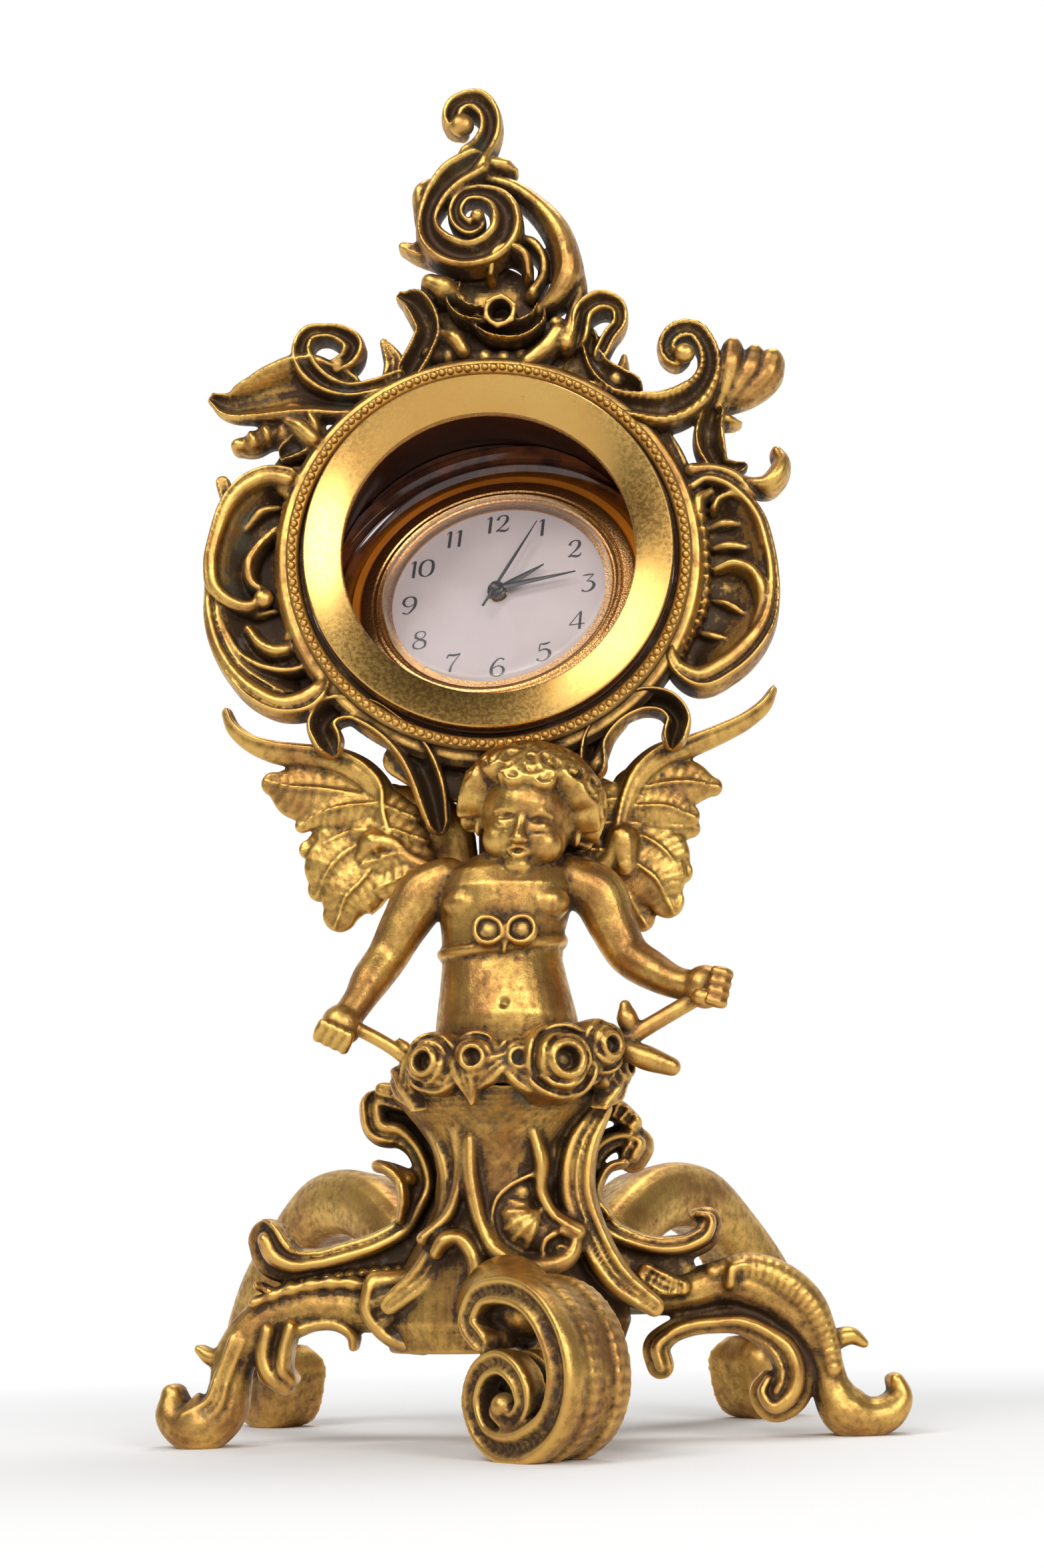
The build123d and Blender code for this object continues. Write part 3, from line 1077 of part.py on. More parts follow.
# Figure
def torso():
    sections = []
    for z, x, half_width, half_depth in torso_share:
        place = Pos(figure_x + x * figure_height, -figure_front, figure_waist + z * figure_height)
        sections.append(place * Ellipse(half_width * figure_height, half_depth * figure_height))
    return loft(sections)


def head():
    x, y, z, r = skull_share
    centre = on_figure([(x, y, z, r)])[0]
    pieces = [Pos(*centre[:3]) * Sphere(centre[3])]
    for rise, reach, size, count in curl_rows_share:
        for turn in range(count):
            angle = math.radians(turn * 360 / count)
            sway = -hair_tilt_share * math.sin(angle)
            curl_share = (x + reach * math.cos(angle), y + reach * math.sin(angle), z + rise + sway, size)
            curl = on_figure([curl_share])[0]
            pieces.append(Pos(*curl[:3]) * Sphere(curl[3]))
    return joined(pieces)


def branch(shares):
    return limb(on_figure(shares))


def figure_back():
    """Everything behind the flat on the figure's back."""
    return Pos(0, -back_flat, figure_waist) * Box(
        overrun, overrun, figure_height * 2, align=(Align.CENTER, Align.MIN, Align.CENTER))


def wing_screw_places():
    for shares in (left_wing_share[-1][-1], right_wing_share[-1][-1]):
        x = shares[0] * figure_height
        z = figure_waist + shares[1] * figure_height
        yield Pos(x, -wing_middle + wing_thickness / 2, z) * Rot(90, 0, 0)


def bracket_screw_places():
    for share in (1 / 4, 3 / 4):
        z = bracket_foot_low + bracket_foot_height * share
        yield Pos(bracket_x, -back_flat + bracket_thickness, z) * Rot(90, 0, 0)


wing_screw_size = (wing_screw_radius, wing_screw_length, wing_screw_head_radius, wing_screw_head_height)


def make_figure():
    body = joined([torso(), limb(on_figure(left_arm_share)), limb(on_figure(right_arm_share)),
                   limb(on_figure(neck_share))])
    body -= figure_back()
    body = body + head()
    body -= branch(left_branch_share)
    body -= branch(right_branch_share)
    behind_head = (left_s_share, right_s_share, right_s_inner_share)
    scrolls = joined([head_band(shares, *figure_room_layer_share) for shares in behind_head])
    ring_front = frame_ring_back + frame_ring_thickness + rim_height
    ring_room = disc(frame_ring_radius + seat_clearance, ring_front + seat_clearance, overrun)
    body -= Pos(0, 0, drum_axis_height) * forwards(scrolls + ring_room)
    body -= stud_place * Cylinder(stud_rod_radius + seat_clearance, 2 * stud_high)
    for place in list(wing_screw_places()) + list(bracket_screw_places()):
        body -= place * screw_hole(*wing_screw_size)
    return home * max(body.solids(), key=lambda solid: solid.volume)


def make_wing(shares):
    pieces = []
    for place, feather in enumerate(shares):
        lift = feather_step_share[place % len(feather_step_share)]
        pieces.append(band(feather, figure_height, wing_middle, wing_thickness, lift, feather_thick_share))
    wing = Pos(0, 0, figure_waist) * forwards(joined(pieces))
    wing -= Pos(0, -back_flat, figure_waist) * Box(
        overrun / 2, overrun, 3 * figure_height, align=(Align.CENTER, Align.MAX, Align.CENTER))
    for place in wing_screw_places():
        wing -= place * screw_hole(*wing_screw_size)
    return home * wing


def make_rose_collar():
    low = pedestal_height
    middle = (figure_x, -figure_front)
    ring = extrude(Ellipse(collar_long_radius, collar_short_radius), amount=collar_height)
    collar = Pos(*middle, low) * ring
    roses = [Pos(*place[:3]) * Sphere(place[3]) for place in on_figure(rose_share)]
    collar = joined([collar] + roses)
    inner = extrude(Ellipse(collar_hole_long_radius, collar_hole_short_radius), amount=2 * overrun)
    collar -= Pos(*middle, 0) * inner
    collar -= Box(2 * overrun, 2 * overrun, low, align=(Align.CENTER, Align.CENTER, Align.MIN))
    collar -= branch(left_branch_share)
    collar -= branch(right_branch_share)
    return home * max(collar.solids(), key=lambda solid: solid.volume)


def make_left_branch():
    return home * branch(left_branch_share)


def make_right_branch():
    stalk = branch(right_branch_share)
    leaf = branch(bulb_leaf_share)
    leaf -= Pos(figure_x, -figure_front, pedestal_height - collar_height) * extrude(
        Ellipse(collar_long_radius + seen_gap, collar_short_radius + seen_gap), amount=4 * collar_height)
    for place in on_figure(rose_share):
        leaf -= Pos(*place[:3]) * Sphere(place[3] + seen_gap)
    return home * (stalk + leaf)


# Bracket between the figure's back and the drum
post_back = 2 * bracket_thickness - back_flat
saddle_screw_place = Pos(bracket_x, (post_back + saddle_back) / 2, -drum_outer_radius - saddle_thickness)


def make_drum_bracket():
    saddle_middle = (saddle_back - saddle_front) / 2
    saddle_depth = saddle_front + saddle_back
    foot = Pos(bracket_x, -back_flat, bracket_foot_low) * Box(
        bracket_width, bracket_thickness, bracket_foot_height, align=(Align.CENTER, Align.MIN, Align.MIN))
    post_low = bracket_foot_low + bracket_foot_height / 2
    post_height = drum_axis_height - drum_outer_radius - post_low
    post = Pos(bracket_x, -back_flat + bracket_thickness, post_low) * Box(
        bracket_width, bracket_thickness, post_height, align=(Align.CENTER, Align.MIN, Align.MIN))
    saddle = Pos(bracket_x, saddle_middle, drum_axis_height - drum_outer_radius - saddle_thickness) * Box(
        saddle_width, saddle_depth, 2 * saddle_thickness, align=(Align.CENTER, Align.CENTER, Align.MIN))
    bracket = joined([foot, post, saddle])
    bracket -= Pos(0, 0, drum_axis_height) * forwards(disc(drum_outer_radius, overrun, 2 * overrun))
    for place in bracket_screw_places():
        bracket -= place * screw_hole(*wing_screw_size)
    bracket -= Pos(0, 0, drum_axis_height) * saddle_screw_place * screw_hole(
        saddle_screw_radius, saddle_screw_depth, saddle_screw_head_radius, saddle_screw_head_height)
    return home * max(bracket.solids(), key=lambda solid: solid.volume)


def make_saddle_screw():
    return drum_place * saddle_screw_place * screw(
        saddle_screw_radius, saddle_screw_depth, saddle_screw_head_radius, saddle_screw_head_height)


# Stand
def stand_band(shares, lift=0.0, thick=1.0, grooved=False):
    return forwards(band(shares, pedestal_height, -side_leg_back, side_leg_thickness, lift, thick, grooved))


def pedestal_core():
    sections = []
    for height, ahead, half_width, half_depth in pedestal_share:
        place = Pos(0, -ahead * pedestal_height, height * pedestal_height)
        sections.append(place * Ellipse(half_width * pedestal_height, half_depth * pedestal_height))
    return loft(sections)


def leg_room(side):
    """Where a side leg is, beyond its seat on the pedestal."""
    align = (Align.MIN if side > 0 else Align.MAX, Align.CENTER, Align.MIN)
    return Pos(side * leg_seat, 0, 0) * Box(overrun, 2 * overrun, leg_root_height, align=align)


def above_floor(shape):
    return shape - Box(4 * overrun, 4 * overrun, overrun, align=(Align.CENTER, Align.CENTER, Align.MAX))


def wall_distance(offset):
    """How far the cavity's wall is, on a line that passes its axis at offset."""
    return math.sqrt(cavity_radius ** 2 - offset ** 2)


def leg_screw_places():
    """Place and length of each screw that goes out from the cavity's wall into a leg."""
    z = leg_screw_height
    side_wall = wall_distance(side_screw_back + cavity_front)
    rear_wall = wall_distance(rear_screw_spread) - cavity_front
    front_wall = cavity_radius + cavity_front
    yield Pos(-side_wall, side_screw_back, z) * Rot(0, -90, 0), leg_seat - side_wall + leg_screw_grip
    yield Pos(side_wall, side_screw_back, z) * Rot(0, 90, 0), leg_seat - side_wall + leg_screw_grip
    yield Pos(0, -front_wall, z) * Rot(90, 0, 0), leg_seat - front_wall + leg_screw_grip
    for side in (-1, 1):
        place = Pos(side * rear_screw_spread, rear_wall, z) * Rot(-90, 0, 0)
        yield place, leg_seat - rear_wall + leg_screw_grip


def side_leg_bands(side):
    if side < 0:
        pieces = [stand_band(left_leg_share, *leg_layer_share, True),
                  stand_band(left_c_stand_share, *stand_scroll_layer_share, True),
                  stand_band(left_hook_share, *hook_layer_share),
                  stand_band(left_point_share, *point_layer_share),
                  stand_band(left_curl_a_share, *curl_a_layer_share),
                  stand_band(left_curl_b_share, *curl_b_layer_share)]
        pieces += [stand_band(shares, *fan_layer_share) for shares in left_fan_share]
        pieces.append(stand_band(left_stand_web_share, *stand_web_layer_share))
        return pieces
    return [stand_band(right_leg_share, *leg_layer_share, True),
            stand_band(right_c_stand_share, *stand_scroll_layer_share, True),
            stand_band(right_arch_share, *arch_layer_share, True),
            stand_band(right_tip_share, *point_layer_share),
            stand_band(right_stand_web_share, *stand_web_layer_share)]


def cut_leg_screws(shape):
    for place, length in leg_screw_places():
        shape -= place * screw_hole(leg_screw_radius, length, leg_screw_head_radius, leg_screw_head_height)
    return shape


def make_pedestal():
    bands = side_leg_bands(-1) + side_leg_bands(1)
    bands += [stand_band(left_top_leaf_share, *top_leaf_layer_share),
              stand_band(right_top_leaf_share, *top_leaf_layer_share),
              stand_band(left_curl_stand_share, *stand_curl_layer_share)]
    sides = joined(bands) - leg_room(-1) - leg_room(1)
    panel = forwards(band(panel_share, pedestal_height, panel_front, side_leg_thickness, *panel_layer_share))
    snail = forwards(band(panel_snail_share, pedestal_height, panel_front, side_leg_thickness,
                          *snail_layer_share))
    pedestal = joined([pedestal_core(), sides, panel, snail]) - leg_room(-1) - leg_room(1)
    lower = Box(4 * overrun, 2 * overrun, leg_root_height, align=(Align.CENTER, Align.MAX, Align.MIN))
    pedestal -= Pos(0, -leg_seat, 0) * lower
    pedestal -= Pos(0, leg_seat + 2 * overrun, 0) * lower
    pedestal -= Pos(0, 0, pedestal_height) * Box(
        4 * overrun, 4 * overrun, overrun, align=(Align.CENTER, Align.CENTER, Align.MIN))
    pedestal -= Box(4 * overrun, 4 * overrun, pedestal_bottom, align=(Align.CENTER, Align.CENTER, Align.MIN))
    pedestal -= Pos(0, -cavity_front, 0) * Cylinder(
        cavity_radius, cavity_height, align=(Align.CENTER, Align.CENTER, Align.MIN))
    pedestal -= stud_place * Cylinder(stud_rod_radius + seat_clearance, 2 * stud_high)
    return home * max(cut_leg_screws(pedestal).solids(), key=lambda solid: solid.volume)


def make_side_leg(side):
    leg = above_floor(joined(side_leg_bands(side)) & leg_room(side))
    return home * max(cut_leg_screws(leg).solids(), key=lambda solid: solid.volume)


def make_front_leg():
    scroll = band(front_leg_share, pedestal_height, 0, front_leg_thickness, *leg_layer_share, True)
    scroll = Pos(front_leg_x, -front_leg_front, 0) * Rot(0, 0, front_leg_bearing) * forwards(scroll)
    root_low = leg_screw_height - front_root_width / 2
    root = Pos(0, -leg_seat, root_low) * Box(
        front_root_width, front_root_length, front_root_width, align=(Align.CENTER, Align.MAX, Align.MIN))
    leg = above_floor(scroll + root)
    behind = Pos(0, -leg_seat, 0) * Box(
        4 * overrun, overrun, 4 * overrun, align=(Align.CENTER, Align.MIN, Align.CENTER))
    return home * max(cut_leg_screws(leg - behind).solids(), key=lambda solid: solid.volume)


def make_rear_leg(side):
    scroll = band(rear_leg_share, pedestal_height, 0, rear_leg_thickness, *leg_layer_share, True)
    scroll = forwards(scroll)
    place = Pos(side * rear_leg_x, rear_leg_back, 0) * Rot(0, 0, side * rear_leg_bearing)
    if side < 0:
        scroll = mirror(scroll, Plane.YZ)
    leg = above_floor(place * scroll)
    room = Pos(0, leg_seat, 0) * Box(overrun, overrun, 4 * overrun,
                                     align=(Align.MIN if side > 0 else Align.MAX, Align.MIN, Align.CENTER))
    leg = leg & room
    return home * max(cut_leg_screws(leg).solids(), key=lambda solid: solid.volume)


def make_leg_screws():
    return [home * place * screw(leg_screw_radius, length, leg_screw_head_radius, leg_screw_head_height)
            for place, length in leg_screw_places()]


def make_stud():
    rod = Cylinder(stud_rod_radius, stud_high - stud_low, align=(Align.CENTER, Align.CENTER, Align.MIN))
    return home * stud_place * Pos(0, 0, stud_low) * rod


def make_washer():
    body = Cylinder(washer_radius, washer_thickness, align=(Align.CENTER, Align.CENTER, Align.MIN))
    body -= Cylinder(stud_rod_radius + seat_clearance, overrun)
    return home * stud_place * Pos(0, 0, cavity_height - washer_thickness) * body


def make_nut():
    body = extrude(RegularPolygon(nut_across_flats / 2, 6, major_radius=False), amount=nut_height)
    body -= Cylinder(stud_rod_radius + seat_clearance, overrun)
    return home * stud_place * Pos(0, 0, cavity_height - washer_thickness - nut_height) * body


def make_wing_screws():
    return [home * place * screw(*wing_screw_size) for place in wing_screw_places()]


def make_bracket_screws():
    return [home * place * screw(*wing_screw_size) for place in bracket_screw_places()]


nodes = {
    "pedestal_casting": make_pedestal(),
    "left_leg": make_side_leg(-1),
    "right_leg": make_side_leg(1),
    "front_leg": make_front_leg(),
    "rear_left_leg": make_rear_leg(-1),
    "rear_right_leg": make_rear_leg(1),
    "leg_screws": make_leg_screws(),
    "centre_stud": make_stud(),
    "stud_washer": make_washer(),
    "stud_nut": make_nut(),
    "child_figure": make_figure(),
    "left_wing": make_wing(left_wing_share),
    "right_wing": make_wing(right_wing_share),
    "wing_screws": make_wing_screws(),
    "rose_collar": make_rose_collar(),
    "left_branch": make_left_branch(),
    "right_branch": make_right_branch(),
    "drum_bracket": make_drum_bracket(),
    "bracket_screws": make_bracket_screws(),
    "saddle_screw": make_saddle_screw(),
    "drum_case": make_drum_case(),
    "rear_cover": make_rear_cover(),
    "bezel_ring": make_bezel_ring(),
    "bead_rim": make_bead_rim(),
    "scroll_frame": make_scroll_frame(),
    "frame_screws": make_frame_screws(),
    "crest": make_crest(),
    "crest_screws": make_crest_screws(),
    "crest_flower": make_crest_flower(),
    "insert_seat": make_insert_seat(),
    "insert_bezel": make_insert_bezel(),
    "crystal": make_crystal(),
    "dial": make_dial(),
    "hour_hand": make_hour_hand(),
    "minute_hand": make_minute_hand(),
    "second_hand": make_second_hand(),
    "insert_case": make_insert_case(),
    "insert_back": make_insert_back(),
    "movement_holder": make_movement_holder(),
    "main_plate": make_main_plate(),
    "train_bridge": make_train_bridge(),
    "hour_wheel": make_hour_wheel(),
    "cannon_pinion": make_cannon_pinion(),
    "minute_wheel": make_minute_wheel(),
    "setting_wheel": make_setting_wheel(),
    "third_wheel": make_third_wheel(),
    "second_wheel": make_second_wheel(),
    "middle_wheel": make_middle_wheel(),
    "rotor": make_rotor(),
    "stator": make_stator(),
    "coil": make_coil(),
    "circuit_board": make_circuit_board(),
    "quartz_can": make_quartz_can(),
    "battery": make_battery(),
    "battery_clamp": make_battery_clamp(),
    "setting_stem": make_setting_stem(),
    "setting_lever": make_setting_lever(),
}

os.makedirs("parts", exist_ok=True)
for name, piece in nodes.items():
    if isinstance(piece, list):
        piece = Compound(children=[solid for group in piece for solid in group.solids()])
        nodes[name] = piece
    export_step(piece, f"parts/{name}.step")
whole = Compound(children=list(nodes.values())).bounding_box()
print("size", whole.size, "centre", whole.center())
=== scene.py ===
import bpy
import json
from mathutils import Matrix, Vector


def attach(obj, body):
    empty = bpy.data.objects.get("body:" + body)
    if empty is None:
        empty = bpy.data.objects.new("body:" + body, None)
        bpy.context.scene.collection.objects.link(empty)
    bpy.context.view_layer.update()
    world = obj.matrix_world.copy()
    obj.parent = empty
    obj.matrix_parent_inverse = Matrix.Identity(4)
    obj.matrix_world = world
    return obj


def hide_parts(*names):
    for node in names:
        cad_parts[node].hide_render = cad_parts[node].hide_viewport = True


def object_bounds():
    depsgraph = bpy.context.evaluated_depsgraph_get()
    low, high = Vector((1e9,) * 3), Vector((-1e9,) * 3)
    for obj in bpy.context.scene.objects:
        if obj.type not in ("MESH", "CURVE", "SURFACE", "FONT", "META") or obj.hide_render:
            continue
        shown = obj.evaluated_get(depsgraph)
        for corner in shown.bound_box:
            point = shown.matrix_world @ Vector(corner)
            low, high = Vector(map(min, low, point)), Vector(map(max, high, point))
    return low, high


bl_info = {
    "name": "Miniature clock",
    "version": (1, 0, 0),
    "blender": (4, 5, 0),
    "location": "3D View > Sidebar > Clock",
    "description": "Gilt figure clock with a scroll frame and a small quartz insert",
    "category": "Add Mesh",
}

import json
import math

import bpy
import numpy as np
from bpy.props import FloatProperty, FloatVectorProperty, IntProperty, PointerProperty
from mathutils import Matrix, Vector

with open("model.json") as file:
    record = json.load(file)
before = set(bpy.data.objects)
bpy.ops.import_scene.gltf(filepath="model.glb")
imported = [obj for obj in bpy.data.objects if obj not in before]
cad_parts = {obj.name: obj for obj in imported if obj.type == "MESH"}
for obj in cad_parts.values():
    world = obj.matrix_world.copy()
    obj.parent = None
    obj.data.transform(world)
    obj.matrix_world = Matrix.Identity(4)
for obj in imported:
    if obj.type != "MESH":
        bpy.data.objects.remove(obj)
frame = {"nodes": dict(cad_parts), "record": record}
cad_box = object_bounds()

# Places, in millimetres: the origin is the middle of the stand's footprint, +Z up, the clock faces -Y
stand_centre = Vector((1.94, 5.3, 0.0))
drum_height = 81.5
head_unit = 17.6
figure_unit = 28.0
figure_place = Vector((0.9, -7.0, 34.0))
head_place = (3.3, -8.4, 55.4)
bow_place = (1.0, -12.3, 44.6)
stand_unit = 31.0
side_leg_back = 2.4
panel_back = -8.6
bore_radius = 15.78
# Camera and lamps, in metres
photo_eye = Vector((0.005456, -0.209497, 0.013768))
lamp_aim = Vector((0, 0, 0.06))
# Insert: its place in millimetres and its three directions
insert_origin = Vector((-1.32, -6.9, 79.5))
insert_facing = Vector((-0.1585212, -0.9225391, 0.3518416))
insert_across = Vector((0.9873517, -0.1491078, 0.0538834))
insert_up = Vector((0.0027528, 0.3559331, 0.9345074))

# Cross sections of a cast band: across from -1 to 1, and height as a share of its rise
SECTIONS = {
    "channel": [(-1, 0), (-0.96, 0.5), (-0.86, 0.86), (-0.68, 1), (-0.46, 0.9), (-0.28, 0.66), (-0.12, 0.52),
                (0.12, 0.52), (0.28, 0.66), (0.46, 0.9), (0.68, 1), (0.86, 0.86), (0.96, 0.5), (1, 0)],
    "slope": [(-1, 0.05), (-0.7, 0.1), (-0.4, 0.2), (-0.1, 0.36), (0.2, 0.56), (0.5, 0.78), (0.8, 0.95),
              (0.95, 1), (1, 0.9)],
    "feather": [(-1, 0), (-0.94, 0.42), (-0.7, 0.62), (-0.4, 0.74), (-0.12, 0.8), (0, 1), (0.12, 0.8),
                (0.4, 0.74), (0.7, 0.62), (0.94, 0.42), (1, 0)],
    "gutter": [(-1, 0), (-0.97, 0.6), (-0.86, 0.95), (-0.72, 1), (-0.56, 0.75), (-0.36, 0.1), (-0.12, -0.1),
               (0.12, -0.1), (0.36, 0.1), (0.56, 0.75), (0.72, 1), (0.86, 0.95), (0.97, 0.6), (1, 0)],
    "round": [(-1, 0), (-0.92, 0.42), (-0.7, 0.74), (-0.38, 0.94), (0, 1), (0.38, 0.94), (0.7, 0.74),
              (0.92, 0.42), (1, 0)],
    "leaf": [(-1, 0), (-0.9, 0.5), (-0.7, 0.8), (-0.42, 0.78), (-0.16, 0.58), (0, 0.8), (0.16, 0.58),
             (0.42, 0.78), (0.7, 0.8), (0.9, 0.5), (1, 0)],
    "valley": [(-1, 0.2), (-0.94, 0.8), (-0.78, 1), (-0.56, 0.72), (-0.3, 0.3), (0, 0.15), (0.3, 0.3),
               (0.56, 0.72), (0.78, 1), (0.94, 0.8), (1, 0.2)],
    "step": [(-1, -0.1), (-0.85, 0.1), (-0.6, 0.2), (-0.35, 0.3), (-0.15, 0.42), (0.05, 0.36), (0.25, 0.45),
             (0.45, 0.8), (0.62, 1), (0.8, 0.94), (0.94, 0.6), (1, 0)],
    "flat": [(-1, 0.2), (-0.9, 0.8), (-0.5, 1), (0.5, 1), (0.9, 0.8), (1, 0.2)],
}

# Bands: each point is x, z and half width, as shares of the unit that the band follows
finial_share = [
    (-0.05, 2.37, 0.09), (0.01, 2.46, 0.07), (0.05, 2.56, 0.065), (0.04, 2.67, 0.065),
    (-0.02, 2.74, 0.07), (-0.09, 2.75, 0.06), (-0.15, 2.71, 0.06), (-0.16, 2.63, 0.055),
    (-0.11, 2.6, 0.035)]
finial_leaf_share = [(0.03, 2.36, 0.04), (0.1, 2.35, 0.04), (0.15, 2.34, 0.035), (0.18, 2.33, 0.02)]
spiral_share = [
    (-0.05, 2.33, 0.075), (-0.17, 2.25, 0.075), (-0.26, 2.15, 0.06), (-0.31, 2.02, 0.05),
    (-0.29, 1.89, 0.065), (-0.2, 1.79, 0.075), (-0.09, 1.76, 0.07), (0.04, 1.79, 0.075),
    (0.12, 1.88, 0.075), (0.13, 2.0, 0.07), (0.08, 2.1, 0.055), (-0.01, 2.15, 0.04), (-0.1, 2.14, 0.035),
    (-0.15, 2.06, 0.035), (-0.13, 1.97, 0.04), (-0.07, 1.93, 0.04), (-0.02, 1.97, 0.03),
    (-0.03, 2.03, 0.025)]
outer_leaf_share = [
    (-0.3, 2.26, 0.025), (-0.35, 2.21, 0.035), (-0.36, 2.1, 0.03), (-0.35, 2.0, 0.025),
    (-0.32, 1.92, 0.015)]
spike_leaf_share = [(-0.46, 1.89, 0.02), (-0.38, 1.85, 0.035), (-0.28, 1.81, 0.04), (-0.19, 1.76, 0.03)]
left_leaf_share = [
    (-0.47, 1.58, 0.025), (-0.41, 1.54, 0.055), (-0.35, 1.45, 0.065), (-0.32, 1.35, 0.06),
    (-0.36, 1.23, 0.06), (-0.42, 1.12, 0.06)]
rolled_leaf_share = [(-0.29, 1.62, 0.05), (-0.22, 1.58, 0.06), (-0.14, 1.53, 0.035)]
left_lobe_share = [(-0.23, 1.32, 0.035), (-0.18, 1.29, 0.05), (-0.13, 1.22, 0.045)]
crest_arc_share = [
    (0.0, 2.28, 0.03), (0.16, 2.21, 0.045), (0.3, 2.09, 0.055), (0.4, 1.95, 0.07), (0.46, 1.78, 0.075),
    (0.47, 1.65, 0.08), (0.41, 1.53, 0.065), (0.31, 1.46, 0.035)]
crest_tail_share = [
    (0.5, 1.75, 0.035), (0.53, 1.63, 0.035), (0.52, 1.5, 0.04), (0.49, 1.37, 0.045), (0.45, 1.25, 0.05)]
crest_inner_leaf_share = [
    (0.19, 1.89, 0.025), (0.27, 1.86, 0.03), (0.33, 1.77, 0.025), (0.33, 1.67, 0.025), (0.27, 1.56, 0.03)]
right_lobe_share = [(0.4, 1.3, 0.05), (0.34, 1.22, 0.05), (0.24, 1.14, 0.045)]
crest_web_share = [
    (-0.34, 1.24, 0.1), (-0.2, 1.4, 0.13), (-0.08, 1.62, 0.12), (0.08, 1.66, 0.12), (0.26, 1.42, 0.14),
    (0.4, 1.24, 0.1), (0.12, 1.24, 0.12), (-0.14, 1.24, 0.12)]
right_curl_share = [
    (0.52, 1.28, 0.045), (0.56, 1.43, 0.05), (0.65, 1.48, 0.05), (0.74, 1.45, 0.04), (0.75, 1.37, 0.035),
    (0.69, 1.28, 0.035), (0.64, 1.18, 0.035)]
right_curl_root_share = [
    (0.58, 1.3, 0.035), (0.59, 1.2, 0.04), (0.63, 1.1, 0.05), (0.69, 1.03, 0.06), (0.79, 0.97, 0.06)]
right_spike_share = [(0.77, 1.18, 0.015), (0.76, 1.11, 0.03), (0.72, 1.03, 0.045)]
left_horn_share = [
    (-1.52, 1.0, 0.035), (-1.44, 0.96, 0.08), (-1.31, 0.97, 0.125), (-1.16, 1.0, 0.165),
    (-1.0, 1.02, 0.185), (-0.84, 0.99, 0.15)]
left_volute_share = [
    (-0.48, 1.07, 0.035), (-0.62, 1.02, 0.035), (-0.77, 1.0, 0.035), (-0.9, 1.04, 0.045),
    (-0.99, 1.13, 0.05), (-1.02, 1.24, 0.045), (-0.98, 1.33, 0.04), (-0.88, 1.35, 0.035),
    (-0.79, 1.31, 0.045), (-0.73, 1.24, 0.05), (-0.76, 1.17, 0.045), (-0.82, 1.14, 0.035)]
left_shoulder_leaf_share = [
    (-0.57, 1.31, 0.02), (-0.54, 1.25, 0.035), (-0.51, 1.17, 0.05), (-0.52, 1.08, 0.05)]
left_bud_share = [(-1.09, 0.82, 0.04), (-1.03, 0.78, 0.05), (-0.96, 0.71, 0.05)]
left_bud_hood_share = [
    (-1.16, 0.86, 0.02), (-1.08, 0.92, 0.02), (-1.0, 0.88, 0.025), (-0.95, 0.8, 0.03), (-0.93, 0.7, 0.02)]
left_cup_share = [(-1.1, 0.67, 0.05), (-1.02, 0.71, 0.065), (-0.96, 0.78, 0.06)]
left_low_leaf_share = [
    (-1.38, 0.72, 0.04), (-1.31, 0.73, 0.06), (-1.22, 0.77, 0.06), (-1.13, 0.78, 0.06)]
left_back_leaf_share = [(-1.47, 0.51, 0.035), (-1.45, 0.44, 0.035), (-1.41, 0.36, 0.04)]
left_c_upper_share = [
    (-1.1, 0.48, 0.06), (-1.2, 0.5, 0.055), (-1.32, 0.45, 0.055), (-1.42, 0.34, 0.05),
    (-1.48, 0.18, 0.045), (-1.51, 0.01, 0.045), (-1.49, -0.12, 0.045), (-1.41, -0.2, 0.04),
    (-1.31, -0.23, 0.035), (-1.23, -0.19, 0.025)]
left_c_lower_share = [
    (-1.54, -0.1, 0.02), (-1.52, -0.29, 0.035), (-1.47, -0.46, 0.04), (-1.37, -0.62, 0.05),
    (-1.25, -0.73, 0.065), (-1.11, -0.79, 0.07), (-0.98, -0.76, 0.08), (-0.9, -0.67, 0.05),
    (-0.89, -0.6, 0.03)]
left_inner_leaf_share = [
    (-1.17, 0.21, 0.02), (-1.26, 0.11, 0.025), (-1.31, 0.0, 0.03), (-1.29, -0.1, 0.025),
    (-1.22, -0.14, 0.02)]
left_inner_hook_share = [
    (-1.31, -0.36, 0.03), (-1.24, -0.45, 0.035), (-1.16, -0.49, 0.04), (-1.09, -0.47, 0.035),
    (-1.08, -0.41, 0.02)]
left_rib_share = [
    (-1.05, 0.52, 0.05), (-1.11, 0.25, 0.04), (-1.13, 0.06, 0.045), (-1.11, -0.15, 0.06),
    (-1.04, -0.35, 0.06), (-0.95, -0.5, 0.06), (-0.86, -0.66, 0.06)]
left_web_share = [
    (-1.06, 0.66, 0.1), (-1.22, 0.38, 0.12), (-1.32, 0.1, 0.15), (-1.3, -0.2, 0.17), (-1.2, -0.48, 0.15),
    (-1.02, -0.62, 0.12)]
right_c_share = [
    (1.13, 0.38, 0.03), (1.2, 0.42, 0.03), (1.29, 0.4, 0.03), (1.38, 0.33, 0.03), (1.47, 0.2, 0.03),
    (1.51, 0.05, 0.03), (1.53, -0.12, 0.03), (1.52, -0.27, 0.035), (1.47, -0.42, 0.05),
    (1.38, -0.54, 0.065), (1.26, -0.64, 0.07), (1.11, -0.7, 0.07), (1.01, -0.64, 0.05),
    (0.98, -0.55, 0.04), (1.01, -0.49, 0.025)]
right_c_top_share = [(1.12, 0.47, 0.045), (1.23, 0.48, 0.035), (1.34, 0.44, 0.035), (1.44, 0.33, 0.025)]
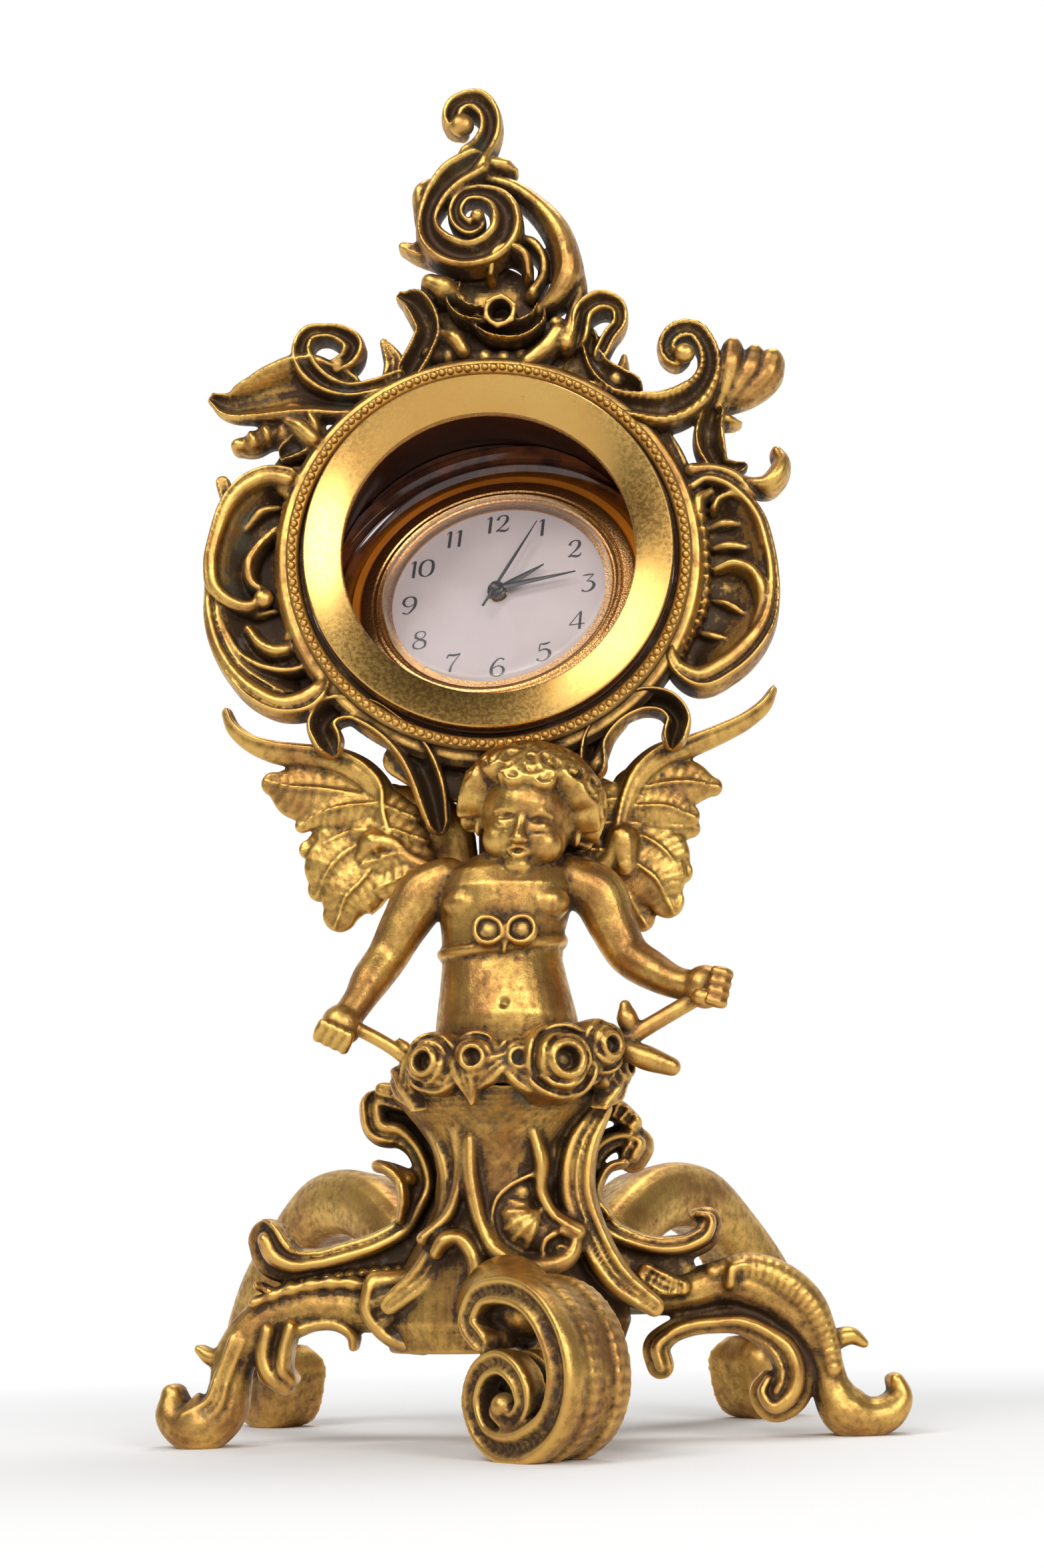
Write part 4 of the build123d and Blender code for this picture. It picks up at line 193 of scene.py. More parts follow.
right_c_second_share = [
    (1.23, 0.26, 0.02), (1.26, 0.31, 0.02), (1.33, 0.33, 0.02), (1.39, 0.29, 0.02), (1.45, 0.18, 0.02),
    (1.48, 0.04, 0.02)]
right_crescent_share = [
    (1.23, -0.08, 0.02), (1.32, -0.06, 0.03), (1.41, -0.1, 0.035), (1.46, -0.2, 0.04),
    (1.46, -0.31, 0.035), (1.42, -0.43, 0.035)]
right_scallop_share = [
    (1.15, 0.2, 0.035), (1.17, 0.06, 0.03), (1.17, -0.07, 0.03), (1.17, -0.2, 0.025),
    (1.15, -0.31, 0.025), (1.1, -0.41, 0.025), (1.04, -0.49, 0.025)]
right_web_share = [
    (1.1, 0.42, 0.1), (1.26, 0.26, 0.12), (1.34, 0.04, 0.14), (1.31, -0.2, 0.17), (1.22, -0.44, 0.16),
    (1.04, -0.56, 0.1)]
right_volute_share = [
    (0.57, 0.96, 0.05), (0.68, 0.89, 0.065), (0.82, 0.84, 0.075), (0.98, 0.82, 0.09), (1.11, 0.87, 0.085),
    (1.2, 0.97, 0.065), (1.24, 1.09, 0.055), (1.22, 1.21, 0.05), (1.16, 1.29, 0.05), (1.07, 1.29, 0.05),
    (1.01, 1.23, 0.045), (1.01, 1.16, 0.04), (1.06, 1.12, 0.035), (1.1, 1.15, 0.035)]
right_shoulder_web_share = [(0.52, 1.12, 0.1), (0.66, 0.98, 0.09), (0.82, 0.9, 0.08)]
shell_rib_share = [
    [(1.28, 0.87, 0.03), (1.33, 0.99, 0.05), (1.36, 1.1, 0.06), (1.37, 1.19, 0.05)],
    [(1.31, 0.87, 0.03), (1.4, 0.98, 0.05), (1.47, 1.08, 0.06), (1.49, 1.16, 0.045)],
    [(1.33, 0.88, 0.03), (1.46, 0.95, 0.055), (1.56, 1.05, 0.07), (1.58, 1.11, 0.065)]]
right_low_leaf_share = [
    (1.25, 0.82, 0.055), (1.22, 0.7, 0.075), (1.23, 0.58, 0.075), (1.29, 0.5, 0.05), (1.36, 0.5, 0.035),
    (1.41, 0.52, 0.02)]
right_low_spike_share = [(1.3, 0.78, 0.035), (1.36, 0.77, 0.025), (1.4, 0.77, 0.01)]
right_low_curl_share = [
    (1.33, 0.45, 0.03), (1.44, 0.4, 0.035), (1.53, 0.39, 0.05), (1.59, 0.45, 0.05), (1.61, 0.53, 0.04),
    (1.59, 0.58, 0.03)]
right_wedge_share = [(0.97, 0.73, 0.03), (1.02, 0.59, 0.05), (1.06, 0.45, 0.06)]
left_s_share = [
    (-0.88, -0.99, 0.045), (-0.91, -0.91, 0.045), (-0.86, -0.84, 0.045), (-0.77, -0.82, 0.04),
    (-0.65, -0.86, 0.045), (-0.54, -0.94, 0.045), (-0.43, -1.06, 0.05), (-0.36, -1.2, 0.05),
    (-0.32, -1.34, 0.045), (-0.3, -1.44, 0.035)]
right_s_share = [
    (0.97, -1.01, 0.035), (0.99, -0.93, 0.035), (0.94, -0.85, 0.035), (0.83, -0.82, 0.035),
    (0.72, -0.85, 0.035), (0.61, -0.93, 0.035), (0.54, -1.04, 0.035), (0.53, -1.16, 0.04)]
right_s_inner_share = [(0.7, -0.92, 0.02), (0.63, -1.0, 0.025), (0.58, -1.1, 0.03), (0.55, -1.17, 0.035)]
left_wing_share = [
    [(-0.92, 1.22, 0.02), (-0.9, 1.17, 0.025), (-0.85, 1.12, 0.03), (-0.76, 1.08, 0.04),
     (-0.65, 1.06, 0.045), (-0.54, 1.04, 0.05), (-0.45, 0.99, 0.055), (-0.39, 0.92, 0.05),
     (-0.38, 0.82, 0.05), (-0.36, 0.74, 0.05)],
    [(-0.76, 0.97, 0.025), (-0.7, 0.95, 0.055), (-0.61, 0.94, 0.065), (-0.49, 0.92, 0.065)],
    [(-0.66, 0.82, 0.015), (-0.61, 0.85, 0.025), (-0.53, 0.87, 0.04), (-0.42, 0.88, 0.04)],
    [(-0.64, 0.74, 0.02), (-0.59, 0.75, 0.045), (-0.52, 0.78, 0.055), (-0.42, 0.82, 0.05)],
    [(-0.6, 0.6, 0.025), (-0.58, 0.64, 0.05), (-0.53, 0.7, 0.06), (-0.44, 0.76, 0.05)],
    [(-0.53, 0.51, 0.035), (-0.51, 0.56, 0.055), (-0.46, 0.61, 0.06), (-0.4, 0.69, 0.05)],
    [(-0.45, 0.71, 0.03), (-0.42, 0.74, 0.055), (-0.36, 0.74, 0.045), (-0.3, 0.69, 0.04),
     (-0.22, 0.64, 0.045), (-0.17, 0.58, 0.05)]]
right_wing_share = [
    [(0.96, 1.25, 0.015), (0.93, 1.2, 0.025), (0.87, 1.15, 0.03), (0.77, 1.1, 0.035), (0.67, 1.06, 0.04),
     (0.56, 1.02, 0.05), (0.48, 0.95, 0.05), (0.44, 0.87, 0.05), (0.41, 0.76, 0.05)],
    [(0.74, 0.92, 0.02), (0.68, 0.93, 0.045), (0.61, 0.93, 0.055), (0.48, 0.91, 0.05)],
    [(0.65, 0.82, 0.025), (0.6, 0.84, 0.045), (0.46, 0.85, 0.045)],
    [(0.66, 0.78, 0.02), (0.6, 0.78, 0.035), (0.46, 0.8, 0.035)],
    [(0.62, 0.63, 0.025), (0.59, 0.67, 0.045), (0.54, 0.72, 0.05), (0.45, 0.77, 0.04)],
    [(0.57, 0.53, 0.035), (0.54, 0.59, 0.065), (0.46, 0.66, 0.065)],
    [(0.48, 0.48, 0.03), (0.45, 0.53, 0.065), (0.41, 0.6, 0.06)],
    [(0.43, 0.66, 0.055), (0.42, 0.74, 0.065), (0.38, 0.67, 0.05), (0.32, 0.62, 0.045), (0.25, 0.57, 0.05)]]
left_c_stand_share = [
    (-0.37, 0.97, 0.045), (-0.36, 0.92, 0.045), (-0.3, 0.9, 0.04), (-0.26, 0.86, 0.03),
    (-0.23, 0.8, 0.03), (-0.22, 0.74, 0.03), (-0.25, 0.67, 0.035), (-0.29, 0.61, 0.035),
    (-0.36, 0.57, 0.035), (-0.46, 0.54, 0.035), (-0.56, 0.52, 0.035), (-0.63, 0.52, 0.045),
    (-0.68, 0.55, 0.055), (-0.7, 0.59, 0.05)]
right_c_stand_share = [
    (0.39, 0.81, 0.035), (0.41, 0.85, 0.035), (0.37, 0.87, 0.03), (0.3, 0.85, 0.03), (0.26, 0.8, 0.03),
    (0.24, 0.74, 0.03), (0.26, 0.66, 0.035), (0.3, 0.6, 0.035), (0.38, 0.56, 0.03), (0.47, 0.54, 0.03),
    (0.55, 0.55, 0.03), (0.6, 0.58, 0.03), (0.61, 0.63, 0.025), (0.57, 0.64, 0.015)]
left_top_leaf_share = [(-0.35, 1.0, 0.03), (-0.26, 0.97, 0.03), (-0.18, 0.94, 0.05)]
right_top_leaf_share = [(0.18, 0.94, 0.05), (0.27, 0.95, 0.035), (0.34, 0.95, 0.035), (0.39, 0.91, 0.03)]
left_curl_stand_share = [(-0.37, 0.8, 0.02), (-0.33, 0.79, 0.02), (-0.28, 0.76, 0.03)]
left_stand_web_share = [
    (-0.14, 0.84, 0.1), (-0.12, 0.7, 0.12), (-0.2, 0.58, 0.12), (-0.38, 0.46, 0.1), (-0.56, 0.44, 0.09)]
right_stand_web_share = [
    (0.14, 0.84, 0.1), (0.12, 0.7, 0.12), (0.2, 0.58, 0.12), (0.38, 0.47, 0.09), (0.5, 0.47, 0.07)]
panel_share = [
    (-0.08, 0.85, 0.02), (-0.08, 0.76, 0.02), (-0.07, 0.69, 0.02), (-0.05, 0.61, 0.02),
    (-0.01, 0.54, 0.025), (0.06, 0.5, 0.025), (0.14, 0.5, 0.025), (0.2, 0.53, 0.02), (0.21, 0.57, 0.015),
    (0.18, 0.59, 0.015)]
panel_snail_share = [(0.06, 0.7, 0.025), (0.05, 0.65, 0.045), (0.08, 0.6, 0.055), (0.12, 0.58, 0.04)]
left_leg_share = [
    (-0.12, 0.39, 0.05), (-0.28, 0.39, 0.065), (-0.4, 0.39, 0.065), (-0.5, 0.4, 0.065),
    (-0.6, 0.4, 0.065), (-0.69, 0.37, 0.065), (-0.76, 0.31, 0.065), (-0.81, 0.24, 0.055),
    (-0.82, 0.17, 0.055), (-0.84, 0.1, 0.065), (-0.91, 0.07, 0.08), (-0.98, 0.1, 0.055),
    (-0.99, 0.15, 0.03)]
left_point_share = [(-0.91, 0.28, 0.015), (-0.88, 0.26, 0.025), (-0.84, 0.25, 0.035)]
left_curl_a_share = [(-0.7, 0.33, 0.03), (-0.71, 0.25, 0.03), (-0.69, 0.2, 0.03), (-0.65, 0.17, 0.025)]
left_curl_b_share = [
    (-0.63, 0.34, 0.025), (-0.65, 0.27, 0.025), (-0.65, 0.21, 0.025), (-0.63, 0.19, 0.02)]
left_hook_share = [
    (-0.62, 0.33, 0.025), (-0.56, 0.345, 0.02), (-0.49, 0.34, 0.02), (-0.45, 0.31, 0.02),
    (-0.45, 0.28, 0.015)]
right_leg_share = [
    (0.2, 0.42, 0.05), (0.34, 0.42, 0.05), (0.45, 0.41, 0.06), (0.55, 0.42, 0.065), (0.64, 0.44, 0.065),
    (0.72, 0.43, 0.075), (0.79, 0.4, 0.075), (0.85, 0.35, 0.075), (0.9, 0.28, 0.065), (0.93, 0.21, 0.055),
    (0.95, 0.13, 0.06), (0.99, 0.07, 0.075), (1.06, 0.05, 0.06), (1.12, 0.07, 0.05), (1.15, 0.11, 0.035),
    (1.14, 0.15, 0.025)]
right_arch_share = [
    (0.45, 0.21, 0.03), (0.44, 0.26, 0.03), (0.48, 0.3, 0.025), (0.53, 0.32, 0.025), (0.61, 0.33, 0.025),
    (0.69, 0.33, 0.03), (0.76, 0.3, 0.035), (0.82, 0.25, 0.045), (0.84, 0.18, 0.045), (0.82, 0.12, 0.045),
    (0.77, 0.09, 0.035), (0.74, 0.13, 0.025), (0.76, 0.17, 0.015)]
right_tip_share = [(0.94, 0.26, 0.03), (1.02, 0.28, 0.025), (1.05, 0.26, 0.015)]
front_leg_share = [
    (-0.13, 0.31, 0.035), (-0.17, 0.35, 0.035), (-0.14, 0.41, 0.035), (-0.03, 0.435, 0.04),
    (0.08, 0.405, 0.045), (0.165, 0.315, 0.05), (0.19, 0.205, 0.05), (0.155, 0.11, 0.05),
    (0.07, 0.05, 0.052), (-0.04, 0.035, 0.045), (-0.125, 0.07, 0.035), (-0.16, 0.15, 0.035),
    (-0.125, 0.225, 0.035), (-0.045, 0.25, 0.035), (0.02, 0.21, 0.035), (0.035, 0.14, 0.03),
    (-0.01, 0.1, 0.03), (-0.055, 0.13, 0.035)]
rear_leg_share = [
    (0.0, 0.42, 0.12), (0.065, 0.45, 0.13), (0.26, 0.61, 0.145), (0.45, 0.71, 0.145),
    (0.645, 0.71, 0.145), (0.84, 0.6, 0.13), (1.0, 0.42, 0.13), (1.1, 0.24, 0.115), (1.065, 0.115, 0.1),
    (0.95, 0.08, 0.09), (0.9, 0.19, 0.08)]

# Figure: x, y, z and radius, as shares of figure_unit from the middle of the waist
left_branch_share = [(-0.5, -0.125, 0.1, 0.023), (-0.375, -0.13, 0.03, 0.023), (-0.29, -0.12, -0.035, 0.023)]
right_branch_share = [(0.625, -0.145, 0.165, 0.027), (0.48, -0.15, 0.085, 0.027), (0.33, -0.14, 0.0, 0.03)]
bulb_leaf_share = [(0.36, -0.15, 0.005, 0.03), (0.44, -0.155, -0.03, 0.04), (0.52, -0.15, -0.06, 0.03)]
rose_share = [
    (0.155, -0.24, -0.05, 0.1), (-0.085, -0.25, -0.035, 0.07), (0.285, -0.2, 0.0, 0.07),
    (-0.21, -0.2, -0.04, 0.08), (0.04, -0.26, -0.04, 0.06), (-0.27, -0.1, -0.05, 0.06),
    (0.33, -0.06, -0.05, 0.06)]

# Basins, webs and folds inside the side scrolls
flower_share = (0.14, 1.46, 0.0)
left_basin_share = [
    (-1.2, 0.42, 0.08), (-1.32, 0.28, 0.1), (-1.38, 0.1, 0.11), (-1.39, -0.1, 0.11), (-1.37, -0.3, 0.11),
    (-1.28, -0.5, 0.1), (-1.12, -0.63, 0.09)]
right_basin_share = [
    (1.28, 0.32, 0.08), (1.36, 0.2, 0.11), (1.4, 0.02, 0.12), (1.4, -0.2, 0.12), (1.32, -0.4, 0.12),
    (1.18, -0.54, 0.1)]
low_web_share = [(-0.5, -1.08, 0.1), (-0.3, -1.2, 0.1), (0.0, -1.24, 0.09), (0.3, -1.2, 0.1),
                 (0.46, -1.1, 0.1)]
left_hump_share = [
    [(-1.16, 0.36, 0.03), (-1.24, 0.34, 0.05), (-1.34, 0.24, 0.04)],
    [(-1.18, -0.24, 0.03), (-1.28, -0.26, 0.04), (-1.38, -0.22, 0.03)],
    [(-1.0, -0.5, 0.04), (-1.1, -0.56, 0.04), (-1.24, -0.56, 0.03)]]
right_hump_share = [
    [(1.2, 0.17, 0.03), (1.29, 0.19, 0.055), (1.38, 0.18, 0.04)],
    [(1.2, 0.05, 0.03), (1.31, 0.06, 0.06), (1.42, 0.04, 0.05)],
    [(1.2, -0.24, 0.02), (1.28, -0.27, 0.045), (1.37, -0.33, 0.04)],
    [(1.12, -0.42, 0.03), (1.2, -0.45, 0.05), (1.3, -0.48, 0.04)]]

# Ridges, lips and curls that lie on the bands above
left_c_ridge_share = [
    (-1.5, -0.16, 0.015), (-1.44, -0.35, 0.02), (-1.35, -0.5, 0.02), (-1.22, -0.58, 0.025),
    (-1.08, -0.6, 0.025), (-0.98, -0.57, 0.02)]
right_rib_share = [
    (1.1, 0.37, 0.035), (1.12, 0.18, 0.045), (1.12, -0.05, 0.05), (1.1, -0.26, 0.05),
    (1.05, -0.44, 0.045), (0.98, -0.61, 0.035)]
right_top_curl_share = [(1.14, 0.23, 0.035), (1.15, 0.31, 0.035), (1.21, 0.35, 0.025)]
crest_hood_share = [
    (0.04, 1.66, 0.03), (0.06, 1.75, 0.04), (0.14, 1.8, 0.04), (0.23, 1.75, 0.04), (0.25, 1.65, 0.03)]
crest_cup_share = [(-0.16, 1.62, 0.03), (-0.18, 1.52, 0.04), (-0.12, 1.43, 0.05), (-0.02, 1.4, 0.05)]
crest_lip_share = [
    (-0.05, 1.38, 0.04), (0.06, 1.31, 0.06), (0.18, 1.3, 0.06), (0.29, 1.38, 0.05), (0.31, 1.47, 0.03)]
crest_low_share = [(-0.3, 1.22, 0.06), (-0.12, 1.2, 0.06), (0.1, 1.19, 0.05), (0.3, 1.2, 0.05)]
ped_left_c_lip_share = [
    (-0.31, 0.5, 0.015), (-0.43, 0.49, 0.015), (-0.52, 0.48, 0.015), (-0.62, 0.46, 0.015),
    (-0.68, 0.44, 0.015), (-0.73, 0.46, 0.015)]
ped_left_curl_share = [
    (-0.37, 0.8, 0.015), (-0.34, 0.79, 0.02), (-0.3, 0.75, 0.02), (-0.29, 0.69, 0.02), (-0.3, 0.64, 0.015)]
ped_left_ridge_share = [
    (-0.12, 0.88, 0.025), (-0.11, 0.79, 0.02), (-0.12, 0.71, 0.02), (-0.15, 0.64, 0.02),
    (-0.22, 0.58, 0.02)]
ped_panel_inner_share = [
    (0.09, 0.75, 0.01), (0.03, 0.72, 0.01), (-0.01, 0.68, 0.01), (-0.02, 0.62, 0.01), (0.0, 0.56, 0.015),
    (0.06, 0.52, 0.015)]
ped_centre_ridge_share = [
    (0.1, 0.87, 0.025), (0.12, 0.79, 0.025), (0.12, 0.7, 0.02), (0.15, 0.64, 0.02), (0.22, 0.59, 0.025)]
ped_right_lip_share = [
    (0.36, 0.79, 0.015), (0.32, 0.78, 0.015), (0.29, 0.74, 0.015), (0.28, 0.69, 0.015),
    (0.31, 0.64, 0.015)]
ped_top_left_leaf_share = [
    (-0.35, 1.02, 0.025), (-0.3, 1.01, 0.03), (-0.22, 0.99, 0.035), (-0.12, 0.98, 0.035)]
ped_lower_curl_share = [
    (-0.18, 0.54, 0.02), (-0.16, 0.57, 0.025), (-0.12, 0.58, 0.025), (-0.08, 0.54, 0.025),
    (-0.07, 0.47, 0.025), (-0.09, 0.43, 0.015)]
leg_right_crest_curl_share = [(0.66, 0.44, 0.025), (0.67, 0.48, 0.025), (0.72, 0.49, 0.02),
                              (0.76, 0.48, 0.015)]
leg_right_foliage_share = [(0.42, 0.47, 0.035), (0.47, 0.44, 0.04), (0.52, 0.43, 0.025)]

# Leaves down the pedestal's front
acanthus_share = [
    [(-0.22, 0.96, 0.03), (-0.15, 0.85, 0.05), (-0.12, 0.72, 0.055), (-0.15, 0.6, 0.05),
     (-0.22, 0.48, 0.045), (-0.32, 0.4, 0.03)],
    [(-0.09, 0.93, 0.03), (-0.04, 0.83, 0.05), (-0.03, 0.72, 0.05), (-0.06, 0.61, 0.03)],
    [(0.3, 0.94, 0.03), (0.24, 0.84, 0.05), (0.22, 0.71, 0.055), (0.26, 0.58, 0.05), (0.33, 0.46, 0.045),
     (0.43, 0.38, 0.03)],
    [(0.15, 0.93, 0.03), (0.13, 0.83, 0.045), (0.12, 0.73, 0.04)],
    [(-0.17, 0.97, 0.02), (-0.09, 0.9, 0.04), (0.03, 0.9, 0.035), (0.1, 0.95, 0.02)],
    [(0.04, 0.95, 0.03), (0.05, 0.86, 0.045), (0.03, 0.77, 0.035)],
    [(-0.12, 0.5, 0.03), (-0.12, 0.41, 0.05), (-0.16, 0.31, 0.04)]]

# Numerals: strokes of x, y and half width, as shares of the numeral's height
DIGITS = {
    "0": [[(0.36, 1.0, 0.03), (0.14, 0.88, 0.07), (0.05, 0.5, 0.09), (0.14, 0.12, 0.07), (0.36, 0.0, 0.03),
           (0.58, 0.12, 0.07), (0.67, 0.5, 0.09), (0.58, 0.88, 0.07), (0.36, 1.0, 0.03)]],
    "1": [[(0.24, 1.0, 0.085), (0.24, 0.5, 0.085), (0.24, 0.0, 0.085)],
          [(0.06, 0.86, 0.02), (0.2, 0.98, 0.04)]],
    "2": [[(0.1, 0.74, 0.09), (0.16, 0.92, 0.05), (0.34, 1.0, 0.035), (0.54, 0.9, 0.07), (0.56, 0.7, 0.09),
           (0.42, 0.42, 0.05), (0.2, 0.18, 0.03), (0.08, 0.05, 0.035)],
          [(0.08, 0.05, 0.035), (0.22, 0.1, 0.06), (0.44, 0.04, 0.08), (0.62, 0.08, 0.05),
           (0.68, 0.22, 0.02)]],
    "3": [[(0.08, 0.96, 0.02), (0.34, 0.97, 0.05), (0.6, 0.96, 0.03)],
          [(0.6, 0.96, 0.03), (0.44, 0.76, 0.025), (0.3, 0.6, 0.02)],
          [(0.3, 0.6, 0.02), (0.52, 0.56, 0.05), (0.66, 0.34, 0.09), (0.54, 0.08, 0.07), (0.28, 0.0, 0.035),
           (0.1, 0.1, 0.07)]],
    "4": [[(0.52, 0.0, 0.07), (0.52, 0.5, 0.07), (0.52, 1.0, 0.06)],
          [(0.5, 0.98, 0.03), (0.26, 0.62, 0.025), (0.04, 0.28, 0.03)],
          [(0.04, 0.28, 0.03), (0.74, 0.28, 0.03)]],
    "5": [[(0.16, 0.96, 0.02), (0.36, 0.93, 0.06), (0.62, 1.0, 0.03)],
          [(0.16, 0.96, 0.03), (0.14, 0.56, 0.03)],
          [(0.14, 0.56, 0.02), (0.38, 0.64, 0.045), (0.62, 0.5, 0.08), (0.64, 0.24, 0.09), (0.46, 0.03, 0.05),
           (0.22, 0.0, 0.035), (0.08, 0.12, 0.07)]],
    "6": [[(0.62, 0.9, 0.05), (0.42, 1.0, 0.035), (0.18, 0.8, 0.06), (0.06, 0.42, 0.09), (0.14, 0.1, 0.07),
           (0.36, 0.0, 0.03), (0.58, 0.1, 0.07), (0.64, 0.32, 0.08), (0.52, 0.52, 0.05), (0.34, 0.58, 0.03),
           (0.14, 0.48, 0.03)]],
    "7": [[(0.06, 0.78, 0.03), (0.14, 0.96, 0.06), (0.38, 0.92, 0.07), (0.68, 0.98, 0.03)],
          [(0.68, 0.98, 0.03), (0.46, 0.6, 0.03), (0.32, 0.3, 0.05), (0.28, 0.0, 0.08)]],
    "8": [[(0.36, 1.0, 0.03), (0.14, 0.9, 0.05), (0.14, 0.68, 0.08), (0.36, 0.53, 0.07), (0.6, 0.38, 0.08),
           (0.62, 0.12, 0.06), (0.36, 0.0, 0.03), (0.1, 0.12, 0.06), (0.1, 0.36, 0.04), (0.34, 0.52, 0.025),
           (0.56, 0.7, 0.035), (0.56, 0.9, 0.04), (0.36, 1.0, 0.03)]],
    "9": [[(0.1, 0.1, 0.05), (0.3, 0.0, 0.035), (0.54, 0.2, 0.06), (0.66, 0.58, 0.09), (0.58, 0.9, 0.07),
           (0.36, 1.0, 0.03), (0.14, 0.9, 0.07), (0.08, 0.68, 0.08), (0.2, 0.48, 0.05), (0.38, 0.42, 0.03),
           (0.58, 0.52, 0.03)]],
}


# Planes that pieces are drawn on: x across, y up, z towards the reader
upright = Matrix(((1, 0, 0, 0), (0, 0, -1, 0), (0, 1, 0, 0), (0, 0, 0, 1)))


def bench(x=0.0, y=0.0, z=0.0, turn=0.0, mirrored=False):
    flip = Matrix.Scale(-1, 4, (1, 0, 0)) if mirrored else Matrix()
    place = Matrix.Translation(Vector((x, y, z)) - stand_centre)
    return place @ Matrix.Rotation(math.radians(turn), 4, "Z") @ flip @ upright


head_bench = bench(z=drum_height)
figure_bench = bench(z=figure_place.z)
side_bench = bench(y=side_leg_back)
room = Matrix.Translation(-stand_centre)
insert_bench = Matrix((
    (insert_across.x, insert_up.x, insert_facing.x, insert_origin.x),
    (insert_across.y, insert_up.y, insert_facing.y, insert_origin.y),
    (insert_across.z, insert_up.z, insert_facing.z, insert_origin.z), (0, 0, 0, 1)))


def scaled(shares, unit):
    return [(x * unit, y * unit, r * unit) for x, y, r in shares]


def around(sides):
    """Evenly spaced angles of a full turn"""
    return np.linspace(0, 2 * math.pi, sides, endpoint=False)


def turned(profile, sides):
    """Ring of points for each radius and height of a profile"""
    return [[(r * math.cos(a), r * math.sin(a), h) for a in around(sides)] for r, h in profile]


def smooth_line(points, step):
    """Evenly close points on a smooth line through the given ones, each with its direction along the line."""
    points = [np.array(p, float) for p in points]
    dims = min(3, len(points[0])) if len(points[0]) == 4 else 2
    gaps = [max(float(np.linalg.norm(b[:dims] - a[:dims])), 1e-6) for a, b in zip(points, points[1:])]
    slopes = []
    for i in range(len(points)):
        if i == 0:
            slopes.append((points[1] - points[0]) / gaps[0])
        elif i == len(points) - 1:
            slopes.append((points[-1] - points[-2]) / gaps[-1])
        else:
            before = (points[i] - points[i - 1]) / gaps[i - 1]
            after = (points[i + 1] - points[i]) / gaps[i]
            share = gaps[i] / (gaps[i] + gaps[i - 1])
            slopes.append(before * share + after * (1 - share))
    line = []
    for i, gap in enumerate(gaps):
        count = max(2, int(math.ceil(gap / step)))
        for k in range(count + (i == len(gaps) - 1)):
            t = k / count
            a, b = 2 * t ** 3 - 3 * t ** 2 + 1, -2 * t ** 3 + 3 * t ** 2
            c, d = t ** 3 - 2 * t ** 2 + t, t ** 3 - t ** 2
            line.append(a * points[i] + b * points[i + 1] + gap * (c * slopes[i] + d * slopes[i + 1]))
    line = np.array(line)
    run = np.gradient(line[:, :dims], axis=0)
    run /= np.maximum(np.linalg.norm(run, axis=1, keepdims=True), 1e-9)
    return line, run


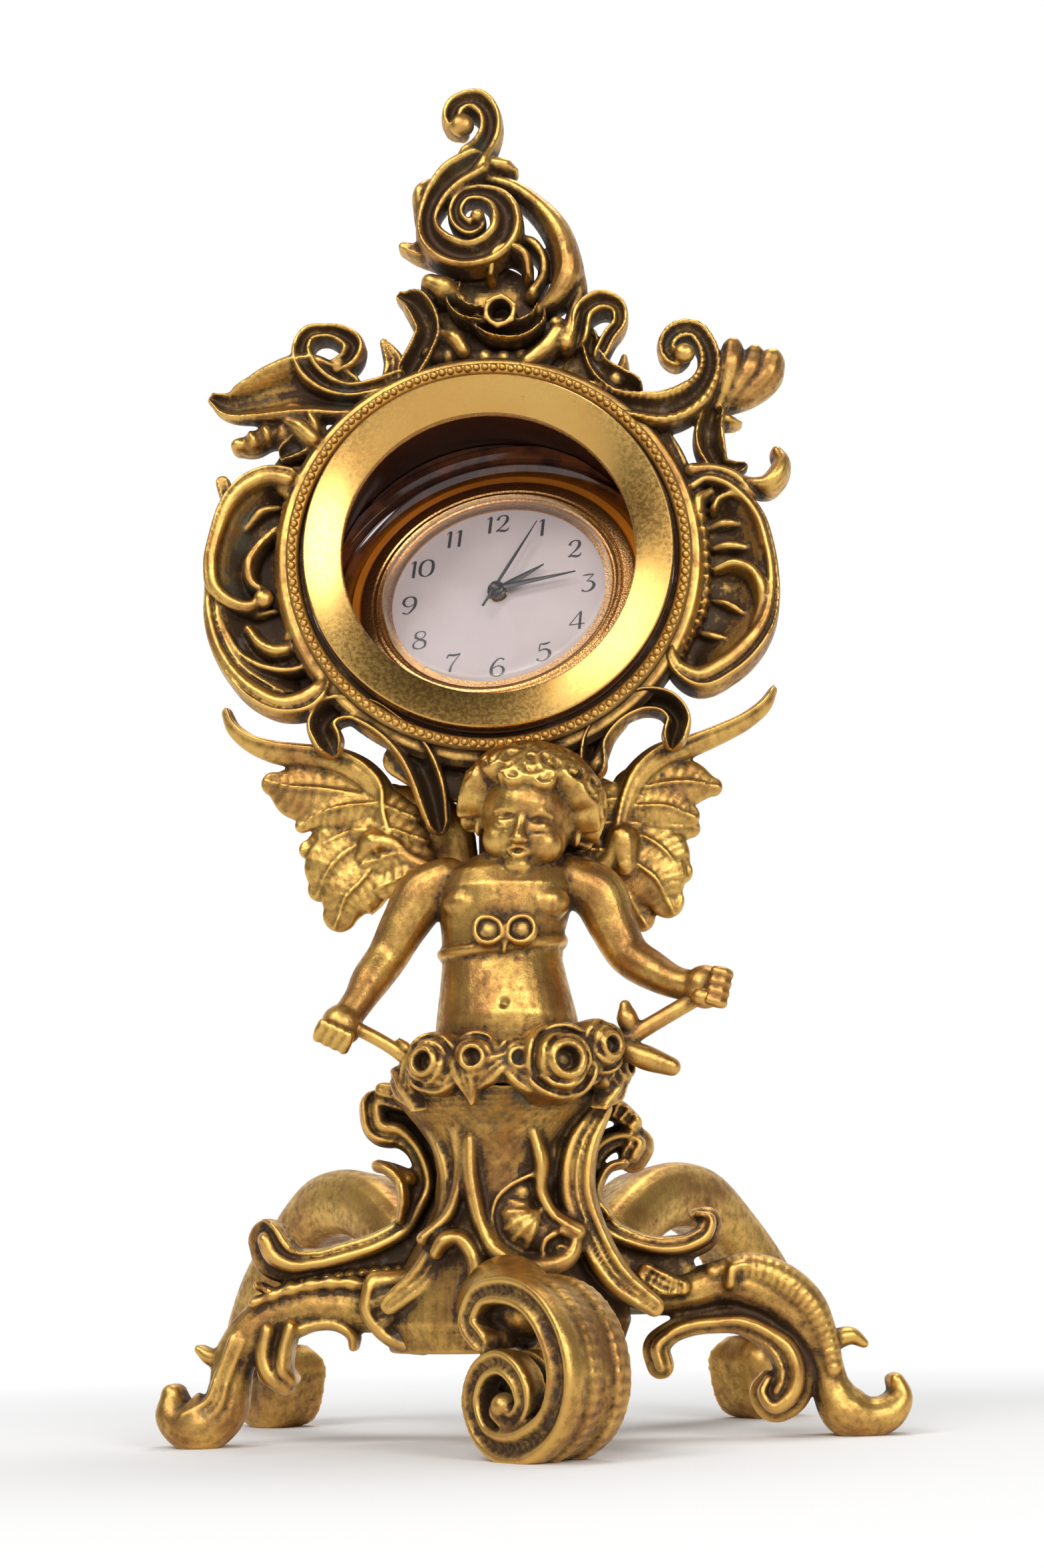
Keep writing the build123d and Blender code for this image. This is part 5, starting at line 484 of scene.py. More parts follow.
class Clay:
    """Closed forms that overlap, in millimetres, until melt() makes one casting of them."""

    def __init__(self):
        self.points = []
        self.faces = []

    def skin(self, rows, place, ring=False):
        """Skin over closed rings of points; the first and last are capped unless the rings meet."""
        start = len(self.points)
        wide = len(rows[0])
        for row in rows:
            self.points += [tuple(place @ Vector(p)) for p in row]
        last = len(rows) if ring else len(rows) - 1
        for i in range(last):
            a = start + i * wide
            b = start + ((i + 1) % len(rows)) * wide
            for j in range(wide):
                k = (j + 1) % wide
                self.faces.append((a + j, a + k, b + k, b + j))
        if not ring:
            self.faces.append(tuple(start + j for j in reversed(range(wide))))
            self.faces.append(tuple(start + (len(rows) - 1) * wide + j for j in range(wide)))

    def strand(self, place, points, ahead, rise, section="round", deep=1.4, flip=False, ripples=0, ripple=0.0,
               slant=0.0, scallop=0.0, climb=0.0, even=False):
        """Cast band along x, y and half width, its front at ahead plus its rise."""
        line, run = smooth_line(points, 0.28)
        radii = np.maximum(line[:, 2], 0.12)
        mean = float(np.mean(radii))
        profile = [(-a if flip else a, h) for a, h in SECTIONS[section]]
        rows = []
        ends = [(-k, math.cos(k)) for k in (1.35, 1.05, 0.7, 0.35)]
        total = len(line) - 1
        stations = [(0, math.sin(k), c) for k, c in ends]
        stations += [(i, 0.0, 1.0) for i in range(len(line))]
        stations += [(total, math.sin(-k), c) for k, c in reversed(ends)]
        for index, out, thin in stations:
            x, y = line[index][:2]
            tx, ty = run[index]
            radius = radii[index]
            share = index / total
            wave = math.cos(2 * math.pi * ripples * share)
            width = radius * thin * (1 + scallop * wave)
            high = rise if even else rise * min(1.3, max(0.45, radius / mean))
            high *= thin ** 0.5
            level = ahead + climb * share
            x += tx * radius * out
            y += ty * radius * out
            row = []
            for a, h in profile:
                crest = math.cos(2 * math.pi * (ripples * share + slant * abs(a))) if ripples else 1.0
                z = level + h * high + (ripple * rise * (crest - 1) / 2 if h > 0 else 0.0)
                row.append((x - ty * a * width, y + tx * a * width, z))
            for a in (0.8, 0.0, -0.8):
                side = -a if flip else a
                row.append((x - ty * side * width, y + tx * side * width, level - deep * thin ** 0.5))
            rows.append(row)
        self.skin(rows, place)

    def limb(self, place, points, sides=20, squash=1.0):
        """Round limb through x, y, z and radius."""
        line, run = smooth_line(points, 0.4)
        rows = []
        side = Vector((1, 0, 0)) if abs(run[0][0]) < 0.8 else Vector((0, 1, 0))
        stations = [(0, math.sin(-k), math.cos(k)) for k in (1.4, 1.05, 0.7, 0.35)]
        stations += [(i, 0.0, 1.0) for i in range(len(line))]
        stations += [(len(line) - 1, math.sin(k), math.cos(k)) for k in (0.35, 0.7, 1.05, 1.4)]
        for index, out, thin in stations:
            along = Vector(run[index])
            side = (side - along * side.dot(along)).normalized()
            other = along.cross(side)
            radius = line[index][3] * thin
            middle = Vector(line[index][:3]) + along * line[index][3] * out
            rows.append([middle + side * radius * math.cos(a) + other * radius * squash * math.sin(a)
                         for a in around(sides)])
        self.skin(rows, place)

    def ball(self, place, centre, radius, scale=(1, 1, 1), turn=(0, 0, 0), sides=20):
        """Ball or egg; turn is in degrees about x, y and z."""
        twist = Matrix.Rotation(math.radians(turn[2]), 4, "Z")
        twist = twist @ Matrix.Rotation(math.radians(turn[1]), 4, "Y")
        twist = twist @ Matrix.Rotation(math.radians(turn[0]), 4, "X")
        form = Matrix.Translation(centre) @ twist @ Matrix.Diagonal((*scale, 1))
        rows = []
        for k in np.linspace(0.12, math.pi - 0.12, sides // 2):
            rows.append([form @ Vector((radius * math.sin(k) * math.cos(a),
                                        radius * math.sin(k) * math.sin(a),
                                        radius * math.cos(k)))
                         for a in around(sides)])
        self.skin(rows, place)

    def hoop(self, place, profile, sides=180, start=0.0, sweep=360.0):
        """Closed profile of radius and height, swept about the bench's z."""
        whole = sweep >= 360.0
        angles = np.radians(np.linspace(start, start + sweep, sides, endpoint=not whole))
        rows = [[(r * math.cos(a), r * math.sin(a), h) for r, h in profile] for a in angles]
        self.skin(rows, place, ring=whole)

    def spiral(self, place, centre, outer, turns, ahead, rise, width, start=0.0, clockwise=False,
               section="round",
               climb=0.0, deep=1.0):
        """Rolled curl: a strand that winds in to the centre."""
        points = []
        count = max(6, int(turns * 9))
        for i in range(count + 1):
            share = i / count
            angle = math.radians(start) + (-1 if clockwise else 1) * turns * 2 * math.pi * share
            reach = outer * (1 - share) ** 0.8 + 0.02
            points.append((centre[0] + reach * math.cos(angle), centre[1] + reach * math.sin(angle),
                           width * (1 - 0.35 * share)))
        self.strand(place, points, ahead, rise, section, deep=deep, climb=climb)

    def mesh(self, name, scale=0.001):
        data = bpy.data.meshes.new(name)
        data.from_pydata(self.points, [], self.faces)
        piece = bpy.data.objects.new(name, data)
        bpy.context.scene.collection.objects.link(piece)
        select_only(piece)
        bpy.ops.object.mode_set(mode="EDIT")
        bpy.ops.mesh.select_all(action="SELECT")
        bpy.ops.mesh.normals_make_consistent(inside=False)
        bpy.ops.object.mode_set(mode="OBJECT")
        if scale != 1:
            data.transform(Matrix.Scale(scale, 4))
        return piece

    def melt(self, name, grain, rounds=2, pressed=()):
        """One casting from all the forms: remeshed at the grain, in millimetres, and smoothed."""
        piece = self.mesh(name, scale=1)
        remesh = piece.modifiers.new("skin", "REMESH")
        remesh.mode = "VOXEL"
        remesh.voxel_size = grain
        bpy.ops.object.modifier_apply(modifier=remesh.name)
        if rounds:
            soften = piece.modifiers.new("soften", "SMOOTH")
            soften.factor = 0.5
            soften.iterations = rounds
            bpy.ops.object.modifier_apply(modifier=soften.name)
        for dent in pressed:
            press(piece, *dent)
        piece.data.transform(Matrix.Scale(0.001, 4))
        bpy.ops.object.shade_smooth()
        castings.append((piece, grain))
        return piece


castings = []


def select_only(piece):
    bpy.ops.object.select_all(action="DESELECT")
    piece.select_set(True)
    bpy.context.view_layer.objects.active = piece


def skin_arrays(piece, kind):
    """Places and normals of the piece's points, in the numpy kind given"""
    arrays = []
    for label in ("co", "normal"):
        values = np.zeros(len(piece.data.vertices) * 3, kind)
        piece.data.vertices.foreach_get(label, values)
        arrays.append(values.reshape(-1, 3))
    return arrays


def press(piece, centre, radius, depth, squash=(1, 1, 1)):
    """Dent the skin towards its own inside, most at the centre."""
    where, facing = skin_arrays(piece, float)
    away = np.linalg.norm((where - np.array(centre)) / np.array(squash), axis=1) / radius
    pull = np.where(away < 1, (1 - away ** 2) ** 2, 0) * depth
    where -= facing * pull[:, None]
    piece.data.vertices.foreach_set("co", where.ravel())
    piece.data.update()


def dress(piece, slot_name, body="stand", replaces=()):
    """Finish, body and the CAD nodes that the piece stands for."""
    piece.data.materials.clear()
    piece.data.materials.append(bpy.data.materials[slot_name])
    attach(piece, body)
    if replaces:
        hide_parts(*replaces)
    return piece


def weather():
    """Give each casting two attributes: one high on its ridges and low in its creases, and recess, high in
    its hollows. The finishes use them for wear and patina, and for painted highlight on ridges and painted
    shade in hollows and creases.
    """
    clouds = []
    for piece, grain in castings:
        where, facing = skin_arrays(piece, np.float32)
        clouds.append((piece, grain, where * 1000, facing))
    margin = 4
    cell = 0.45
    look_out = 1.3
    low = np.min([c[2].min(0) for c in clouds], axis=0) - margin
    high = np.max([c[2].max(0) for c in clouds], axis=0) + margin
    shape = np.ceil((high - low) / cell).astype(int) + 1
    crowd = np.zeros(shape, np.float32)
    for _, grain, where, _ in clouds:
        spot = ((where - low) / cell).astype(int)
        np.add.at(crowd, tuple(spot.T), grain ** 2)

    def spread(grid, reach):
        for axis in range(3):
            total = np.cumsum(grid, axis=axis)
            total = np.concatenate([np.zeros_like(np.take(total, [0], axis=axis)), total], axis=axis)
            size = grid.shape[axis]
            upper = np.minimum(np.arange(size) + reach + 1, size)
            lower = np.maximum(np.arange(size) - reach, 0)
            grid = (np.take(total, upper, axis=axis) - np.take(total, lower, axis=axis)) / (2 * reach + 1)
        return grid

    near = spread(spread(crowd, 1), 2) / cell ** 2
    for piece, grain, where, facing in clouds:
        spot = where + facing * look_out
        index = np.clip(((spot - low) / cell).astype(int), 0, np.array(shape) - 1)
        recess = near[tuple(index.T)]
        edges = np.zeros(len(piece.data.edges) * 2, np.int32)
        piece.data.edges.foreach_get("vertices", edges)
        edges = edges.reshape(-1, 2)
        ties = np.maximum(np.bincount(edges.ravel(), minlength=len(where)), 1)[:, None]
        soft = where.astype(np.float64)
        for _ in range(10):
            total = np.stack([np.bincount(edges[:, 0], soft[edges[:, 1], k], len(where))
                              + np.bincount(edges[:, 1], soft[edges[:, 0], k], len(where))
                              for k in range(3)], axis=1)
            soft = 0.5 * soft + 0.5 * total / ties
        # Bulge over the smoothed skin: high on ridges, where painted highlight goes, low in creases, where
        # painted shade goes
        ridge_wear_and_light = ((where - soft) * facing).sum(1) / grain
        for label, values in (("ridge_wear_and_light", ridge_wear_and_light), ("recess", recess)):
            layer = piece.data.attributes.new(label, "FLOAT", "POINT")
            layer.data.foreach_set("value", values.astype(np.float32))


# Materials
class Finish:
    """A node material in the making."""

    def __init__(self, name):
        self.material = bpy.data.materials.get(name) or bpy.data.materials.new(name)
        self.material.use_nodes = True
        self.tree = self.material.node_tree
        self.tree.nodes.clear()
        self.shader = self.node("ShaderNodeBsdfPrincipled")
        self.output = self.node("ShaderNodeOutputMaterial")
        self.link(self.shader.outputs["BSDF"], self.output.inputs["Surface"])
        self.where = self.node("ShaderNodeTexCoord").outputs["Object"]

    def node(self, kind, **values):
        made = self.tree.nodes.new(kind)
        for key, value in values.items():
            setattr(made, key, value)
        return made

    def link(self, a, b):
        self.tree.links.new(a, b)

    def noise(self, size, detail=3.0, rough=0.6, stretch=None):
        """Noise whose spots are about size millimetres."""
        made = self.node("ShaderNodeTexNoise")
        made.inputs["Scale"].default_value = 1000.0 / size
        made.inputs["Detail"].default_value = detail
        made.inputs["Roughness"].default_value = rough
        source = self.where
        if stretch:
            mapping = self.node("ShaderNodeMapping")
            mapping.inputs["Scale"].default_value = stretch
            self.link(self.where, mapping.inputs["Vector"])
            source = mapping.outputs["Vector"]
        self.link(source, made.inputs["Vector"])
        return made.outputs["Fac"]

    def span(self, source, low, high, to_low=0.0, to_high=1.0):
        made = self.node("ShaderNodeMapRange")
        for key, value in zip(("From Min", "From Max", "To Min", "To Max"), (low, high, to_low, to_high)):
            made.inputs[key].default_value = value
        self.link(source, made.inputs["Value"])
        return made.outputs["Result"]

    def maths(self, kind, a, b):
        made = self.node("ShaderNodeMath", operation=kind)
        made.use_clamp = True
        for place, value in enumerate((a, b)):
            if isinstance(value, (int, float)):
                made.inputs[place].default_value = value
            else:
                self.link(value, made.inputs[place])
        return made.outputs["Value"]

    def mix(self, share, a, b):
        made = self.node("ShaderNodeMix", data_type="RGBA")
        sockets = made.inputs
        for socket, value in ((sockets[0], share), (sockets[6], a), (sockets[7], b)):
            if isinstance(value, (int, float)):
                socket.default_value = value
            elif isinstance(value, tuple):
                socket.default_value = (*value[:3], 1)
            else:
                self.link(value, socket)
        return made.outputs[2]

    def attribute(self, label):
        return self.node("ShaderNodeAttribute", attribute_name=label).outputs["Fac"]

    def bump(self, source, height, strength=0.5):
        """Bump of a real height in millimetres."""
        made = self.node("ShaderNodeBump")
        made.inputs["Strength"].default_value = strength
        made.inputs["Distance"].default_value = height / 1000.0
        self.link(source, made.inputs["Height"])
        self.link(made.outputs["Normal"], self.shader.inputs["Normal"])
        return made

    def set(self, **values):
        names = {"colour": "Base Color", "metal": "Metallic", "rough": "Roughness", "ior": "IOR",
                 "clear": "Transmission Weight", "coat": "Coat Weight", "coat_rough": "Coat Roughness",
                 "specular": "Specular IOR Level", "grain": "Anisotropic", "alpha": "Alpha"}
        for key, value in values.items():
            socket = self.shader.inputs[names[key]]
            if isinstance(value, (int, float)):
                socket.default_value = value
            elif isinstance(value, tuple):
                socket.default_value = (*value[:3], 1)
            else:
                self.link(value, socket)
        return self


def gilt_finish(name, bright, warm, dark, hollow_threshold=1.0, grain=0.16, roughness=0.36):
    """Old gilding on a casting: gold on the ridges with a painted highlight, copper patches, brown patina
    with painted shade in the hollows and a painted grey sheen there.
    """
    finish = Finish(name)
    patches = finish.noise(5.5, 4.0)
    specks = finish.noise(0.8, 5.0, 0.7)
    fine = finish.noise(grain, 3.0, 0.65)
    gold = finish.mix(finish.span(patches, 0.44, 0.62), bright, warm)
    # Hollow and crease masks: where patina gathers, and where painted shade is laid
    recess = finish.span(finish.attribute("recess"), 0.1 * hollow_threshold, 0.52 * hollow_threshold)
    hidden = finish.span(finish.attribute("ridge_wear_and_light"), 0.14, -0.22)
    ridge = finish.span(finish.attribute("ridge_wear_and_light"), 0.12, 0.5)
    # Dark mask: patina, specks and patches, plus painted shade from the hollow and crease masks, less on
    # ridges
    dirt_and_shade = finish.maths("ADD", finish.maths("MULTIPLY", recess, 0.95), finish.maths("MULTIPLY", hidden, 0.55))
    dirt_and_shade = finish.maths("ADD", dirt_and_shade, finish.span(specks, 0.42, 0.7, -0.12, 0.42))
    dirt_and_shade = finish.maths("ADD", dirt_and_shade, finish.span(patches, 0.4, 0.62, -0.05, 0.16))
    dirt_and_shade = finish.maths("SUBTRACT", dirt_and_shade, finish.maths("MULTIPLY", ridge, 0.5))
    colour = finish.mix(dirt_and_shade, gold, dark)
    green = finish.maths("MULTIPLY", finish.span(finish.noise(7.0, 2.0), 0.6, 0.72, 0.0, 0.4), dirt_and_shade)
    colour = finish.mix(green, colour, (0.10, 0.14, 0.10))
    # Grey patches in the hollows: a painted sheen
    grey = finish.maths("MULTIPLY", finish.span(finish.noise(2.4, 3.0), 0.6, 0.74, 0.0, 0.45), recess)
    colour = finish.mix(grey, colour, (0.32, 0.27, 0.23))
    # Ridges get a gold lighter than the gilding: rubbed gilding with a painted highlight
    colour = finish.mix(finish.maths("MULTIPLY", ridge, 0.55), colour,
                        tuple(min(1.0, c * 1.22) for c in bright))
    finish.set(colour=colour, metal=finish.span(dirt_and_shade, 0.35, 1.0, 1.0, 0.5),
               rough=finish.maths("ADD", finish.span(dirt_and_shade, 0.0, 1.0, roughness, roughness + 0.22),
                                  finish.span(specks, 0.3, 0.8, -0.05, 0.1)))
    height = finish.maths("ADD", finish.maths("MULTIPLY", fine, 0.5), finish.maths("MULTIPLY", specks, 0.5))
    finish.bump(height, 0.07, 0.7)
    return finish.material


class ClockSizes(bpy.types.PropertyGroup):
    """Sizes that a user may change."""

    frame_grain: FloatProperty(name="Frame grain",
                               description="Remesh size of the scroll frame and crest, mm",
                               default=0.16, min=0.12, max=0.4)
    stand_grain: FloatProperty(name="Stand grain", description="Remesh size of the stand and figure, mm",
                               default=0.2, min=0.15, max=0.5)
    bead_count: IntProperty(name="Beads", description="Beads on the rim round the bezel", default=140, min=60,
                            max=200)
    bead_radius: FloatProperty(name="Bead radius", description="Radius of one bead", default=0.0004,
                               min=0.0002, max=0.0006, unit="LENGTH", precision=5)
    numeral_height: FloatProperty(name="Numeral height", description="Height of the dial's numerals",
                                  default=0.0021, min=0.001, max=0.003, unit="LENGTH", precision=5)
    numeral_circle: FloatProperty(name="Numeral circle", description="Radius that the numerals stand on",
                                  default=0.0089, min=0.006, max=0.01, unit="LENGTH", precision=5)


class ClockColours(bpy.types.PropertyGroup):
    """Colours that a user may change."""

    gilt: FloatVectorProperty(name="Gilt", description="Bright gilding", subtype="COLOR",
                              default=(0.68, 0.41, 0.11), min=0, max=1)
    copper: FloatVectorProperty(name="Copper", description="Warm patches in the gilding", subtype="COLOR",
                                default=(0.5, 0.25, 0.075), min=0, max=1)
    # Brown patina in the hollows, also the colour of the painted shade there
    patina: FloatVectorProperty(name="Patina", description="Brown dirt in the hollows", subtype="COLOR",
                                default=(0.055, 0.026, 0.009), min=0, max=1)
    brass: FloatVectorProperty(name="Brass", description="Satin brass of the bezel", subtype="COLOR",
                               default=(0.62, 0.38, 0.11), min=0, max=1)
    amber: FloatVectorProperty(name="Amber", description="Amber seat round the insert", subtype="COLOR",
                               default=(0.62, 0.2, 0.015), min=0, max=1)
    dial: FloatVectorProperty(name="Dial", description="Dial paint", subtype="COLOR",
                              default=(0.45, 0.375, 0.37), min=0, max=1)


def sizes():
    return bpy.context.scene.clock_sizes


def colours():
    return bpy.context.scene.clock_colours


class CLOCK_OT_finishes(bpy.types.Operator):
    """Make the finishes and give them to every CAD node"""

    bl_idname = "clock.finishes"
    bl_label = "Finishes"

    def execute(self, context):
        shades = colours()
        gilt_finish("gilt_bronze", tuple(shades.gilt), tuple(shades.copper), tuple(shades.patina), hollow_threshold=0.88)
        gilt_finish("gilt_figure", tuple(shades.gilt), tuple(shades.copper), tuple(shades.patina), hollow_threshold=1.35,
                    roughness=0.33)
        self.brass(shades)
        self.plain()
        slots = {entry["node"]: entry["material_slot"] for entry in frame["record"]["subparts"]}
        for name, node in frame["nodes"].items():
            finish = bpy.data.materials[slots[name]]
            node.data.materials.clear()
            node.data.materials.append(finish)
        return {"FINISHED"}

    def brass(self, shades):
        """Satin ring metal with fine scratches and tarnish spots"""
        finish = Finish("satin_brass")
        cloud = finish.noise(6.0, 4.0)
        spots = finish.noise(0.9, 4.0, 0.7)
        streak = finish.noise(0.35, 3.0, 0.6)
        colour = finish.mix(finish.span(cloud, 0.35, 0.7), tuple(shades.brass), (0.60, 0.33, 0.09))
        stain = finish.span(spots, 0.66, 0.78, 0.0, 0.75)
        colour = finish.mix(stain, colour, (0.14, 0.07, 0.03))
        finish.set(colour=colour, metal=1.0, rough=finish.span(streak, 0.3, 0.7, 0.2, 0.33))
        finish.bump(streak, 0.004, 0.25)
        inner = Finish("insert_gold")
        sand = inner.noise(0.16, 2.0, 0.6)
        inner.set(colour=inner.mix(inner.span(sand, 0.4, 0.65), (0.74, 0.42, 0.16), (0.42, 0.2, 0.07)),
                  metal=1.0,
                  rough=0.26)
        inner.bump(sand, 0.05, 0.7)

    def plain(self):
        """The insert's, movement's and fasteners' finishes"""
        shades = colours()
        bronze = Finish("dark_bronze")
        cloud = bronze.noise(3.0, 4.0)
        bronze.set(colour=bronze.mix(cloud, (0.035, 0.01, 0.004), (0.1, 0.03, 0.01)), metal=0.4,
                   rough=bronze.span(cloud, 0.3, 0.7, 0.3, 0.5))
        bronze.bump(bronze.noise(0.3), 0.02, 0.3)
        amber = Finish("amber_seat")
        glow = amber.noise(4.0, 3.0)
        clear = amber.mix(glow, tuple(shades.amber), (0.42, 0.11, 0.01))
        # Near-black amber towards the bore wall: painted shade inside the drum's recess
        deep = amber.mix(amber.span(glow, 0.4, 0.6), (0.05, 0.012, 0.004), (0.14, 0.035, 0.008))
        amber.set(colour=amber.mix(amber.attribute("depth"), clear, deep), metal=0.0, rough=0.1, coat=0.6,
                  coat_rough=0.05)
        amber.bump(amber.noise(0.8, 2.0), 0.01, 0.2)
        dial = Finish("dial_white")
        mist = dial.noise(5.0, 3.0)
        dial.set(colour=dial.mix(dial.span(mist, 0.35, 0.7), tuple(shades.dial), (0.41, 0.34, 0.335)),
                 metal=0.0,
                 rough=0.4, coat=0.1, coat_rough=0.2)
        dial.bump(dial.noise(0.1, 1.0), 0.004, 0.25)
        black = Finish("hand_black")
        black.set(colour=black.mix(black.noise(0.4), (0.012, 0.011, 0.012), (0.03, 0.028, 0.03)), metal=0.2,
                  rough=0.28)
        black.bump(black.noise(0.15), 0.004, 0.2)
        glass = Finish("clear_glass")
        # Whitish veil on the crystal, thicker and warmer at its rim: painted reflection
        edge = glass.attribute("edge")
        glass.set(colour=glass.mix(edge, (0.7, 0.66, 0.66), (0.9, 0.8, 0.66)), metal=0.0, ior=1.5,
                  specular=0.9,
                  rough=glass.span(glass.noise(3.0), 0.3, 0.7, 0.01, 0.04),
                  alpha=glass.span(edge, 0.0, 1.0, 0.025, 0.2))
        pairs = {"plain_steel": ((0.4, 0.33, 0.22), (0.17, 0.13, 0.08), 1.0, 0.36),
                 "movement_plastic": ((0.5, 0.5, 0.48), (0.42, 0.42, 0.4), 0.0, 0.5),
                 "gear_brass": ((0.7, 0.48, 0.18), (0.58, 0.36, 0.12), 1.0, 0.28),
                 "copper_coil": ((0.6, 0.24, 0.1), (0.4, 0.14, 0.06), 1.0, 0.35),
                 "board_green": ((0.03, 0.16, 0.06), (0.02, 0.1, 0.04), 0.0, 0.45),
                 "cell_steel": ((0.62, 0.62, 0.62), (0.5, 0.5, 0.5), 1.0, 0.24)}
        for name, (one, other, metal, rough) in pairs.items():
            finish = Finish(name)
            cloud = finish.noise(1.2, 3.0)
            finish.set(colour=finish.mix(cloud, one, other), metal=metal,
                       rough=finish.span(cloud, 0.3, 0.7, rough - 0.05, rough + 0.08))
            finish.bump(finish.noise(0.2), 0.01, 0.3)
        return {"FINISHED"}


def broad(shares, factor):
    """The same band, wider."""
    return [(x, y, r * factor) for x, y, r in shares]


def head_strand(clay, shares, ahead, rise, section="round", wide=1.0, **more):
    clay.strand(head_bench, scaled(broad(shares, wide), head_unit), ahead, rise, section, **more)


def end_eye(clay, shares, ahead, size=1.25, flat=0.8):
    """Ball that ends a volute."""
    x, y, r = shares[-1]
    clay.ball(head_bench, (x * head_unit, y * head_unit, ahead), r * head_unit * size, (1, 1, flat))


class CLOCK_OT_scroll_frame(bpy.types.Operator):
    """Scroll frame round the drum: ring, C scrolls, volutes, shells and leaves"""

    bl_idname = "clock.scroll_frame"
    bl_label = "Scroll frame"

    def execute(self, context):
        for side, model in (("left", self.left_side), ("right", self.right_side)):
            piece = model().melt(f"scroll_frame_{side}", sizes().frame_grain)
            dress(piece, "gilt_bronze", replaces=("scroll_frame",))
        return {"FINISHED"}

    def left_side(self):
        clay = Clay()
        clay.hoop(head_bench, [(17.9, 4.6), (20.7, 4.6), (20.6, 6.6), (20.0, 7.3), (19.2, 7.3), (17.9, 7.0)])
        head_strand(clay, left_web_share, 3.7, 0.5, "flat", deep=0.5, even=True)
        head_strand(clay, left_basin_share, 3.9, 2.9, "slope", flip=True, deep=0.8, even=True)
        head_strand(clay, low_web_share, 3.9, 0.8, "flat", deep=0.8, even=True)
        head_strand(clay, left_horn_share, 4.8, 2.4, "valley", wide=1.1, deep=0.8)
        head_strand(clay, left_volute_share, 5.2, 2.2, "channel", wide=1.4, climb=0.5)
        end_eye(clay, left_volute_share, 6.8, 1.5)
        head_strand(clay, left_shoulder_leaf_share, 5.0, 1.8, "leaf", wide=1.3)
        head_strand(clay, left_bud_share, 5.0, 3.0, wide=1.35)
        head_strand(clay, left_bud_hood_share, 5.0, 2.3, wide=1.5)
        head_strand(clay, left_cup_share, 4.8, 2.1, "valley", wide=1.2)
        head_strand(clay, left_low_leaf_share, 4.9, 2.0, wide=1.15, ripples=3, ripple=0.3)
        head_strand(clay, left_back_leaf_share, 4.6, 1.5, "leaf", wide=1.2)
        head_strand(clay, left_c_upper_share, 5.0, 2.4, "step", wide=1.2, flip=True)
        end_eye(clay, left_c_upper_share, 6.4, 2.2)
        clay.ball(head_bench, (-1.1 * head_unit, 0.46 * head_unit, 6.2), 1.25, (1, 1, 0.8))
        head_strand(clay, left_c_lower_share, 5.0, 2.4, "step", wide=1.15, flip=True)
        head_strand(clay, left_c_ridge_share, 5.2, 1.6, wide=1.2)
        head_strand(clay, left_inner_leaf_share, 4.7, 2.2, wide=1.5)
        head_strand(clay, left_inner_hook_share, 4.7, 2.3, wide=1.3)
        end_eye(clay, left_inner_hook_share, 6.4, 2.0)
        for shares in left_hump_share:
            head_strand(clay, shares, 4.3, 1.3, wide=0.7)
        head_strand(clay, left_c_upper_share, 6.0, 1.5, wide=0.95)
        head_strand(clay, left_c_lower_share, 6.0, 1.5, wide=0.8)
        head_strand(clay, left_rib_share, 5.4, 1.6, "flat", ripples=27, ripple=0.5, even=True)
        head_strand(clay, left_s_share, 5.3, 2.5, "gutter", wide=1.9, deep=1.6)
        return clay

    def right_side(self):
        clay = Clay()
        head_strand(clay, right_web_share, 3.7, 0.5, "flat", deep=0.5, even=True)
        head_strand(clay, right_basin_share, 3.9, 2.9, "slope", deep=0.8, even=True)
        head_strand(clay, right_shoulder_web_share, 4.3, 0.7, "flat", deep=0.5, even=True)
        head_strand(clay, right_c_share, 5.0, 2.5, "step", wide=1.35)
        end_eye(clay, right_c_share, 6.6, 1.8)
        head_strand(clay, right_c_top_share, 5.2, 1.9, wide=1.15)
        head_strand(clay, right_c_second_share, 4.9, 2.0, wide=1.3)
        head_strand(clay, right_crescent_share, 4.8, 2.3, wide=1.25)
        for shares in right_hump_share:
            head_strand(clay, shares, 4.2, 1.3, wide=0.62)
        rim = [(x - 0.012, y, r) for x, y, r in right_c_share]
        head_strand(clay, rim, 6.1, 1.5, wide=0.85)
        head_strand(clay, right_top_curl_share, 5.2, 1.9, wide=1.3)
        head_strand(clay, right_scallop_share, 5.0, 1.9, ripples=11, ripple=0.3, scallop=0.25)
        head_strand(clay, right_rib_share, 5.2, 1.7, "flat", wide=1.15, ripples=20, ripple=0.55, even=True)
        head_strand(clay, right_volute_share, 5.2, 2.3, "channel", wide=1.25, climb=0.6, ripples=34,
                    ripple=0.1)
        end_eye(clay, right_volute_share, 7.0, 1.7)
        for step, shares in enumerate(shell_rib_share):
            head_strand(clay, shares, 5.2 - 0.25 * step, 2.0, wide=1.3)
        head_strand(clay, right_low_leaf_share, 4.8, 2.2, "valley", wide=1.15)
        head_strand(clay, right_low_spike_share, 4.9, 1.4, wide=1.2)
        head_strand(clay, right_low_curl_share, 4.9, 2.1, wide=1.3)
        head_strand(clay, right_wedge_share, 4.9, 1.7, "leaf", wide=1.2)
        head_strand(clay, right_curl_share, 5.1, 2.2, "channel", wide=1.35)
        head_strand(clay, right_curl_root_share, 5.0, 2.1, "valley", wide=1.3)
        head_strand(clay, right_spike_share, 5.0, 1.4, wide=1.3)
        head_strand(clay, right_s_share, 5.3, 2.5, "gutter", wide=2.05, deep=1.6)
        head_strand(clay, right_s_inner_share, 5.4, 1.8, wide=1.4)
        return clay


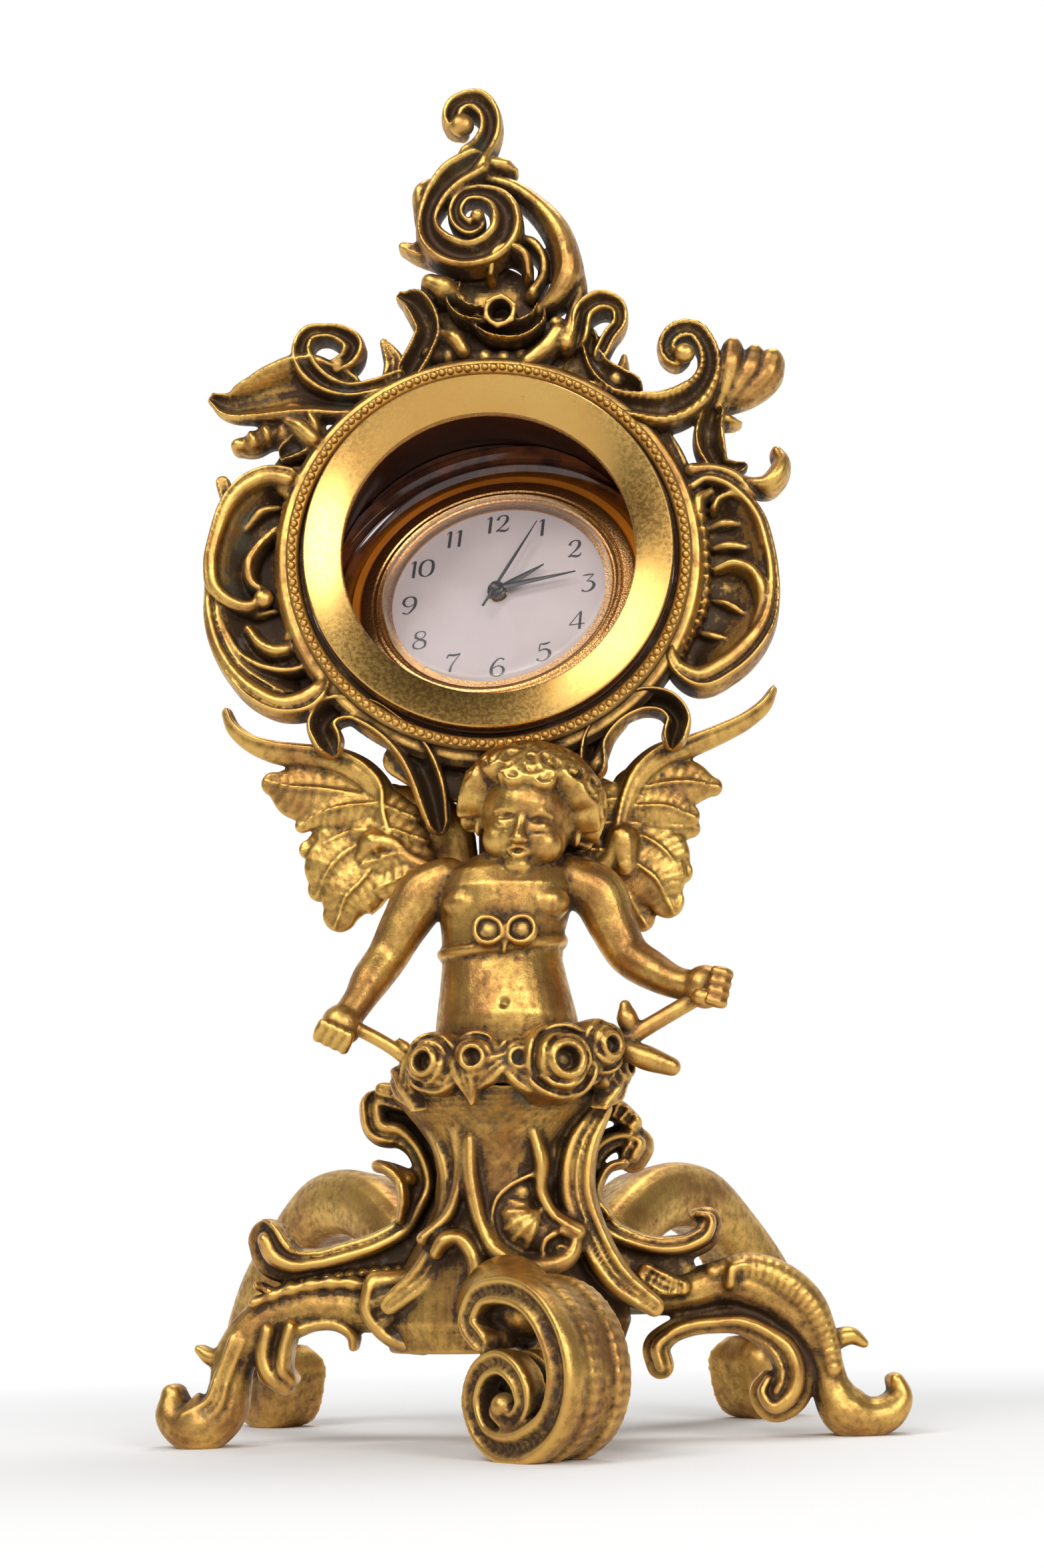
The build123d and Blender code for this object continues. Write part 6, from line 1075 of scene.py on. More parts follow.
class CLOCK_OT_crest(bpy.types.Operator):
    """Crest above the drum: finial, spiral, crescent and leaves"""

    bl_idname = "clock.crest"
    bl_label = "Crest"

    def execute(self, context):
        clay = Clay()
        head_strand(clay, crest_web_share, 3.9, 0.6, "flat", deep=0.5, even=True)
        head_strand(clay, finial_share, 5.1, 2.2, "channel", wide=1.12)
        end_eye(clay, finial_share, 6.4, 2.0)
        head_strand(clay, finial_leaf_share, 5.2, 1.8, wide=1.3)
        head_strand(clay, spiral_share, 5.2, 2.3, "channel", wide=1.35, climb=1.3)
        x, y, _ = spiral_share[-1]
        clay.ball(head_bench, (x * head_unit, (y - 0.03) * head_unit, 7.4), 0.75, (1, 1, 1.3))
        head_strand(clay, outer_leaf_share, 5.0, 1.7, wide=1.3)
        head_strand(clay, spike_leaf_share, 5.0, 1.7, "leaf", wide=1.3)
        head_strand(clay, left_leaf_share, 5.0, 2.2, "valley", wide=1.3)
        head_strand(clay, rolled_leaf_share, 5.3, 2.6, wide=1.4)
        head_strand(clay, left_lobe_share, 5.3, 2.4, wide=1.25)
        head_strand(clay, right_lobe_share, 5.3, 2.4, wide=1.25)
        head_strand(clay, crest_arc_share, 5.2, 2.7, wide=1.15, flip=True)
        head_strand(clay, crest_tail_share, 5.0, 2.1, wide=1.3)
        head_strand(clay, crest_inner_leaf_share, 4.7, 2.2, wide=1.5)
        head_strand(clay, crest_low_share, 5.0, 1.5, ripples=6, ripple=0.3)
        clay.ball(head_bench, (0.4 * head_unit, 1.36 * head_unit, 6.6), 0.75)
        piece = clay.melt("crest_casting", sizes().frame_grain)
        top = cad_box[1][2] - 0.00005
        for vertex in piece.data.vertices:
            vertex.co.z = min(vertex.co.z, top)
        dress(piece, "gilt_bronze", replaces=("crest",))
        return {"FINISHED"}


class CLOCK_OT_flower(bpy.types.Operator):
    """Tube blossom on the crest, with its hood and petals"""

    bl_idname = "clock.flower"
    bl_label = "Crest flower"

    def execute(self, context):
        clay = Clay()
        x, y, _ = flower_share
        place = head_bench @ Matrix.Translation((x * head_unit, y * head_unit, 0))
        place = place @ Matrix.Rotation(math.radians(8), 4, "X") @ Matrix.Rotation(math.radians(-6), 4, "Y")
        clay.hoop(place, [(0.95, 5.2), (0.98, 8.4), (1.12, 9.1), (1.4, 9.25), (1.62, 9.0), (1.5, 8.2),
                          (1.35, 7.0), (1.45, 5.2)], sides=40)
        clay.ball(place, (0, 0, 5.8), 1.2, (1, 1, 0.5))
        for bearing in range(20, 380, 60):
            angle = math.radians(bearing)
            clay.ball(place, (1.45 * math.cos(angle), 1.45 * math.sin(angle), 8.9), 0.34)
        head_strand(clay, crest_hood_share, 5.4, 3.0)
        head_strand(clay, crest_cup_share, 5.4, 2.6, "valley")
        head_strand(clay, crest_lip_share, 5.4, 2.7, "valley")
        dress(clay.melt("crest_blossom", sizes().frame_grain), "gilt_bronze", replaces=("crest_flower",))
        return {"FINISHED"}


class CLOCK_OT_rims(bpy.types.Operator):
    """Beaded rim and satin bezel ring"""

    bl_idname = "clock.rims"
    bl_label = "Rims"

    def execute(self, context):
        clay = Clay()
        clay.hoop(head_bench,
                  [(17.62, 7.2), (19.3, 7.2), (19.3, 8.2), (19.05, 8.55), (18.35, 8.55), (18.12, 8.3),
                          (18.0, 7.6), (17.62, 7.5)])
        count = sizes().bead_count
        radius = sizes().bead_radius * 1000
        for step in range(count):
            angle = 2 * math.pi * step / count
            sway = 0.04 * math.sin(step * 2.7)
            centre = ((18.7 + sway) * math.cos(angle), (18.7 + sway) * math.sin(angle), 8.62)
            clay.ball(head_bench, centre, radius * (1 + 0.06 * math.sin(step * 1.9)), sides=12)
        rim = clay.mesh("bead_ring")
        bpy.ops.object.shade_smooth_by_angle(angle=math.radians(50))
        # Masks by how far forward each point lies: painted highlight on the beads' fronts, painted shade
        # towards the back of the ring
        heights = np.array([-v.co.y for v in rim.data.vertices]) * 1000
        top = (heights - heights.min()) / (heights.max() - heights.min())
        for label, values in (("ridge_wear_and_light", top * 1.2 - 0.4), ("recess", 2.4 - 2.2 * top)):
            layer = rim.data.attributes.new(label, "FLOAT", "POINT")
            layer.data.foreach_set("value", values.astype(np.float32))
        dress(rim, "gilt_bronze", replaces=("bead_rim",))
        clay = Clay()
        clay.hoop(head_bench,
                  [(13.9, 8.02), (13.9, 8.62), (13.97, 8.78), (14.12, 8.86), (17.2, 9.9), (17.36, 9.94),
                               (17.48, 9.84), (17.5, 9.68), (17.5, 8.02), (15.84, 8.02), (15.84, 6.4),
                               (15.26, 6.4), (15.26, 8.02)], sides=240)
        ring = clay.mesh("bezel_band")
        bpy.ops.object.shade_smooth_by_angle(angle=math.radians(28))
        dress(ring, "satin_brass", replaces=("bezel_ring",))
        return {"FINISHED"}


def fade_outwards(piece, label, start, reach):
    """Attribute that rises from 0 to 1 over the reach beyond a radius of the insert, in millimetres"""
    layer = piece.data.attributes.new(label, "FLOAT", "POINT")
    back = insert_bench.inverted()
    for vertex in piece.data.vertices:
        local = back @ (vertex.co * 1000)
        layer.data[vertex.index].value = min(1.0, max(0.0, (local.xy.length - start) / reach))


class CLOCK_OT_insert(bpy.types.Operator):
    """Insert seen in the drum: amber seat, flange, crystal and the dial's numerals"""

    bl_idname = "clock.insert"
    bl_label = "Insert"

    def execute(self, context):
        self.seat()
        clay = Clay()
        clay.hoop(insert_bench,
                  [(13.7, -0.2), (13.7, 0.6), (13.6, 0.76), (13.44, 0.8), (12.5, 0.8), (12.36, 0.7),
                                 (12.26, 0.78), (12.0, 0.8), (11.8, 0.7), (11.68, 0.52), (11.52, 0.5),
                                 (11.38, 0.4), (11.36, 0.2), (10.62, 0.2), (10.6, 0.02), (11.06, 0.0),
                                 (11.06, -0.2)], sides=200)
        ring = clay.mesh("insert_flange")
        bpy.ops.object.shade_smooth_by_angle(angle=math.radians(30))
        dress(ring, "insert_gold", replaces=("insert_bezel",))
        self.crystal()
        self.numerals()
        return {"FINISHED"}

    def seat(self):
        """Stepped amber ring, cut to the drum's bore"""
        clay = Clay()
        clay.hoop(insert_bench, [(13.76, -2.5), (13.76, 0.42), (13.85, 0.5), (14.55, 0.5), (14.7, 0.36),
                                 (14.85, -0.1), (15.5, -0.2), (15.7, 0.2), (16.1, 0.5), (16.5, 0.36),
                                 (16.7, 0.1), (17.2, 0.3), (17.5, 0.9), (18.1, 1.1), (18.5, 0.8), (19.4, 1.2),
                                 (20.4, 2.2), (22, 2.4), (22, -2.5)], sides=160)
        seat = clay.mesh("amber_seat_ring")
        bore = Clay()
        bore.skin(turned([(bore_radius, -9.5), (bore_radius, 5.9)], 160), head_bench)
        cutter = bore.mesh("bore_cutter")
        select_only(seat)
        cut = seat.modifiers.new("bore", "BOOLEAN")
        cut.operation = "INTERSECT"
        cut.object = cutter
        bpy.ops.object.modifier_apply(modifier=cut.name)
        bpy.data.objects.remove(cutter)
        bpy.ops.object.shade_smooth_by_angle(angle=math.radians(40))
        # Painted shade: the seat darkens outwards towards the bore wall
        fade_outwards(seat, "depth", 14.8, 0.9)
        dress(seat, "amber_seat", replaces=("insert_seat",))

    def crystal(self):
        profile = [(0.03, 2.8)]
        for share in (0.2, 0.4, 0.6, 0.75, 0.88, 0.96):
            radius = 11.2 * share
            profile.append((radius, 1.75 + 1.05 * (1 - share ** 2)))
        profile += [(11.18, 1.7), (11.3, 1.5), (11.3, 0.22), (10.66, 0.22), (10.66, 1.15)]
        for share in (0.96, 0.88, 0.75, 0.6, 0.4, 0.2):
            profile.append((10.5 * share, 1.3 + 0.8 * (1 - share ** 2)))
        profile.append((0.03, 2.1))
        clay = Clay()
        clay.skin(turned(profile, 120), insert_bench)
        dome = clay.mesh("domed_crystal")
        bpy.ops.object.shade_smooth_by_angle(angle=math.radians(35))
        # Painted reflection: the crystal's rim gets a lighter, less clear colour
        fade_outwards(dome, "edge", 10.75, 0.3)
        dress(dome, "clear_glass", replaces=("crystal",))

    def numerals(self):
        clay = Clay()
        tall = sizes().numeral_height * 1000
        reach = sizes().numeral_circle * 1000
        for hour in range(1, 13):
            digits = str(hour)
            spans = [0.42 if digit == "1" else 0.74 for digit in digits]
            total = sum(spans) + 0.06 * (len(digits) - 1)
            angle = math.radians(90 - 30 * hour)
            pen = -total / 2
            for digit, span in zip(digits, spans):
                for stroke in DIGITS[digit]:
                    points = [((pen + x + 0.1 * (y - 0.5)) * tall + reach * math.cos(angle),
                               (y - 0.5) * tall + reach * math.sin(angle), r * tall * 0.85) for x, y,
                               r in stroke]
                    self.stroke(clay, points)
                pen += span + 0.06
        ink = clay.mesh("dial_numerals")
        dress(ink, "hand_black")

    def stroke(self, clay, points):
        """Flat line of ink whose width follows the pen"""
        line, run = smooth_line(points, 0.12)
        rows = []
        for (x, y, r), (tx, ty) in zip(line, run):
            across = max(r, 0.03)
            rows.append([(x - ty * across, y + tx * across, 0.025), (x + ty * across, y - tx * across, 0.025),
                         (x + ty * across, y - tx * across, 0.002),
                         (x - ty * across, y + tx * across, 0.002)])
        clay.skin(rows, insert_bench)


class CLOCK_OT_hands(bpy.types.Operator):
    """Black hands on their pipes"""

    bl_idname = "clock.hands"
    bl_label = "Hands"

    def execute(self, context):
        self.hand("hour_blade", "hours", "hour_hand", 28.0, 0.6, 5.3, 0.36, 0.95, 0.0, 0.52)
        self.hand("minute_blade", "minutes", "minute_hand", 6.0, 0.95, 7.9, 0.28, 0.82, 0.0, 0.22)
        self.hand("second_blade", "seconds", "second_hand", 61.0, 1.3, 8.6, 0.17, 0.55, 2.6, 0.0)
        return {"FINISHED"}

    def hand(self, name, body, node, bearing, front, length, half, hub, tail, bore):
        """Tapered blade with a sloped edge, and a turned hub"""
        clay = Clay()
        place = insert_bench @ Matrix.Rotation(math.radians(bearing), 4, "Z")
        stations = [(-tail, half * 0.8), (0.0, half * 0.9), (length * 0.3, half), (length * 0.7, half * 0.62),
                    (length * 0.93, half * 0.24), (length, 0.04)]
        rows = []
        for x, wide in stations:
            rows.append([(x, wide, front), (x, wide, front + 0.06), (x, wide * 0.4, front + 0.14),
                         (x, -wide * 0.4, front + 0.14), (x, -wide, front + 0.06), (x, -wide, front)])
        clay.skin(rows, place)
        inner = max(bore, 0.03)
        profile = [(inner, front), (hub, front), (hub, front + 0.08), (hub * 0.86, front + 0.2),
                   (hub * 0.5, front + 0.28), (inner, front + 0.3)]
        rows = [[(r * math.cos(a), r * math.sin(a), h) for r, h in profile]
                for a in around(36)]
        clay.skin(rows, place, ring=True)
        if not bore:
            clay.ball(place, (0, 0, front + 0.16), 0.3, (1, 1, 0.5), sides=16)
        blade = clay.mesh(name)
        bpy.ops.object.shade_smooth_by_angle(angle=math.radians(35))
        dress(blade, "hand_black", body=body, replaces=(node,))


def on_figure(x, y, z, r):
    unit = figure_unit
    return (x * unit + figure_place.x, y * unit + figure_place.y, z * unit + figure_place.z, r * unit)


def figure_limb(clay, shares, sides=20):
    clay.limb(room, [on_figure(*share) for share in shares], sides=sides)


def facing_bench(place, centre, outward, spin=0.0):
    """Bench at a centre whose z looks outward."""
    z = Vector(outward).normalized()
    x = Vector((0, 0, 1)).cross(z)
    x = x.normalized() if x.length > 0.1 else Vector((1, 0, 0))
    y = z.cross(x)
    basis = Matrix(((x.x, y.x, z.x, centre[0]), (x.y, y.y, z.y, centre[1]), (x.z, y.z, z.z, centre[2]),
                    (0, 0, 0, 1)))
    return place @ basis @ Matrix.Rotation(math.radians(spin), 4, "Z")


class CLOCK_OT_child(bpy.types.Operator):
    """Winged child from the waist up: body, arms, head and curls"""

    bl_idname = "clock.child"
    bl_label = "Child"

    def execute(self, context):
        clay = Clay()
        self.body(clay)
        place = room @ Matrix.Translation(head_place) @ Matrix.Rotation(math.radians(-6), 4, "Z")
        place = place @ Matrix.Rotation(math.radians(9), 4, "Y") @ Matrix.Rotation(math.radians(10), 4, "X")
        place = place @ Matrix.Scale(0.92, 4)
        self.head(clay, place)
        self.hair(clay, place)
        dents = [(place @ Vector((side * 1.7, -4.9, 0.15)), 0.8, 0.3, (1.5, 1, 0.5)) for side in (-1, 1)]
        dents += [(place @ Vector((side * 1.7, -4.8, -1.15)), 0.6, 0.22, (1.8, 1, 0.45)) for side in (-1, 1)]
        dents.append((place @ Vector((0, -5.2, -3.15)), 0.7, 0.5, (1.5, 1, 0.4)))
        dents.append((room @ Vector((0.9, -12.9, 38.2)), 0.7, 0.45, (1, 1, 1)))
        piece = clay.melt("child_casting", sizes().stand_grain * 0.9, 3, pressed=dents)
        dress(piece, "gilt_figure", replaces=("child_figure",))
        return {"FINISHED"}

    def body(self, clay):
        torso = [(-0.1, 0.0, 0.0, 0.236, 0.186), (0.02, 0.0, -0.01, 0.238, 0.19),
                 (0.12, 0.0, -0.02, 0.228, 0.188),
                 (0.22, -0.006, -0.012, 0.21, 0.178), (0.31, -0.012, 0.0, 0.196, 0.168),
                 (0.4, -0.008, 0.0, 0.202, 0.17), (0.47, -0.002, 0.0, 0.216, 0.178),
                 (0.54, 0.006, 0.0, 0.232, 0.18),
                 (0.6, 0.012, 0.0, 0.215, 0.15), (0.65, 0.018, 0.0, 0.13, 0.107),
                 (0.68, 0.02, 0.0, 0.06, 0.06)]
        rows = []
        for z, x, y, wide, deep in torso:
            centre = on_figure(x, y, z, 0)
            rows.append([(centre[0] + wide * figure_unit * math.cos(a),
                          centre[1] + deep * figure_unit * math.sin(a),
                          centre[2]) for a in around(36)])
        clay.skin(rows, room)
        for x in (-0.1, 0.115):
            clay.ball(room, on_figure(x, -0.085, 0.485, 0)[:3], 0.085 * figure_unit, (1.2, 0.88, 0.8))
        clay.ball(room, on_figure(0.0, -0.075, 0.13, 0)[:3], 0.15 * figure_unit, (1.05, 0.85, 1.0))
        left_arm = [(-0.19, 0.0, 0.575, 0.085), (-0.26, 0.01, 0.54, 0.094), (-0.33, 0.005, 0.44, 0.08),
                    (-0.39, 0.0, 0.33, 0.068), (-0.44, -0.04, 0.25, 0.064), (-0.475, -0.08, 0.18, 0.052),
                    (-0.5, -0.1, 0.14, 0.05)]
        right_arm = [(0.22, 0.0, 0.57, 0.085), (0.3, 0.01, 0.53, 0.094), (0.35, 0.005, 0.42, 0.08),
                     (0.4, -0.01, 0.32, 0.07), (0.47, -0.06, 0.26, 0.064), (0.55, -0.11, 0.21, 0.052),
                     (0.6, -0.135, 0.195, 0.05)]
        neck = [(0.03, 0.0, 0.58, 0.1), (0.06, -0.01, 0.66, 0.085), (0.08, -0.02, 0.72, 0.085)]
        for limb in (left_arm, right_arm, neck):
            figure_limb(clay, limb)
        self.fist(clay, on_figure(-0.525, -0.115, 0.1, 0), (-0.5, -0.35, -1), 0.072)
        self.fist(clay, on_figure(0.635, -0.15, 0.19, 0), (0.75, -0.5, -0.2), 0.074)
        band = []
        for step in range(33):
            angle = 2 * math.pi * step / 32
            high = 0.352 + 0.018 * math.sin(angle) * (1 if math.sin(angle) < 0 else -1)
            x = -0.01 + 0.203 * math.cos(angle)
            y = 0.176 * math.sin(angle)
            band.append(on_figure(x, y, high + 0.02 * math.cos(angle), 0.012))
        clay.limb(room, band, sides=8, squash=1.6)
        self.bow(clay)

    def fist(self, clay, centre, along, radius):
        """Closed hand: palm and four fingers"""
        size = radius * figure_unit
        clay.ball(room, centre[:3], size, (0.95, 0.85, 0.95))
        direction = Vector(along).normalized()
        side = direction.cross(Vector((0, 1, 0))).normalized()
        for step in range(4):
            shift = side * size * (step - 1.5) * 0.42
            start = Vector(centre[:3]) + shift + direction * size * 0.35 + Vector((0, -0.75 * size, 0))
            end = Vector(centre[:3]) + shift + direction * size * 1.0 + Vector((0, -0.25 * size, 0))
            clay.limb(room, [(*start, size * 0.26), (*((start + end) / 2 + direction * 0.2), size * 0.28),
                             (*end, size * 0.25)], sides=10)

    def bow(self, clay):
        place = room @ Matrix.Translation(bow_place) @ upright
        for side in (-1, 1):
            loop = [(side * x, y, 0.32) for x, y in ((0.25, -0.3), (0.45, 0.7), (1.1, 1.15), (2.2, 1.1),
                                                     (2.6, 0.5),
                                                     (2.5, -0.5), (1.9, -1.0), (0.9, -0.95), (0.25, -0.5))]
            clay.strand(place, loop, 0.0, 0.85, deep=0.9)
            clay.ball(place, (side * 1.45, 0.1, -0.1), 1.0, (1.1, 0.9, 0.45))
        clay.ball(place, (0, -0.2, 0.3), 0.42, (0.8, 1.5, 1))
        clay.strand(place, [(0.1, -0.3, 0.24), (0.0, -1.2, 0.26), (-0.1, -1.8, 0.2)], 0.0, 0.5, deep=0.8)

    def head(self, clay, place):
        clay.ball(place, (0, 0.5, 0.9), 5.1, (0.98, 1.02, 0.98), sides=32)
        clay.ball(place, (0, -1.1, -1.3), 4.2, (1.0, 0.98, 1.05), sides=32)
        clay.ball(place, (0, -1.7, 1.4), 3.7, (1.05, 0.95, 0.9), sides=24)
        for side in (-1, 1):
            clay.ball(place, (side * 2.1, -2.9, -2.2), 1.9, (1, 0.95, 1), sides=24)
            clay.ball(place, (side * 1.7, -4.0, -0.55), 0.98, (1.15, 0.85, 0.72), sides=24)
            clay.limb(place, [(side * 0.9, -4.75, -0.8, 0.13), (side * 1.7, -4.88, -1.02, 0.15),
                              (side * 2.55, -4.35, -0.8, 0.12)], sides=8)
            clay.limb(place, [(side * 0.7, -4.75, 0.55, 0.26), (side * 1.7, -4.6, 0.95, 0.32),
                              (side * 2.8, -3.95, 0.55, 0.26)], sides=10)
            clay.ball(place, (side * 0.55, -5.5, -1.95), 0.42)
            clay.limb(place, [(side * 1.15, -4.65, -3.05, 0.16), (side * 0.4, -5.2, -2.8, 0.27),
                              (0, -5.25, -2.87, 0.24)], sides=10)
            clay.ball(place, (side * 4.9, 0.2, -0.9), 1.0, (0.45, 0.9, 1.3), (0, 0, side * 20))
        clay.limb(place, [(0, -4.6, 0.5, 0.55), (0, -5.1, -0.6, 0.5), (0, -5.75, -1.7, 0.62)], sides=14)
        clay.ball(place, (0, -5.85, -1.85), 0.62)
        clay.limb(place, [(-0.9, -4.7, -3.3, 0.2), (0, -5.0, -3.55, 0.38), (0.9, -4.7, -3.3, 0.2)], sides=10)
        clay.ball(place, (0, -3.9, -4.5), 1.3, (1.1, 0.9, 0.85))

    def hair(self, clay, place):
        clay.ball(place, (0, 1.6, 2.2), 5.3, (1.1, 0.95, 0.8), sides=32)
        curls = [(-100, -14, 2.1), (-84, 6, 2.0), (-70, 26, 1.8), (-48, 40, 1.7), (-24, 44, 1.6),
                 (0, 42, 1.7),
                 (26, 44, 1.7), (48, 38, 1.7), (70, 24, 1.8), (86, 6, 2.0), (102, -14, 2.1), (-60, 62, 1.8),
                 (-20, 66, 1.7), (22, 64, 1.7), (64, 60, 1.8), (-115, 20, 2.0), (118, 20, 2.0),
                 (-100, 44, 1.9),
                 (102, 44, 1.9), (-140, 0, 2.1), (140, 0, 2.1), (180, 4, 2.1), (-150, 32, 2.0),
                 (150, 32, 2.0),
                 (180, 40, 2.0), (140, 62, 1.9), (-140, 62, 1.9), (0, 86, 1.7), (-10, 30, 1.2), (14, 28, 1.2)]
        for index, (azimuth, elevation, size) in enumerate(curls):
            a = math.radians(azimuth)
            e = math.radians(elevation)
            outward = Vector((math.sin(a) * math.cos(e), -math.cos(a) * math.cos(e), math.sin(e)))
            centre = Vector((outward.x * 6.0, outward.y * 5.3 + 0.9, outward.z * 5.2 + 1.4))
            local = facing_bench(place, centre, outward, spin=index * 67)
            clay.spiral(local, (0, 0), size * 1.12, 1.5, -0.2, 1.3, 0.55, clockwise=bool(index % 2),
                        climb=0.7,
                        deep=1.6)


class CLOCK_OT_wings(bpy.types.Operator):
    """Left and right wings: a long leading feather, and barbed feathers below it"""

    bl_idname = "clock.wings"
    bl_label = "Wings"

    def execute(self, context):
        coverts = [[(-0.3, 0.84, 0.03), (-0.38, 0.87, 0.045), (-0.46, 0.88, 0.03)],
                   [(-0.27, 0.76, 0.03), (-0.36, 0.79, 0.045), (-0.45, 0.79, 0.03)],
                   [(-0.25, 0.69, 0.03), (-0.34, 0.7, 0.045), (-0.42, 0.68, 0.03)],
                   [(-0.2, 0.63, 0.03), (-0.29, 0.63, 0.045), (-0.37, 0.6, 0.03)]]
        for side, shares in ((-1, left_wing_share), (1, right_wing_share)):
            clay = Clay()
            for step, feather in enumerate(shares):
                points = scaled(feather, figure_unit)
                if step == 0:
                    clay.strand(figure_bench, points, 1.7, 1.3, deep=0.9)
                    ridge = [(x, y + r * 0.5, r * 0.35) for x, y, r in points]
                    clay.strand(figure_bench, ridge, 2.4, 0.9, deep=0.8)
                elif step == len(shares) - 1:
                    clay.strand(figure_bench, points, 1.9, 1.7, deep=1.0)
                else:
                    level = 1.0 + 0.3 * (step % 3)
                    clay.strand(figure_bench, broad(points, 1.75), level, 1.4, "feather", deep=0.9, ripples=8,
                                ripple=0.07, slant=0.9)
            root = [(side * x, y, r) for x, y, r in ((0.36, 0.92, 0.06), (0.27, 0.87, 0.1), (0.2, 0.79, 0.12),
                                                     (0.16, 0.68, 0.1))]
            clay.strand(figure_bench, scaled(root, figure_unit), -0.8, 0.8, deep=1.2)
            for step, covert in enumerate(coverts):
                points = scaled([(x * -side, y, r) for x, y, r in covert], figure_unit)
                clay.strand(figure_bench, broad(points, 1.6), 2.1 + 0.1 * step, 1.1, "feather", deep=0.8,
                            ripples=5, ripple=0.12, slant=0.8)
            name = "left" if side < 0 else "right"
            piece = clay.melt(f"{name}_wing_casting", sizes().frame_grain)
            dress(piece, "gilt_figure", replaces=(f"{name}_wing",))
        return {"FINISHED"}


class CLOCK_OT_garland(bpy.types.Operator):
    """Roses round the waist and the stalks in the hands"""

    bl_idname = "clock.garland"
    bl_label = "Garland"

    def execute(self, context):
        clay = Clay()
        centre = (figure_place.x, figure_place.y)
        place = room @ Matrix.Translation((centre[0], centre[1], 0)) @ Matrix.Diagonal((1, 0.82, 1, 1))
        clay.hoop(place, [(7.2, 31.0), (9.9, 31.0), (10.1, 31.8), (9.6, 33.2), (8.6, 34.2), (7.3, 34.2)],
                  sides=60)
        for share in rose_share:
            x, y, z, r = on_figure(*share)
            out = Vector((x - centre[0], (y - centre[1]) * 1.3 - 2.0, 0.5))
            self.rose(clay, (x, y, z), out, r * 1.3, 90 * x)
        for bearing in range(200, 345, 16):
            angle = math.radians(bearing)
            out = Vector((math.cos(angle), math.sin(angle), -0.15))
            spot = (centre[0] + 9.4 * math.cos(angle), centre[1] + 7.8 * math.sin(angle),
                    31.9 + 0.7 * math.sin(bearing))
            local = facing_bench(room, spot, out, spin=bearing * 7)
            clay.strand(local, [(-2.4, 0.3, 0.3), (-0.8, 0.4, 1.2), (0.8, 0.1, 1.1), (2.8, -0.7, 0.15)], 0.2,
                        1.2,
                        "leaf", deep=1.2)
        piece = clay.melt("rose_garland", sizes().stand_grain * 0.85)
        dress(piece, "gilt_bronze", replaces=("rose_collar",))
        for side, shares in (("left", left_branch_share), ("right", right_branch_share)):
            self.stalk(side, shares)
        return {"FINISHED"}

    def rose(self, clay, centre, out, size, spin):
        """Rolled petals round a cup"""
        local = facing_bench(room, centre, out, spin=spin)
        clay.ball(local, (0, 0, -0.25 * size), size * 0.86, (1, 1, 0.9))
        clay.hoop(local, [(size * 0.26, size * 0.2), (size * 0.28, size * 0.86), (size * 0.38, size * 0.98),
                          (size * 0.5, size * 0.86), (size * 0.48, size * 0.2)], sides=28)
        clay.ball(local, (0, 0, size * 0.35), size * 0.3, (1, 1, 0.7))
        for count, reach, wide, ahead, high in ((3, 0.66, 0.12, 0.2, 0.52), (4, 0.92, 0.14, -0.15, 0.62)):
            for step in range(count):
                middle = 2 * math.pi * step / count + count
                arc = []
                for share in (0.0, 0.25, 0.5, 0.75, 1.0):
                    angle = middle + (share - 0.5) * 7.4 / count
                    far = size * (reach - 0.1 * share)
                    arc.append((far * math.cos(angle), far * math.sin(angle),
                                size * wide * (0.6 + 0.4 * math.sin(math.pi * share))))
                clay.strand(local, arc, size * ahead, size * high, deep=size * 0.6)

    def stalk(self, side, shares):
        clay = Clay()
        figure_limb(clay, shares, 12)
        if side == "right":
            figure_limb(clay, bulb_leaf_share, 16)
            figure_limb(clay,
                        [(0.4, -0.145, 0.04, 0.02), (0.385, -0.15, 0.1, 0.035), (0.38, -0.15, 0.135, 0.02)],
                        12)
            end = on_figure(*shares[0])
            clay.ball(room, (end[0], end[1] - 1.6, end[2] - 0.4), 0.9, (1.2, 0.8, 1))
        else:
            figure_limb(clay,
                        [(-0.3, -0.12, -0.01, 0.014), (-0.33, -0.12, 0.03, 0.02),
                         (-0.34, -0.12, 0.045, 0.01)], 10)
        piece = clay.melt(f"{side}_stalk", 0.16)
        dress(piece, "gilt_figure", replaces=(f"{side}_branch",))


def side_strand(clay, shares, ahead, rise, section="round", **more):
    """Band on the stand, ahead measured from the plane of the side legs."""
    more.setdefault("deep", 3.0)
    clay.strand(side_bench, scaled(shares, stand_unit), ahead, rise, section, **more)


def stand_on_floor(piece):
    for vertex in piece.data.vertices:
        vertex.co.z = max(vertex.co.z, 0.0)


